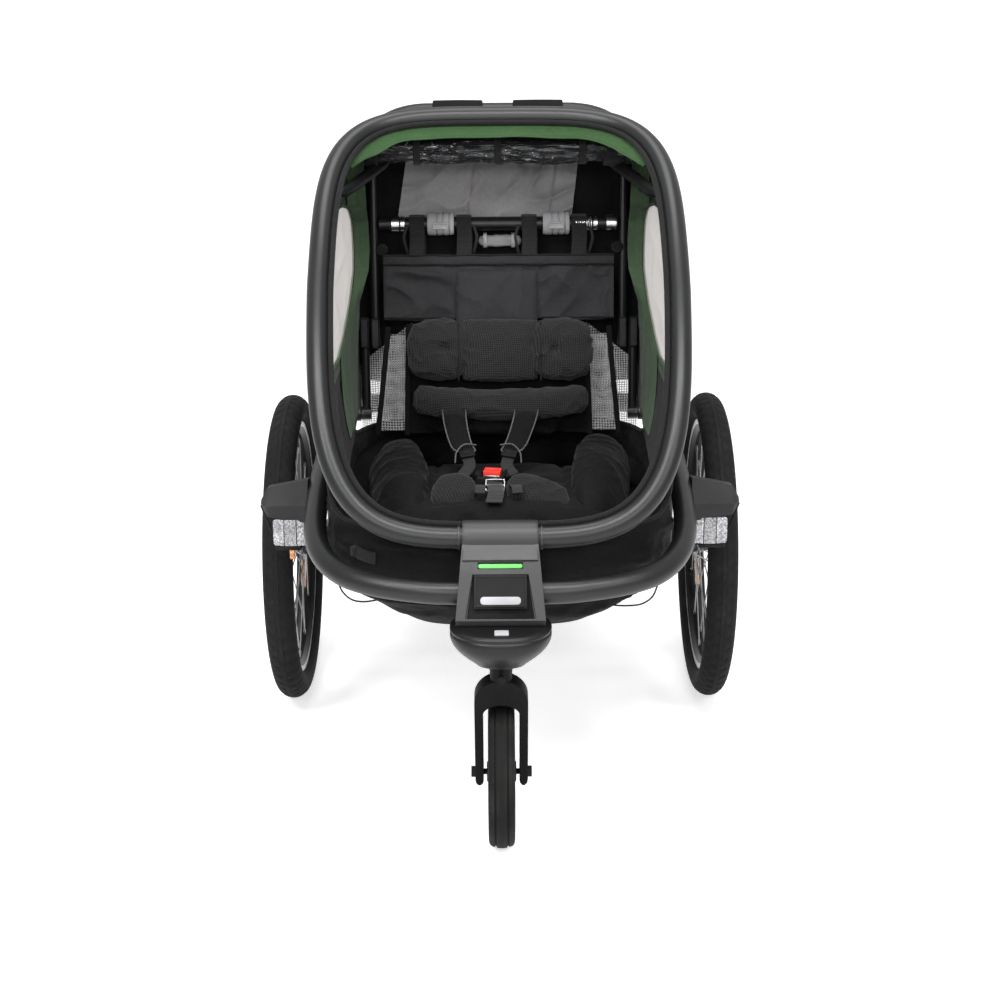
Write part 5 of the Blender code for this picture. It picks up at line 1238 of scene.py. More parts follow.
def make_linings():
    """The green flaps that run from the windows' rear edges to the rear posts."""
    for name, side in SIDES:
        def place(across, along):
            z = 0.486 + (0.903 - 0.486) * along
            start = window_rear(min(max(z, 0.6), 0.805)) * 0.97
            if z < 0.6:
                start *= 1 - (0.6 - z) * 1.1
            if z > 0.805:
                start *= 1 - (z - 0.805) * 1.5
            outer = window_spot(z, start, side)
            outer.x -= side * 0.0045
            inner = Vector((side * read(LINING_EDGE, z), max(0.052, outer.y + 0.006), z))
            spot = outer.lerp(inner, across)
            bow = math.sin(math.pi * across) * 0.003
            wave = (crease(spot, 0.06, 21, (1, 1, 0.45)) - 0.6) * 0.004 * math.sin(math.pi * across)
            fold = 0.0016 * bump_at(across, 0.3, 0.07)
            return spot + Vector((-side * (bow + wave + fold), 0, 0))

        flap = sewn("side_lining_" + name, 26, 120, place, 0.0014)
        dress(flap, GREEN_FABRIC, None)
        bend_cover(flap)


def make_valance():
    """The green strip that hangs inside the hoop's top, with a sewn hem."""
    start, end = math.radians(119), math.radians(241)
    angles = even_angles(hoop_point, start, end, 181)

    def place(across, along):
        angle = between(angles, across)
        share = 1 - abs(2 * across - 1)
        width = 0.0245 * min(1.0, 0.25 + share * 4.0)
        wave = math.sin(across * 46 + 1.3 * math.sin(across * 9)) * 0.0016 * along
        dip = (math.sin(across * 23.0) + math.sin(across * 37.0 + 1)) * 0.0011 * along
        hem = 0.0012 * bump_at(along, 0.8, 0.05)
        spot = hoop_point(angle, 0.015 + (width + dip) * along, 0.004 + 0.009 * along)
        return spot + Vector((0, -(wave + hem), 0))

    strip = sewn("top_valance", 180, 18, place, 0.0014)
    # The valance takes the darker copy of the canopy's green: painted shade.
    dress(strip, VALANCE_GREEN_PAINTED_DARKER, "hoop")


make_canopy()
make_windows()
make_linings()
make_valance()


# Rear wall, its grey flap and the two nets


def rear_edge(side, z):
    """How far out the canopy's rear arch lies at a height."""
    return read(sorted((p.z, abs(p.x)) for p in REAR_LINE if p.x * side > 0), z)


def make_rear_cover():
    """The back wall: a black sheet with folds, taped all round its arch."""
    def place(across, along):
        z = 0.5 + (0.9205 - 0.5) * along
        half = rear_edge(1, z) + 0.0015
        x = (across * 2 - 1) * half
        wave = (crease(Vector((x, 0, z)), 0.09, 31, (1, 1, 0.6)) - 0.6) * 0.006
        calm = min(1.0, (1 - abs(across * 2 - 1)) * 6, (1 - along) * 8 + 0.1)
        return Vector((x, 0.1335 + wave * calm, z))

    cover = sewn("rear_wall", 90, 84, place, 0.0018)
    dress(cover, BLACK_FABRIC, nodes="rear_cover")
    fold_flat(cover)
    edge = [p + Vector((0, -0.0005, 0)) for p in REAR_LINE]
    tape = bar("rear_wall_tape", edge, 0.004, False, 4)
    dress(tape, BINDING)
    fold_flat(tape)


def quad_sheet(name, columns, rows, corners, thickness, wave, seed, size=0.05,
               stretch=(1, 1, 1)):
    """A sheet between four corners: low left, low right, high left, high right."""
    a, b, c, d = (Vector(p) for p in corners)

    def place(across, along):
        spot = a.lerp(b, across).lerp(c.lerp(d, across), along)
        calm = min(1.0, min(across, 1 - across, along + 0.1, 1.05 - along) * 8)
        return spot + Vector((0, -wave * calm * (crease(spot, size, seed, stretch) - 0.6), 0))

    return sewn(name, columns, rows, place, thickness)


def make_flap():
    """The grey flap that hangs inside the rear wall, in three sewn strips."""
    corners = ((-0.1655, 0.116, 0.768), (0.119, 0.116, 0.768),
               (-0.15, 0.118, 0.866), (0.13, 0.118, 0.866))
    a, b, c, d = (Vector(p) for p in corners)

    def place(across, along):
        spot = a.lerp(b, across).lerp(c.lerp(d, across), along)
        slant = Vector((spot.x * 0.8 + spot.z * 0.6, 0, spot.z * 0.9 - spot.x * 0.5))
        wave = (crease(slant, 0.075, 41, (1, 1, 1.6)) - 0.6) * 0.012
        seam = sum(bump_at(across, s, 0.006) for s in (0.402, 0.875))
        calm = min(1.0, (1.06 - along) * 6)
        hem = 0.0015 * bump_at(along, 0.05, 0.02)
        return spot + Vector((0, -wave * calm - hem + seam * 0.003, 0))

    flap = sewn("rear_flap", 150, 56, place, 0.0012)
    dress(flap, GREY_FLAP)
    fold_flat(flap)


def make_nets():
    """A pale net at the rear on each side, and a dark one with black bands by the backrest."""
    for name, side in SIDES:
        outer = quad_sheet("rear_net_" + name, 18, 36,
                           ((side * 0.146, 0.1265, 0.41), (side * 0.233, 0.1265, 0.41),
                            (side * 0.146, 0.129, 0.6), (side * 0.2335, 0.129, 0.53)),
                           0.001, 0.003, 51)
        dress(outer, OUTER_NET)
        fold_flat(outer)
        inner_low, outer_low = (0.156, 0.1965) if side < 0 else (0.153, 0.192)
        inner_high, outer_high = (0.1505, 0.175) if side < 0 else (0.1449, 0.1735)
        inner = quad_sheet("side_net_" + name, 16, 48,
                           ((side * outer_low, 0.03, 0.438), (side * inner_low, 0.03, 0.438),
                            (side * outer_high, 0.034, 0.5975), (side * inner_high, 0.034, 0.5965)),
                           0.001, 0.002, 52)
        dress(inner, SIDE_MESH, "backrest")
        wall = quad_sheet("back_side_" + name, 22, 40,
                          ((side * 0.104, 0.034, 0.433), (side * inner_low, 0.033, 0.433),
                           (side * 0.104, 0.056, 0.616), (side * inner_high, 0.036, 0.613)),
                          0.0016, 0.006, 53, 0.06, (1, 1, 0.5))
        bands = [webbing("band", [(side * (low + shift), 0.0285, 0.43),
                                  (side * ((low + high) / 2 + shift), 0.03, 0.515),
                                  (side * (high + shift), 0.032, 0.61)], 0.0085, 0.0016, steps=8)
                 for low, high, shift in ((inner_low, inner_high, -0.004),
                                          (outer_low, outer_high, 0.004))]
        dress(join("back_side_" + name, [wall] + bands), SEAT_FABRIC, "backrest")


make_rear_cover()
make_flap()
make_nets()


# Rolled clear cover


def make_roll():
    """The clear rain cover, rolled loosely and tied up under the hoop's top."""
    def ring_point(share, turn, radius, seed):
        y = -0.022 + 0.01 * share * share
        z = 0.8915 + 0.002 * math.cos(share * 9)
        angle = 2 * math.pi * turn
        spot = Vector((0.206 * share, math.cos(angle), math.sin(angle)))
        bump = (crease(Vector((share * 0.6, math.cos(angle) * 0.1, math.sin(angle) * 0.1)), 0.05,
                       seed, (0.35, 1, 1)) - 0.6) * 0.006
        round_off = radius * (1 - 0.16 * abs(share) ** 3) + bump
        return Vector((spot.x, y + spot.y * round_off, z + spot.z * round_off * 0.92))

    layers = []
    for number, radius in enumerate((0.0185, 0.015, 0.0105)):
        layer = cloth("layer", 150, 44, lambda across, along, r=radius, n=number:
                      ring_point(across * 2 - 1, along + 0.13 * n, r, 61 + 7 * n), True)
        layers.append(layer)
    roll = join("rolled_cover", layers)
    dress(roll, ROLL_FILM, "hoop", "rain_cover_roll")
    ties = []
    for x in (-0.125, 0.0, 0.13):
        loop = []
        for k in range(40):
            angle = 2 * math.pi * k / 40
            loop.append(Vector((x, -0.0215 + 0.02 * math.cos(angle),
                                0.8945 + 0.0215 * math.sin(angle))))
        loop[10].z += 0.012
        ties.append(webbing("tie", loop + [loop[0]], 0.011, 0.001, steps=2))
    ends = []
    for side, length in ((-1, 0.02), (1, 0.044)):
        ends.append(pillow("roll_end", 18, 22,
                           lambda across, along, s=side, n=length: Vector(
                               (s * (0.2065 - n + n * across), -0.0225 + 0.006 * across,
                                0.872 + 0.038 * along)),
                           lambda across, along: 0.01 * math.sqrt(
                               max(0.0, 1 - (2 * along - 1) ** 2)),
                           (0, -1, 0)))
    dress(join("roll_ties", ties), WEBBING, "hoop", angle=50)
    caps = join("roll_ends", ends)
    rumple(caps, 0.004, 0.02, 71)
    dress(caps, PANEL_FABRIC, "hoop")


make_roll()


# Sewn lower body and what hangs on it


def tub_section(depth):
    """Half width, front and rear of the lower body at a share of the way down its wall."""
    rows = ((0.0, 0.4355, 0.2473, -0.524), (0.34, 0.385, 0.2458, -0.536),
            (0.68, 0.335, 0.222, -0.53), (0.87, 0.307, 0.1903, -0.51),
            (1.0, 0.2835, 0.1503, -0.47))
    z, half, front = (read(rows, depth, column) for column in (1, 2, 3))
    return z, half, front, 0.128 - (0.2473 - half) * 0.6


def tub_place(turn, depth, shrink=1.0):
    """A point of the lower body's outside; shrink draws the floor in to its middle."""
    z, half, front, rear = tub_section(depth)
    angle = 2 * math.pi * turn
    c, s = math.cos(angle), math.sin(angle)
    power = 2 / 4.2
    x = half * bulge(c, power) * shrink
    y = (front + rear) / 2 + (rear - front) / 2 * bulge(s, power) * shrink
    if depth == 0.0:
        rise = min(max((y + 0.48) / 0.12, 0.0), 1.0)
        z += 0.029 * rise * rise * (3 - 2 * rise) * min(max((0.03 - y) / 0.08, 0.0), 1.0)
    return Vector((x, y, z))


TUB_TURNS = even_angles(lambda a: tub_place(a, 0.3), 0.0, 1.0, 225)


def make_tub():
    """The fabric lower body: gathered walls, a stiff floor and a taped rim."""
    def place(across, along):
        turn = between(TUB_TURNS, across)
        if along < 0.7:
            depth = along / 0.7
            spot = tub_place(turn, 0.0).lerp(tub_place(turn, 0.34), depth / 0.34) \
                if depth < 0.34 else tub_place(turn, depth)
            out = Vector((spot.x, spot.y + 0.2, 0)).normalized()
            fold = (crease(spot, 0.085, 81, (0.6, 0.6, 1.7)) - 0.62) * 0.012
            fold += (crease(spot, 0.035, 82, (0.7, 0.7, 1.5)) - 0.62) * 0.004
            edge = min(1.0, depth * 9) * min(1.0, (1 - depth) * 6 + 0.2)
            return spot + out * (fold * edge - 0.0015)
        shrink = 1 - (along - 0.7) / 0.3
        return tub_place(turn, 1.0, max(shrink, 0.002))

    tub = sewn("lower_body", 224, 60, place, 0.0022, -1.0, closed_round=True)
    dress(tub, SKIRT_FABRIC, nodes="underbody_tub")
    rim = [tub_place(t, 0.0) + Vector((0, 0, 0.0005)) for t in TUB_TURNS[:-1]]
    tape = bar("lower_body_tape", rim, 0.003, True, 3)
    dress(tape, BINDING)
    board = block("seat_board", (0.36, 0.3, 0.004), (0, -0.173, 0.3425), 0.0015)
    legs = [block("board_leg", (0.03, 0.004, 0.054),
                  (side * 0.14, -0.173 + end * 0.145, 0.3145), 0.001, 1)
            for side in (-1, 1) for end in (-1, 1)]
    dress(join("seat_board", [board] + legs), BLACK_PLASTIC, angle=40)


def make_loops():
    """The flat tab on the skirt and the elastic loops that hold the covers down."""
    tab = webbing("skirt_tab", [(-0.2, -0.4975, 0.401), (-0.184, -0.5085, 0.3955),
                                (-0.168, -0.516, 0.3935)], 0.017, 0.0016, (0, 0, 1), 6)
    hook = block("skirt_hook", (0.008, 0.005, 0.013), (-0.199, -0.5015, 0.4), 0.0015,
                 turn=(0, 0, -0.5))
    dress(join("skirt_tab", [tab, hook]), WEBBING, angle=50)
    routes = {"left": [(-0.2205, -0.515, 0.366), (-0.22, -0.506, 0.356), (-0.215, -0.499, 0.34),
                       (-0.2037, -0.49, 0.3262), (-0.188, -0.484, 0.3212),
                       (-0.171, -0.479, 0.3218)],
              "right": [(0.214, -0.516, 0.364), (0.213, -0.508, 0.35), (0.2072, -0.497, 0.33),
                        (0.194, -0.493, 0.319), (0.178, -0.493, 0.3165), (0.158, -0.496, 0.318),
                        (0.1387, -0.4985, 0.3225)]}
    for name, points in routes.items():
        route = through(points, 5)
        loop = bar("elastic_loop_" + name, route, 0.0012, sides=4)
        dress(loop, CORD)
        moved = [at(*p) for p in route]


make_tub()
make_loops()


# Stuffed pieces


def stuffed(name, columns, rows, centre, wide, tall, lift, proud, back=None, round_off=0.7,
            bend=None):
    """A pad sewn round its edge: half extents wide and tall, standing proud along lift."""
    centre, wide, tall = Vector(centre), Vector(wide), Vector(tall)

    def grid(across, along):
        a, b = across * 2 - 1, along * 2 - 1
        return (a * math.sqrt(1 - 0.5 * round_off * b * b),
                b * math.sqrt(1 - 0.5 * round_off * a * a))

    def middle(across, along):
        a, b = grid(across, along)
        spot = centre + wide * a + tall * b
        return spot + bend(a, b) if bend else spot

    def thick(across, along):
        a, b = across * 2 - 1, along * 2 - 1
        full = ((1 - abs(a) ** 4) * (1 - abs(b) ** 4)) ** 0.5
        return proud * full, (proud if back is None else back) * full

    return pillow(name, columns, rows, middle, thick, lift)


def finish_pad(pad, material, body, slot, nodes, fill, *folds, blow=None):
    """Blow up, crease and dress a stuffed piece; each fold says what rumple says."""
    if blow:
        swell(pad, *blow)
    subdivide(pad)
    for fold in folds:
        rumple(pad, *fold)
    dress(pad, material, body, nodes, 70)


def make_cushion():
    """The seat: a stuffed crown with a sewn channel, and a soft wing on each side."""
    seat = stuffed("seat_pad", 44, 40, (0, -0.173, 0.369), (0.176, 0, 0), (0, 0.155, 0), (0, 0, 1),
                   0.03, 0.0225, 0.22, lambda a, b: Vector((0, 0, 0.004 * math.cos(a * 1.5))))
    swell(seat, 0.005, 0.007)
    rumple(seat, 0.0028, 0.07, 91, (0.8, 1, 1), lambda p: float(p.z > 0.375))
    for corner in seat.data.vertices:
        x, y, z = corner.co
        if z > 0.38:
            channel = bump_at(y + 0.17 - 0.1 * x * x, 0, 0.006) * (abs(x) < 0.1)
            channel += bump_at(abs(x), 0.098, 0.006) * (y > -0.29)
            corner.co.z -= 0.0055 * min(channel, 1.0)
        corner.co.z = max(corner.co.z, 0.3455)
    smooth(seat, 60)
    dress(seat, SEAT_FABRIC, nodes="seat_cushion", angle=70)
    wings = (("left", -1, 0.0), ("right", 1, 0.006))
    for name, side, lift in wings:
        wing = stuffed("seat_wing_" + name, 26, 44, (side * 0.158, -0.15, 0.405 + lift),
                       (0.04, 0, -side * 0.004), (0, 0.14, 0.01), (-side * 0.35, -0.25, 0.9),
                       0.042, 0.036, 0.75,
                       lambda a, b, s=side: Vector((s * 0.014 * b, 0, -0.02 * b * b + 0.01 * b)))
        swell(wing, 0.005, 0.007)
        subdivide(wing)
        rumple(wing, 0.0045, 0.06, 95 + side, (0.45, 1.5, 0.8))
        rumple(wing, 0.0012, 0.02, 97 + side, (0.6, 1.4, 1))
        for corner in wing.data.vertices:
            corner.co.z = max(corner.co.z, 0.347)
            limit = 0.203 + 0.02 * min(max((corner.co.z - 0.36) / 0.05, 0), 1)
            corner.co.x = side * min(corner.co.x * side, limit)
        dress(wing, BACK_FABRIC, angle=70)


def make_back():
    """The padded back, the pad at its foot and the roll at the child's waist."""
    panel = stuffed("back_panel", 34, 34, (0, 0.048, 0.524), (0.111, 0, 0), (0, 0.0175, 0.0935),
                    (0, -1, 0.18), 0.0095, 0.0095, 0.15)
    rumple(panel, 0.002, 0.03, 101)
    subdivide(panel)
    dress(panel, SEAT_FABRIC, "backrest", nodes="seat_back", angle=70)
    lower = stuffed("back_foot_pad", 40, 16, (-0.006, 0.015, 0.453), (0.104, 0, 0),
                    (0, 0.004, 0.02), (0, -1, 0.1), 0.014, 0.012, 0.5)
    finish_pad(lower, SEAT_FABRIC, "backrest", "black_fabric", "", 0.5,
               (0.0045, 0.035, 103, (0.7, 1, 1.3)), blow=(0.0045, 0.004))
    roll = stuffed("waist_roll", 52, 18, (0.002, 0.0045, 0.488), (0.14, 0, 0), (0, 0, 0.027),
                   (0, -1, 0.05), 0.021, 0.017, 0.3,
                   lambda a, b: Vector((0, -0.004 * (1 - a * a), 0.009 * a * a)))
    finish_pad(roll, FINE_MESH, "backrest", "black_mesh_fabric", "lumbar_roll", 0.7,
               (0.003, 0.03, 105, (0.8, 1, 1)), blow=(0.0045, 0.005))


def make_headrest():
    """A flat middle with a stuffed wing on each side, each tufted once."""
    middle = stuffed("headrest_middle", 26, 22, (0.001, 0.0185, 0.5735), (0.0655, 0, 0),
                     (0, 0.009, 0.052), (0, -1, 0.18), 0.0165, 0.012, 0.2)
    swell(middle, 0.004, 0.005)
    parts = [middle]
    for side in (-1, 1):
        wing = stuffed("headrest_wing", 22, 24, (side * 0.099 + 0.001, 0.008, 0.577),
                       (0.05, -side * 0.006, 0), (0, 0.007, 0.05), (side * 0.05, -1, 0.18),
                       0.02, 0.016, 0.7)
        swell(wing, 0.004, 0.006)
        parts.append(wing)
    for k, part in enumerate(parts):
        subdivide(part)
        tuft = Vector(((0, -0.087, 0.089)[k], 0, 0.578))
        for corner in part.data.vertices:
            away = math.hypot(corner.co.x - tuft.x, corner.co.z - tuft.z)
            if k and corner.co.y < 0.008:
                corner.co.y += 0.0085 * bump_at(away, 0, 0.01)
        rumple(part, 0.0032 if k else 0.0016, 0.026, 111 + k)
        paint(part, FINE_MESH)
        smooth(part, 70)
    for x in (-0.065, 0.067):
        line = [(x, -0.0075 + 0.009 * (2 * k / 12 - 1) + 0.006 * (2 * k / 12 - 1) ** 2,
                 0.53 + 0.092 * k / 12) for k in range(13)]
        cord = bar("headrest_piping", through(line, 3), 0.0013, sides=3)
        paint(cord, BINDING)
        parts.append(cord)
    pillow_piece = join("headrest_pillow", parts)
    dress(pillow_piece, None, "backrest", nodes="headrest", angle=70)


make_cushion()
make_back()
make_headrest()


# Hung panel, its straps and the bar that carries them

BAR_Y, BAR_Z = 0.1036, 0.767


def panel_point(across, up, proud=0.0):
    """A place on the hung panel: across and up from 0 to 1, and how far in front of it."""
    low, high = Vector((0, 0.0622, 0.617)), Vector((0, 0.0855, 0.718))
    spot = low.lerp(high, up)
    return Vector(((across * 2 - 1) * 0.1875, spot.y - proud, spot.z + proud * 0.2))


def make_panel():
    """The hung panel with its creased pockets, hem, piping and middle pad."""
    def place(across, along):
        spot = panel_point(across, along)
        side = abs(across - 0.49)
        pocket = 1.0 if 0.19 < side < 0.49 else 0.25
        slant = Vector((spot.x * 0.75 + spot.z * 0.55, 0, spot.z * 0.8 - spot.x * 0.45))
        wave = (crease(slant, 0.045, 121, (0.9, 1, 1)) - 0.6) * 0.009 * pocket
        wave += (crease(spot, 0.11, 123) - 0.6) * 0.006
        calm = min(1.0, (0.86 - along) * 9) if along < 0.86 else 0.0
        sag = 0.003 * math.sin(math.pi * across * 3) * (1 - along)
        return spot + Vector((0, -wave * max(calm, 0), -sag))

    sheet = sewn("hung_panel", 150, 44, place, 0.0016)
    paint(sheet, PANEL_FABRIC)
    hem = cloth("panel_hem", 110, 8, lambda across, along: panel_point(
        across, 0.855 + 0.15 * along, 0.003 + 0.0012 * math.sin(math.pi * along)
        + 0.0008 * math.sin(across * 40)))
    thicken(hem, 0.0014)
    paint(hem, PANEL_FABRIC)
    trims = [sheet, hem]
    for up, radius in ((0.855, 0.0015), (0.995, 0.0017), (0.02, 0.0016)):
        line = [panel_point(k / 40, up + 0.004 * math.sin(k * 0.9), 0.0042) for k in range(41)]
        cord = bar("panel_piping", line, radius, sides=3)
        paint(cord, BINDING)
        trims.append(cord)
    panel = join("hung_panel", trims)
    dress(panel, None, "fold_links", nodes="back_straps")
    fold_flat(panel)
    pad = stuffed("middle_pad", 26, 26, (-0.003, 0.064, 0.65), (0.069, 0, 0),
                  (0, 0.012, 0.048), (0, -1, 0.22), 0.0085, 0.004, 0.12)
    subdivide(pad)
    rumple(pad, 0.0035, 0.045, 125, (1, 1, 0.7))
    dress(pad, PANEL_FABRIC, "fold_links", angle=70)
    fold_flat(pad)


def make_straps():
    """Four straps looped over the bar, each with a paler tape loop beside it."""
    strips = []
    for number, x in enumerate((-0.133, -0.056, 0.05, 0.131)):
        over = [(x, 0.08, 0.702), (x, 0.0835, 0.724), (x + 0.001, 0.089, 0.748),
                (x, BAR_Y - 0.0135, BAR_Z), (x, BAR_Y - 0.0095, BAR_Z + 0.0105),
                (x, BAR_Y, BAR_Z + 0.0138), (x, BAR_Y + 0.0095, BAR_Z + 0.0105),
                (x, BAR_Y + 0.0135, BAR_Z), (x + 0.002, BAR_Y + 0.0125, BAR_Z - 0.03),
                (x + 0.002, BAR_Y + 0.008, BAR_Z - 0.052)]
        strips.append(webbing("hanging_strap", over, 0.0245, 0.0017, ripple=0.001))
    straps = join("hanging_straps", strips)
    dress(straps, WEBBING, "fold_links", angle=50)
    fold_flat(straps)
    tapes = []
    for x, side in ((-0.1475, -1), (-0.041, 1), (0.0335, -1), (0.147, 1)):
        loop = [(x, BAR_Y - 0.01, 0.719), (x + side * 0.004, BAR_Y - 0.017, 0.735),
                (x + side * 0.006, BAR_Y - 0.018, 0.748), (x + side * 0.003, BAR_Y - 0.014, 0.759),
                (x, BAR_Y - 0.0125, 0.766)]
        tapes.append(webbing("tape_loop", loop, 0.0045, 0.0011, (1, 0, 0), 4))
    dress(join("tape_loops", tapes), PANEL_FABRIC, "fold_links", angle=50)


def make_seat_bar():
    """The cross bar with its end ferrules, coil spring and sliding clamps."""
    half = 0.1955
    profile = [(0.0004, -half), (0.0095, -half), (0.011, -half + 0.0015), (0.011, half - 0.0015),
               (0.0095, half), (0.0004, half)]
    tube = spin_profile("cross_bar", profile, (0, BAR_Y, BAR_Z), "X", 48)
    dress(tube, FRAME_PAINT, "fold_links", "seat_bar", 35)
    rings = []
    for x, wide in ((-0.168, 0.007), (-0.156, 0.004), (0.158, 0.004), (0.184, 0.009)):
        rings.append(spin_profile("ferrule", [(0.0112, -wide), (0.0135, -wide + 0.001),
                                              (0.0135, wide - 0.001), (0.0112, wide)],
                                  (x, BAR_Y, BAR_Z), "X", 40))
    coil = [(0.125 + 0.028 * k / 140, BAR_Y + 0.0132 * math.cos(k * 0.36),
             BAR_Z + 0.0132 * math.sin(k * 0.36)) for k in range(141)]
    rings.append(bar("bar_spring", coil, 0.0012, sides=3))
    dress(join("bar_ferrules", rings), BRIGHT_STEEL, "fold_links", angle=35)
    for name, side in SIDES:
        ribs = [(0.0118, -0.0215), (0.0172, -0.0215), (0.0182, -0.02)]
        for start in (-0.015, -0.005, 0.005):
            ribs += [(0.0186, start), (0.0186, start + 0.0075), (0.0168, start + 0.0082),
                     (0.0168, start + 0.0095)]
        ribs += [(0.0186, 0.0155), (0.0182, 0.02), (0.0172, 0.0215), (0.0118, 0.0215)]
        ring = spin_profile("clamp_ring", ribs, (side * 0.094, BAR_Y, BAR_Z), "X", 48)
        lug = box("clamp_lug", (0.026, 0.01, 0.011), (side * 0.094, BAR_Y - 0.0175, BAR_Z - 0.001))
        press(lug, lambda c, n: n.y < -0.9, (0.0022, 0), (0.0008, 0.0022))
        round_edges(lug, 0.0012, 2)
        dress(join("clamp_shell_" + name, [ring, lug]), PALE_PLASTIC, "clamp_" + name,
              "bar_clamp_" + name, 35)


def make_knobs():
    """The round grey knobs at the hinges, and the small roll tied up behind the bar."""
    knobs = []
    for x, z in ((-0.1905, 0.726), (0.1935, 0.729)):
        knobs.append(spin_profile("link_knob", [(0.0003, -0.008), (0.0085, -0.008), (0.01, -0.0065),
                                                (0.01, 0.0045), (0.0082, 0.006), (0.0055, 0.006),
                                                (0.005, 0.0045), (0.0003, 0.0045)],
                                  (x, 0.0975, z), "Y", 40))
        turn_about(knobs[-1], math.pi, "Z", (x, 0.0975, z))
    dress(join("link_knobs", knobs), BLACK_PLASTIC, "fold_links", angle=35)
    roll = stuffed("tool_roll", 24, 14, (0.0015, 0.119, 0.737), (0.037, 0, 0), (0, 0, 0.0105),
                   (0, -1, 0), 0.0095, 0.006, 0.5)
    subdivide(roll)
    rumple(roll, 0.002, 0.02, 131)
    dress(roll, GREY_FLAP, angle=70)
    fold_flat(roll)
    tapes = [webbing("roll_tape", [(x, 0.118, 0.75), (x, 0.1085, 0.746), (x, 0.1075, 0.736),
                                   (x, 0.112, 0.727)], 0.006, 0.001, steps=4)
             for x in (-0.022, 0.024)]
    tape = join("roll_tapes", tapes)
    dress(tape, PALE_PLASTIC, angle=50)
    fold_flat(tape)


make_panel()
make_straps()
make_seat_bar()
make_knobs()


# Front bracket, its lever and the wheel dock

HOOP_LOW = Vector((0, -0.551, 0.433))
FACE_TOP = Vector((0, -0.57168, 0.42935))
FACE_LEAN = 0.3866
FACE_LENGTH = 0.1003


def face_spot(x, down, proud=0.0):
    """A place on the bracket's sloping face: down along it, and in front of it."""
    c, s = math.cos(FACE_LEAN), math.sin(FACE_LEAN)
    return Vector((x, FACE_TOP.y - down * s - proud * c, FACE_TOP.z - down * c + proud * s))


def make_bracket():
    """The face plate with its slot and pocket, and the sleeve round the hoop."""
    downs = (0.0, 0.0238, 0.033, 0.0385, 0.098, FACE_LENGTH)
    shares = (-1.0, -0.0372, -0.03, 0.03, 0.0372, 1.0)

    def place(across, along):
        share, down = shares[round(across * 5)], downs[round(along * 5)]
        half = 0.0502 + 0.009 * down / FACE_LENGTH
        flare = 1 + 0.27 * max(0.0, down - 0.0385) / 0.0595
        x = share * half if abs(share) == 1 else share * flare
        return face_spot(x, down, 0.003 + 0.0058 * min(down / 0.034, 1.0) - 0.006)

    plate = sewn("bracket_face", 5, 5, place, 0.012)
    slot, pocket = face_spot(0, 0.0284, 0.0085).z, face_spot(0, 0.0663, 0.0088).z
    sink(plate, lambda c, n: n.y < -0.5 and abs(c.x) < 0.01 and abs(c.z - slot) < 0.004,
         0.0004, 0.005)
    sink(plate, lambda c, n: n.y < -0.5 and abs(c.x) < 0.04 and abs(c.z - pocket) < 0.01,
         0.0008, 0.0078)
    round_edges(plate, 0.0017, 3, 28)
    # A near-black sheet laid on the pocket's floor: painted shade for the pocket's dark lower part.
    floor = box("pocket_shade_sheet", (0.072, 0.001, 0.056), face_spot(0, 0.069, 0.0018),
                (-FACE_LEAN, 0, 0))
    pick(floor, "FACE", lambda c, n: n.z < -0.7)
    bpy.ops.transform.resize(value=(1.22, 1, 1), center_override=(0, 0, 0))
    leave()
    dress(floor, POCKET_PAINTED_SHADE, angle=40)

    def wrap(across, along):
        angle = math.radians(-44 + 236 * min(along / 0.8, 1.0))
        reach = 0.0222 - 0.0005 * abs(2 * across - 1) ** 10
        spot = Vector((0, reach * math.cos(angle), reach * math.sin(angle))) + HOOP_LOW
        if along > 0.8:
            spot = spot.lerp(face_spot(0, 0.0212, 0.0086), (along - 0.8) / 0.2)
        return Vector(((across * 2 - 1) * 0.05, spot.y, spot.z))

    sleeve = sewn("bracket_sleeve", 20, 50, wrap, 0.003)
    round_edges(sleeve, 0.0009, 2, 40)
    collars = [spin_profile("hoop_collar", [(0.0151, -0.0016), (0.0164, -0.0012), (0.0164, 0.0012),
                                            (0.0151, 0.0016)],
                            (side * 0.0545, HOOP_LOW.y, HOOP_LOW.z), "X", 48) for side in (-1, 1)]
    dress(join("bracket_face", [plate, sleeve] + collars), BRACKET_PLASTIC,
          angle=40)
    body = merged_copy("front_bracket", "bracket_body")
    round_edges(body, 0.0012, 2, 40)
    dress(body, BRACKET_PLASTIC, nodes="front_bracket", angle=40)
    strip = block("green_bar", (0.0582, 0.006, 0.0064), face_spot(0, 0.0284, 0.0052), 0.0028, 4,
                  turn=(-FACE_LEAN, 0, 0))
    dress(strip, GREEN_PLASTIC, nodes="green_strip")


def make_lever():
    """The release lever in the bracket's pocket, with its pale thumb pad."""
    turn = (-FACE_LEAN, 0, 0)
    lever = box("release_lever", (0.069, 0.008, 0.044), face_spot(0, 0.0618, 0.0046), turn)
    sink(lever, lambda c, n: n.y < -0.5, 0.003, 0.0008)
    round_edges(lever, 0.0014, 3)
    lip = block("lever_lip", (0.064, 0.004, 0.0035), face_spot(0, 0.0805, 0.0088), 0.0014, 3,
                turn=turn)
    dress(join("release_lever", [lever, lip]), LEVER_PLASTIC, "dock_lever",
          "bracket_lever", 40)
    thumb = box("thumb_pad", (0.053, 0.0024, 0.0105), face_spot(0, 0.0735, 0.0086), turn)
    round_corners(thumb, lambda c, d: abs(d.x) < 0.1 and abs(d.y) > 0.85, 0.0046, 6)
    round_edges(thumb, 0.0005, 2, 50)
    dress(thumb, PALE_PLASTIC, "dock_lever", angle=40)


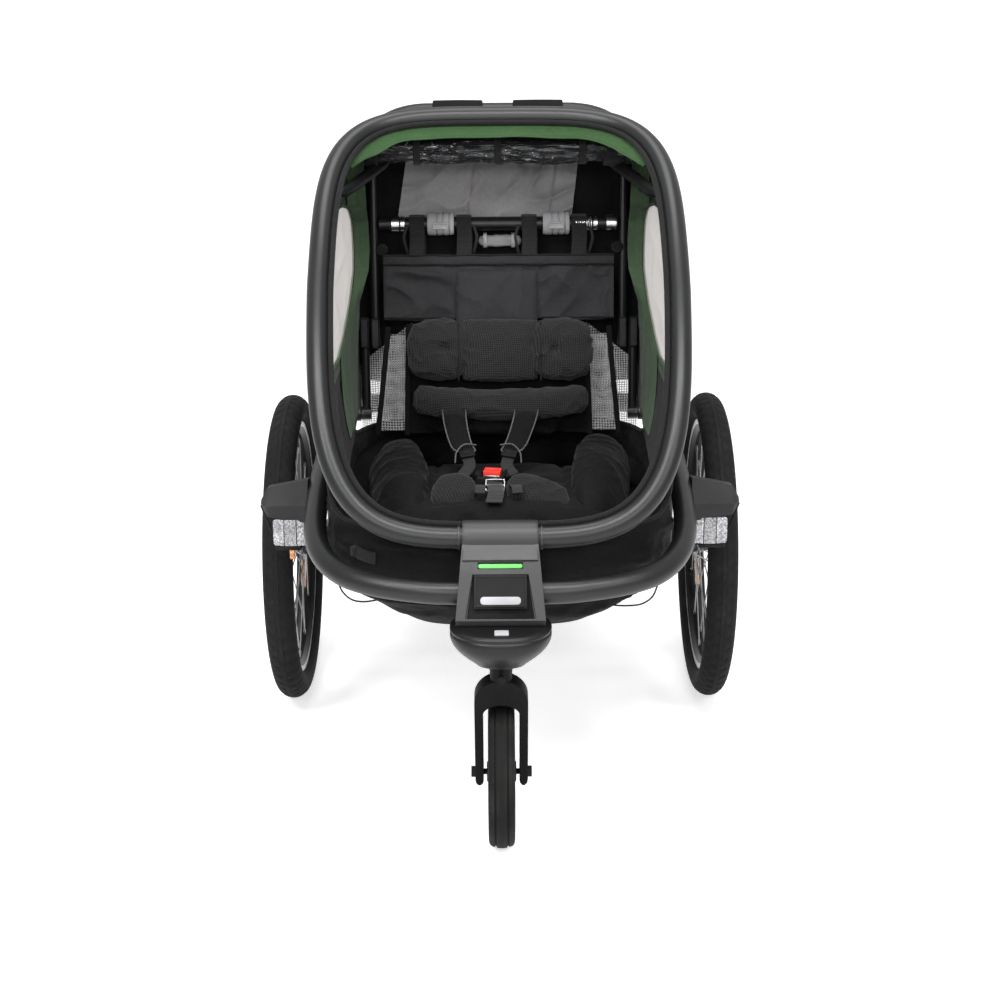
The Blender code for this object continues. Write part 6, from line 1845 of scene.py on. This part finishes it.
def make_dock():
    """The bulbous housing that takes the front wheel's stem."""
    def place(across, along):
        top = 0.14
        if along < top:
            share, fall = 0.02 + 0.935 * along / top, 0.0
        elif along < 0.9:
            fall = (along - top) / (0.9 - top)
            lower = max(0.0, (fall - 0.2) / 0.8)
            share = 0.5 + 0.5 * (1 - lower * lower) ** 1.2 - 0.04 * max(0, 1 - fall / 0.05)
        else:
            share, fall = 0.5 - 0.48 * (along - 0.9) / 0.1, 1.0
        angle = 2 * math.pi * across
        c, s = math.cos(angle), math.sin(angle)
        x = 0.067 * share * bulge(c, 0.87)
        y = 0.059 * share * bulge(s, 0.87)
        groove = 0.0012 * bump_at(fall, 0.14, 0.025)
        scale = 1 - groove / 0.06
        return Vector((x * scale, -0.6 - 0.01 * fall + y * scale, 0.3302 - 0.0485 * fall))

    dock = cloth("wheel_dock_shell", 96, 60, place, True)
    cap(dock)
    dress(dock, DOCK_PLASTIC, nodes="wheel_dock", angle=50)
    tab = block("dock_tab", (0.0185, 0.017, 0.0022), (0.001, -0.637, 0.3308), 0.0008)
    dress(tab, PALE_PLASTIC, angle=40)


def make_fork():
    """The arched fork, its broad crown and the turned neck that enters the dock."""
    def edge(turn, half, straight, rise):
        """One edge of the arch: up the left leg, over the crown, down the right one."""
        if turn < 0.38 or turn > 0.62:
            run = min(turn, 1 - turn) / 0.38
            return math.copysign(half, turn - 0.5), 0.0925 + (straight - 0.0925) * run
        angle = math.pi * (0.62 - turn) / 0.24
        return half * math.cos(angle), straight + rise * math.sin(angle)

    def place(across, along):
        outer, inner = edge(across, 0.0358, 0.224, 0.0358), edge(across, 0.0243, 0.2055, 0.0153)
        end = min(across, 1 - across)
        pinch = 1 if end > 0.02 else 0.25 + 0.75 * math.sqrt(1 - (1 - end / 0.02) ** 2)
        share = 0.5 + (along - 0.5) * pinch
        x, z = (o + (i - o) * share for o, i in zip(outer, inner))
        z -= 0.004 * (1 - end / 0.02) if end < 0.02 else 0
        return Vector((x, -0.5655 - (z - 0.1035) * 0.28, z))

    arch = sewn("front_fork", 150, 8, place, 0.022)
    round_edges(arch, 0.0055, 5, 50)
    neck = spin_profile("fork_neck", [(0.0005, 0.248), (0.0148, 0.248), (0.0148, 0.26),
                                      (0.015, 0.268), (0.017, 0.2745), (0.0195, 0.28),
                                      (0.0195, 0.285), (0.0005, 0.285)],
                        (0, -0.6065, 0), "Z", 56)
    dress(join("front_fork", [arch, neck]), FORK_PAINT, "caster",
          "caster_fork", 45)


def make_front_wheel():
    """The solid front tyre with two grooves, and its five-spoked moulded wheel."""
    centre = (0, -0.565, 0.1035)
    outline = [(0.0786, -0.0125), (0.08, -0.0145), (0.085, -0.017), (0.0915, -0.018),
               (0.0965, -0.0174), (0.0995, -0.0155), (0.1012, -0.0122), (0.1016, -0.0098),
               (0.1, -0.009), (0.1003, -0.0078), (0.1026, -0.007), (0.1033, -0.0035)]
    tyre = spin_profile("front_tyre_rubber", both_ways(outline, (0.1035, 0.0)), centre, "X", 120)
    dress(tyre, SMALL_RUBBER, "front_wheel", "front_tyre", 35)
    half = [(0.0783, 0.0125), (0.074, 0.012), (0.0715, 0.007), (0.069, 0.004)]
    ring = spin_profile("wheel_ring", both_ways(half), centre, "X", 96)
    hub = spin_profile("wheel_hub", [(0.0048, -0.02), (0.013, -0.02), (0.015, -0.018),
                                     (0.018, -0.01), (0.018, 0.01), (0.015, 0.018),
                                     (0.013, 0.02), (0.0048, 0.02)], centre, "X", 48)
    arms = []
    for k in range(5):
        arm = box("wheel_arm", (0.0105, 0.015, 0.056), (0, 0, 0.044))
        pick(arm, "FACE", lambda c, n: n.z > 0.9)
        bpy.ops.transform.resize(value=(0.75, 1.5, 1), center_override=(0, 0, 0.072))
        leave()
        for side in (-1, 1):
            sink(arm, lambda c, n, s=side: n.x * s > 0.9, 0.003, 0.0022)
        round_edges(arm, 0.0012, 2)
        turn_about(arm, 2 * math.pi * k / 5, "X", put_at=centre)
        arms.append(arm)
    dress(join("front_wheel_body", [ring, hub] + arms), BLACK_PLASTIC, "front_wheel",
          "front_rim", 35)


def make_guards():
    """The creased guard ahead of each rear wheel, with its reflector and holder."""
    for name, side in SIDES:
        def place(across, along):
            """Round the guard's section, from its foot on the frame to its pointed tip."""
            run = min(along / 0.86, 1.0)
            point = max(0.0, (along - 0.86) / 0.14)
            top = 0.447 - 0.0118 * run - 0.018 * point
            low = 0.3838 + 0.01 * run + 0.015 * point
            y, z = ((-0.276, top - 0.004), (-0.307, top), (-0.326, 0.4128),
                    (-0.317, low), (-0.276, low + 0.006))[round(across * 5) % 5]
            return Vector((side * (0.2795 + 0.0695 * along), y + (-0.302 - y) * 0.6 * point, z))

        guard = cloth("guard_shell_" + name, 5, 14, place, True)
        cap(guard)
        round_edges(guard, 0.0022, 4, 20)
        dress(guard, GUARD_PLASTIC, nodes="wheel_guard_" + name, angle=40)
        x = side * 0.3068
        holder = box("reflector_holder", (0.049, 0.006, 0.044), (x, -0.307, 0.368))
        foot = box("holder_foot", (0.038, 0.014, 0.0055), (x + side * 0.003, -0.312, 0.3462))
        stem = box("holder_stem", (0.026, 0.005, 0.03), (x, -0.299, 0.39))
        stay = rod("holder_stay", 0.0016, 0.044, (side * 0.342, -0.306, 0.388), (side * 0.35, 0, 1))
        for part in (holder, foot, stem):
            round_edges(part, 0.0012, 2)
        dress(join("reflector_holder_" + name, [holder, foot, stem, stay]), BLACK_PLASTIC,
              angle=40)
        lenses = []
        # The middle lens takes the darker copy of the silver reflector: painted shade.
        for aside, wide, turn, finish in ((-0.017, 0.0165, -0.26, SILVER_REFLECTOR),
                                          (0.0, 0.0175, 0.0, MIDDLE_REFLECTOR_PAINTED_DARKER),
                                          (0.017, 0.0165, 0.26, SILVER_REFLECTOR)):
            lens = box("lens", (wide, 0.006, 0.04),
                       (x + aside, -0.3155 + abs(turn) * 0.008, 0.3695), (0, 0, turn))
            if turn:
                round_corners(lens, lambda c, d: abs(d.y) > 0.8 and (c.x - x - aside) * turn > 0,
                              0.005, 4)
            round_edges(lens, 0.001, 2, 50)
            paint(lens, finish)
            lenses.append(lens)
        dress(join("reflector_lens_" + name, lenses), None,
              nodes="front_reflector_" + name, angle=35)
    marker = block("side_marker", (0.0075, 0.012, 0.025), (-0.307, -0.298, 0.337), 0.0022, 3)
    dress(marker, ORANGE_REFLECTOR, angle=40)


LENS_TURN, LENS_REACH = math.radians(-33), 0.13865


def make_spoke_reflectors():
    """The orange reflector between each rear wheel's spokes."""
    for name, side in SIDES:
        lens = box("spoke_lens_" + name, (0.0062, 0.07, 0.03), (0, 0, 0))
        round_corners(lens, lambda c, d: abs(d.x) > 0.9, 0.012, 6)
        round_edges(lens, 0.0012, 2, 50)
        turn_about(lens, math.pi / 2, "X", put_at=(0, LENS_REACH, 0))
        turn_about(lens, LENS_TURN, "X")
        to_wheel(lens, side)
        dress(lens, ORANGE_REFLECTOR, "wheel_" + name,
              "spoke_reflector_" + name, 40)


def make_springs():
    """The suspension's coil springs."""
    foot, top, curls = 0.3085, 0.4351, 5
    for name, side in SIDES:
        coil = [(side * 0.262 + 0.014 * math.cos(k * math.pi / 15),
                 -0.052 + 0.014 * math.sin(k * math.pi / 15),
                 foot + (top - foot) * k / (30 * curls))
                for k in range(30 * curls + 1)]
        spring = bar("coil_spring_" + name, coil, 0.0021, sides=3, straight=True)
        dress(spring, DARK_STEEL, nodes="suspension_spring_" + name)
        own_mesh(spring)


make_bracket()
make_lever()
make_dock()
make_fork()
make_front_wheel()
make_guards()
make_spoke_reflectors()
make_springs()


# Harness


def make_harness():
    """Shoulder pads with pale piping and their straps, and hip pads."""
    rows = ((-1, (-0.0735, -0.008, 0.4765), (-0.0715, -0.06, 0.48), (-0.068, -0.09, 0.466),
             (-0.06, -0.125, 0.448), (-0.0505, -0.145, 0.44)),
            (1, (0.0433, -0.008, 0.4765), (0.0418, -0.06, 0.48), (0.0355, -0.09, 0.466),
             (0.025, -0.125, 0.448), (0.015, -0.145, 0.44)))
    trims, plates = [], []
    for side, *points in rows:
        name = "left" if side < 0 else "right"
        route = through(points, 8)

        def middle(across, along):
            spot = between(route, along)
            half = 0.019 - 0.003 * along
            taper = math.sqrt(max(0.0, 1 - max(0.0, (along - 0.86) / 0.16) ** 2))
            return spot + Vector(((across * 2 - 1) * half * taper, 0, 0))

        pad = pillow("shoulder_pad_soft_" + name, 18, 34, middle,
                     lambda a, b: 0.0085 * ((1 - abs(2 * a - 1) ** 3)
                                            * (1 - abs(2 * b - 1) ** 8)) ** 0.5,
                     (0, -0.45, 0.9))
        rumple(pad, 0.0018, 0.02, 141 + side)
        dress(pad, SEAT_FABRIC, "backrest", "shoulder_pad_" + name, 70)
        edge = [middle(a, b) + Vector((0, -0.003, 0.006)) for a, b in
                [(0.0, k / 12) for k in range(12)] + [(0.15, 1.0), (0.5, 1.01), (0.85, 1.0)]
                + [(1.0, k / 12) for k in range(11, -1, -1)]]
        trims.append(bar("pad_piping", through(edge, 3), 0.0012, sides=3))
        end = Vector(points[-1])
        loop = [end + Vector(v) for v in ((-0.014 * side, 0.012, 0.014),
                                          (0.004 * side, 0.004, 0.017),
                                          (0.016 * side, -0.01, 0.008),
                                          (0.018 * side, -0.022, -0.006))]
        trims.append(bar("pad_piping", through(loop, 6), 0.0012, sides=3))
        plate = box("adjuster", (0.0225, 0.015, 0.004), end + Vector((0, -0.006, 0.005)),
                    (0.55, 0.1 * side, -0.25 * side))
        sink(plate, lambda c, n: n.z > 0.5, 0.0028, 0.0012)
        round_edges(plate, 0.001, 2)
        plates.append(plate)
        strap_end = end + Vector((0.006 * side, -0.04, -0.02))
        strap = webbing("shoulder_strap_" + name, [end + Vector((0, -0.004, 0.001)),
                                                   end + Vector((-0.004 * side, -0.022, -0.01)),
                                                   strap_end], 0.018, 0.0018, steps=6)
        dress(strap, WEBBING, "backrest", angle=50)
    dress(join("pad_piping", trims), PIPING, "backrest")
    dress(join("strap_adjusters", plates), BLACK_PLASTIC, "backrest", angle=40)
    for name, centre, wide, tall in (
            ("left", (-0.0695, -0.254, 0.408), (0.033, -0.01, 0.002), (0.006, 0.026, 0.021)),
            ("right", (0.0575, -0.255, 0.405), (0.048, -0.008, -0.011), (0.004, 0.024, 0.019))):
        pad = stuffed("hip_pad_soft_" + name, 30, 24, centre, wide, tall, (0, -0.3, 1.0), 0.0165,
                      0.01, 0.85)
        finish_pad(pad, PAD_MESH, "chassis", "black_mesh_fabric", "hip_pad_" + name, 0.7,
                   (0.0022, 0.03, 145), blow=(0.0045, 0.004))


def make_buckle():
    """The buckle with its red button, on the strap between the child's legs."""
    button_low, button_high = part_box("buckle_button")
    centre = (button_low + button_high) / 2 + Vector((0.001, 0.007 - SHIFT_Y, 0.005))
    lean = -0.2
    body = box("buckle_body", (0.04, 0.052, 0.013), centre + Vector((0, 0.0055, -0.007)),
               (0.07, 0, lean))
    sink(body, lambda c, n: n.z > 0.9, 0.0045, 0.003)
    round_edges(body, 0.0032, 4)
    ears = block("buckle_ears", (0.054, 0.017, 0.007), centre + Vector((0, 0.018, -0.007)), 0.0025,
                 3, turn=(0.07, 0, lean))
    dress(join("buckle_body", [body, ears]), BLACK_PLASTIC,
          nodes="harness_buckle", angle=40)
    button = box("red_button", (0.0255, 0.0165, 0.009), centre + Vector((0, 0, 0.001)),
                 (0.16, 0, lean))
    sink(button, lambda c, n: n.z > 0.8, 0.003, 0.0006)
    round_edges(button, 0.0018, 3)
    dress(button, RED_PLASTIC, "release_key", "buckle_button", 40)
    edge = block("buckle_plate", (0.023, 0.0026, 0.0034),
                 centre + Vector((-0.001, -0.0125, -0.002)), 0.0009, turn=(0.16, 0, lean))
    strap = webbing("crotch_strap", [centre + Vector(v) for v in
                                     ((0, -0.01, -0.008), (0.004, -0.04, -0.009),
                                      (0.005, -0.075, -0.0105), (0.002, -0.11, -0.015))],
                    0.024, 0.002, steps=6)
    tails = [webbing("strap_tail", [centre + Vector((x, y, -0.006)),
                                    centre + Vector((x * 1.15, y - 0.012, 0.001)),
                                    centre + Vector((x * 1.25, y - 0.03, -0.006))],
                     0.015, 0.0018, steps=6) for x, y in ((-0.015, -0.062), (0.03, -0.062))]
    dress(join("crotch_strap", [strap] + tails), WEBBING, angle=50)
    around = Vector((0.004, -0.037, -0.009)) + centre
    frame_points = [around + Vector((x, y * 0.6, y)) for x, y in
                    ((-0.0135, 0.0075), (-0.0142, 0.0), (-0.0135, -0.0075), (0.0, -0.0078),
                     (0.0135, -0.0075), (0.0142, 0.0), (0.0135, 0.0075), (0.0, 0.0078))]
    ladder = bar("ladder_buckle", frame_points, 0.0014, True, 4)
    rung = rod("ladder_rung", 0.0013, 0.026, around, "X", 12)
    dress(join("ladder_buckle", [ladder, rung, edge]), SPOKE_STEEL, angle=50)


make_harness()
make_buckle()


# Luggage bag behind the cabin


def make_bag():
    """A soft lofted bag with a lid, binding and two closing straps."""
    def ring(turn, z_share, grow=0.0):
        rows = ((0.0, 0.3, 0.9), (0.1, 0.325, 0.98), (0.38, 0.4, 1.0), (0.77, 0.5, 0.95),
                (0.95, 0.548, 0.8), (1.0, 0.56, 0.7))
        z, share = read(rows, z_share), read(rows, z_share, 2)
        angle = 2 * math.pi * turn
        c, s = math.cos(angle), math.sin(angle)
        x = (0.205 * (0.9 + 0.1 * share) + grow) * bulge(c, 0.42)
        half = 0.0745 * share
        y = 0.1825 + half + (half + grow) * bulge(s, 0.42)
        return Vector((x, y, z))

    turns = even_angles(lambda a: ring(a, 0.5), 0.0, 1.0, 181)

    def place(across, along):
        turn = between(turns, across)
        if along < 0.12 or along > 0.88:
            inward = along / 0.12 if along < 0.12 else (1 - along) / 0.12
            rim = ring(turn, 0.0 if along < 0.5 else 1.0)
            middle = Vector((0, 0.245, rim.z + (0.006 if along > 0.5 else -0.003)))
            return middle.lerp(rim, max(0.01, inward))
        spot = ring(turn, (along - 0.12) / 0.76)
        out = Vector((spot.x, spot.y - 0.25, 0)).normalized()
        fold = (crease(spot, 0.11, 151, (1, 1, 1.5)) - 0.65) * 0.014
        fold += (crease(spot, 0.035, 153, (1, 1, 1.6)) - 0.62) * 0.004
        calm = 1.0 if spot.y > 0.2 else 0.0
        return spot + out * (min(fold, 0.001) * calm)

    bag = cloth("luggage_bag", 180, 90, place, True)
    cap(bag)
    dress(bag, BLACK_FABRIC, nodes="rear_bag")

    def lid_place(across, along):
        run = along * 1.55
        spot = ring(0.5 - across * 0.5, 0.98, 0.003)
        wave = (crease(spot, 0.08, 155) - 0.6) * 0.004
        if run < 1.0:
            front = Vector((spot.x, 0.186, 0.564))
            return (front.lerp(Vector((spot.x, spot.y, 0.5625)), run)
                    + Vector((0, 0, 0.004 * math.sin(math.pi * run))))
        fall = (run - 1.0) / 0.55
        low = ring(0.5 - across * 0.5, 1.0 - 0.26 * fall, 0.0045)
        return low + Vector((0, wave * fall, 0.002))

    lid = sewn("bag_lid", 100, 40, lid_place, 0.0016)
    dress(lid, BLACK_FABRIC)
    hem = bar("lid_hem", [lid_place(k / 60, 1.0) for k in range(61)], 0.0022, sides=3)
    dress(hem, BINDING)
    straps, buckles = [], []
    for x in (-0.105, 0.105):
        fall = [(x, 0.2, 0.5695), (x, 0.25, 0.569), (x, 0.294, 0.564), (x, 0.313, 0.548),
                (x, 0.331, 0.5), (x, 0.335, 0.45), (x, 0.334, 0.4), (x, 0.3325, 0.37)]
        straps.append(webbing("bag_strap", fall, 0.025, 0.0018))
        clip = box("bag_clip", (0.032, 0.008, 0.042), (x, 0.338, 0.438))
        press(clip, lambda c, n: n.y > 0.9, (0.006, 0), (0.001, 0.002))
        round_edges(clip, 0.002, 2)
        buckles.append(clip)
    dress(join("bag_straps", straps), WEBBING, angle=50)
    dress(join("bag_clips", buckles), BLACK_PLASTIC, angle=40)


make_bag()


# Solids whose shape is right get their finish

FINISHES = {"swivel_knob": BLACK_PLASTIC, "front_axle": FORK_PAINT, "axle_beam": FRAME_PAINT,
            "brake_pedal": GREY_PLASTIC}
for side, _ in SIDES:
    for start, finish in (("rear_post_", FRAME_PAINT), ("fold_link_", FRAME_PAINT),
                          ("suspension_arm_", FRAME_PAINT), ("axle_button_", BLACK_PLASTIC)):
        FINISHES[start + side] = finish
for node, finish in FINISHES.items():
    paint(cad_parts[node], finish)


# Stage, lamps and camera


FLOOR_WIDTH, FLOOR_FRONT, FLOOR_BACK, FLOOR_RUN = 14, -3.0, 3.0, 9.0
BEND_LENGTH, BEND_RADIUS = 1.5, 0.955
FLOOR_GLOW, WORLD_LIGHT = 0.6, 0.36
CAMERA_PLACE, CAMERA_LENS, CAMERA_SENSOR = (0, -2.5645, 1.11), 62.17, 36.0
CAMERA_TILT, CAMERA_ROLL = math.radians(74.0), math.radians(-0.34)

# Name, width and height, power, place and the point that it shines at
LAMPS = (
    ("key_lamp", (0.5, 0.4), 30, (-1.2, -2.1, 2.2), (0, 0, 0.5)),
    ("fill_lamp", (0.7, 0.6), 16, (1.4, -2.1, 1.9), (0, 0, 0.5)),
    ("top_lamp", (1.2, 0.8), 26, (0.0, 0.2, 2.7), (0, 0, 0.3)),
    ("strip_lamp", (2.0, 0.45), 68, (0.0, -1.3, 2.3), (0, -0.45, 0.3)),
    ("front_lamp", (1.2, 0.9), 18, (0.0, -3.3, 1.35), (0, 0, 0.5)),
    ("spot_lamp", (0.25, 0.25), 9, (-0.55, -2.3, 1.35), (0, -0.4, 0.3)),
    ("spot_lamp", (0.25, 0.25), 9, (0.55, -2.3, 1.35), (0, -0.4, 0.3)),
)


def seen_white(nodes):
    """1 for the rays that have to meet white: seen, mirrored or let through."""
    path = nodes.add("LightPath").outputs
    seen = nodes.math("MAXIMUM", path["Is Glossy Ray"], path["Is Transmission Ray"])
    return nodes.math("MAXIMUM", seen, path["Is Camera Ray"])


def make_stage():
    """A pale floor that curves up behind, lit plainly."""
    def place(across, along):
        run = along * FLOOR_RUN + FLOOR_FRONT
        rise = max(run - FLOOR_BACK, 0.0)
        bend = min(rise / BEND_LENGTH, math.pi / 2)
        y = min(run, FLOOR_BACK) + math.sin(bend) * BEND_RADIUS
        z = (1 - math.cos(bend)) * BEND_RADIUS + max(rise - BEND_LENGTH * math.pi / 2, 0.0)
        return Vector(((across - 0.5) * FLOOR_WIDTH, y, z))

    floor = cloth("studio_floor", 24, 90, place)
    material, nodes, shader = surface("studio_floor")
    set_shader(shader, Base_Color=(0.86, 0.86, 0.86, 1), Roughness=0.9, Specular_IOR_Level=0.1)
    glow = nodes.add("Emission", {"Color": (1, 1, 1, 1), "Strength": FLOOR_GLOW})
    lit = nodes.add("AddShader", {0: shader.outputs[0], 1: glow.outputs[0]})
    plain = nodes.add("MixShader", {0: seen_white(nodes), 1: shader.outputs[0],
                                    2: lit.outputs[0]})
    nodes.feed(nodes.tree.nodes["Material Output"].inputs["Surface"], plain.outputs[0])
    paint(floor, material)
    smooth(floor, 60)


def make_world():
    world = bpy.data.worlds.new("studio_world")
    bpy.context.scene.world = world
    world.use_nodes = True
    nodes = Nodes(world.node_tree)
    ground = world.node_tree.nodes["Background"]
    nodes.feed(ground.inputs["Color"], (1, 1, 1, 1))
    nodes.feed(ground.inputs["Strength"], nodes.spread(seen_white(nodes), 0, 1, WORLD_LIGHT, 1.0))


def make_lamp(name, size, power, place, target):
    lamp = bpy.data.lights.new(name, "AREA")
    lamp.shape, lamp.size, lamp.size_y = "RECTANGLE", size[0], size[1]
    lamp.energy = power
    holder = add_object(name, lamp)
    holder.location = place
    holder.rotation_euler = (Vector(target) - Vector(place)).to_track_quat("-Z", "Y").to_euler()


def make_camera():
    camera = bpy.data.cameras.new("camera")
    camera.lens, camera.sensor_width = CAMERA_LENS, CAMERA_SENSOR
    camera.clip_start = 0.05
    holder = add_object("camera", camera)
    holder.matrix_world = (Matrix.Translation(CAMERA_PLACE)
                           @ Matrix.Rotation(CAMERA_TILT, 4, "X")
                           @ Matrix.Rotation(CAMERA_ROLL, 4, "Z"))
    bpy.context.scene.camera = holder


make_stage()
make_world()
for lamp in LAMPS:
    make_lamp(*lamp)
make_camera()
bpy.context.scene.view_settings.view_transform = "Standard"
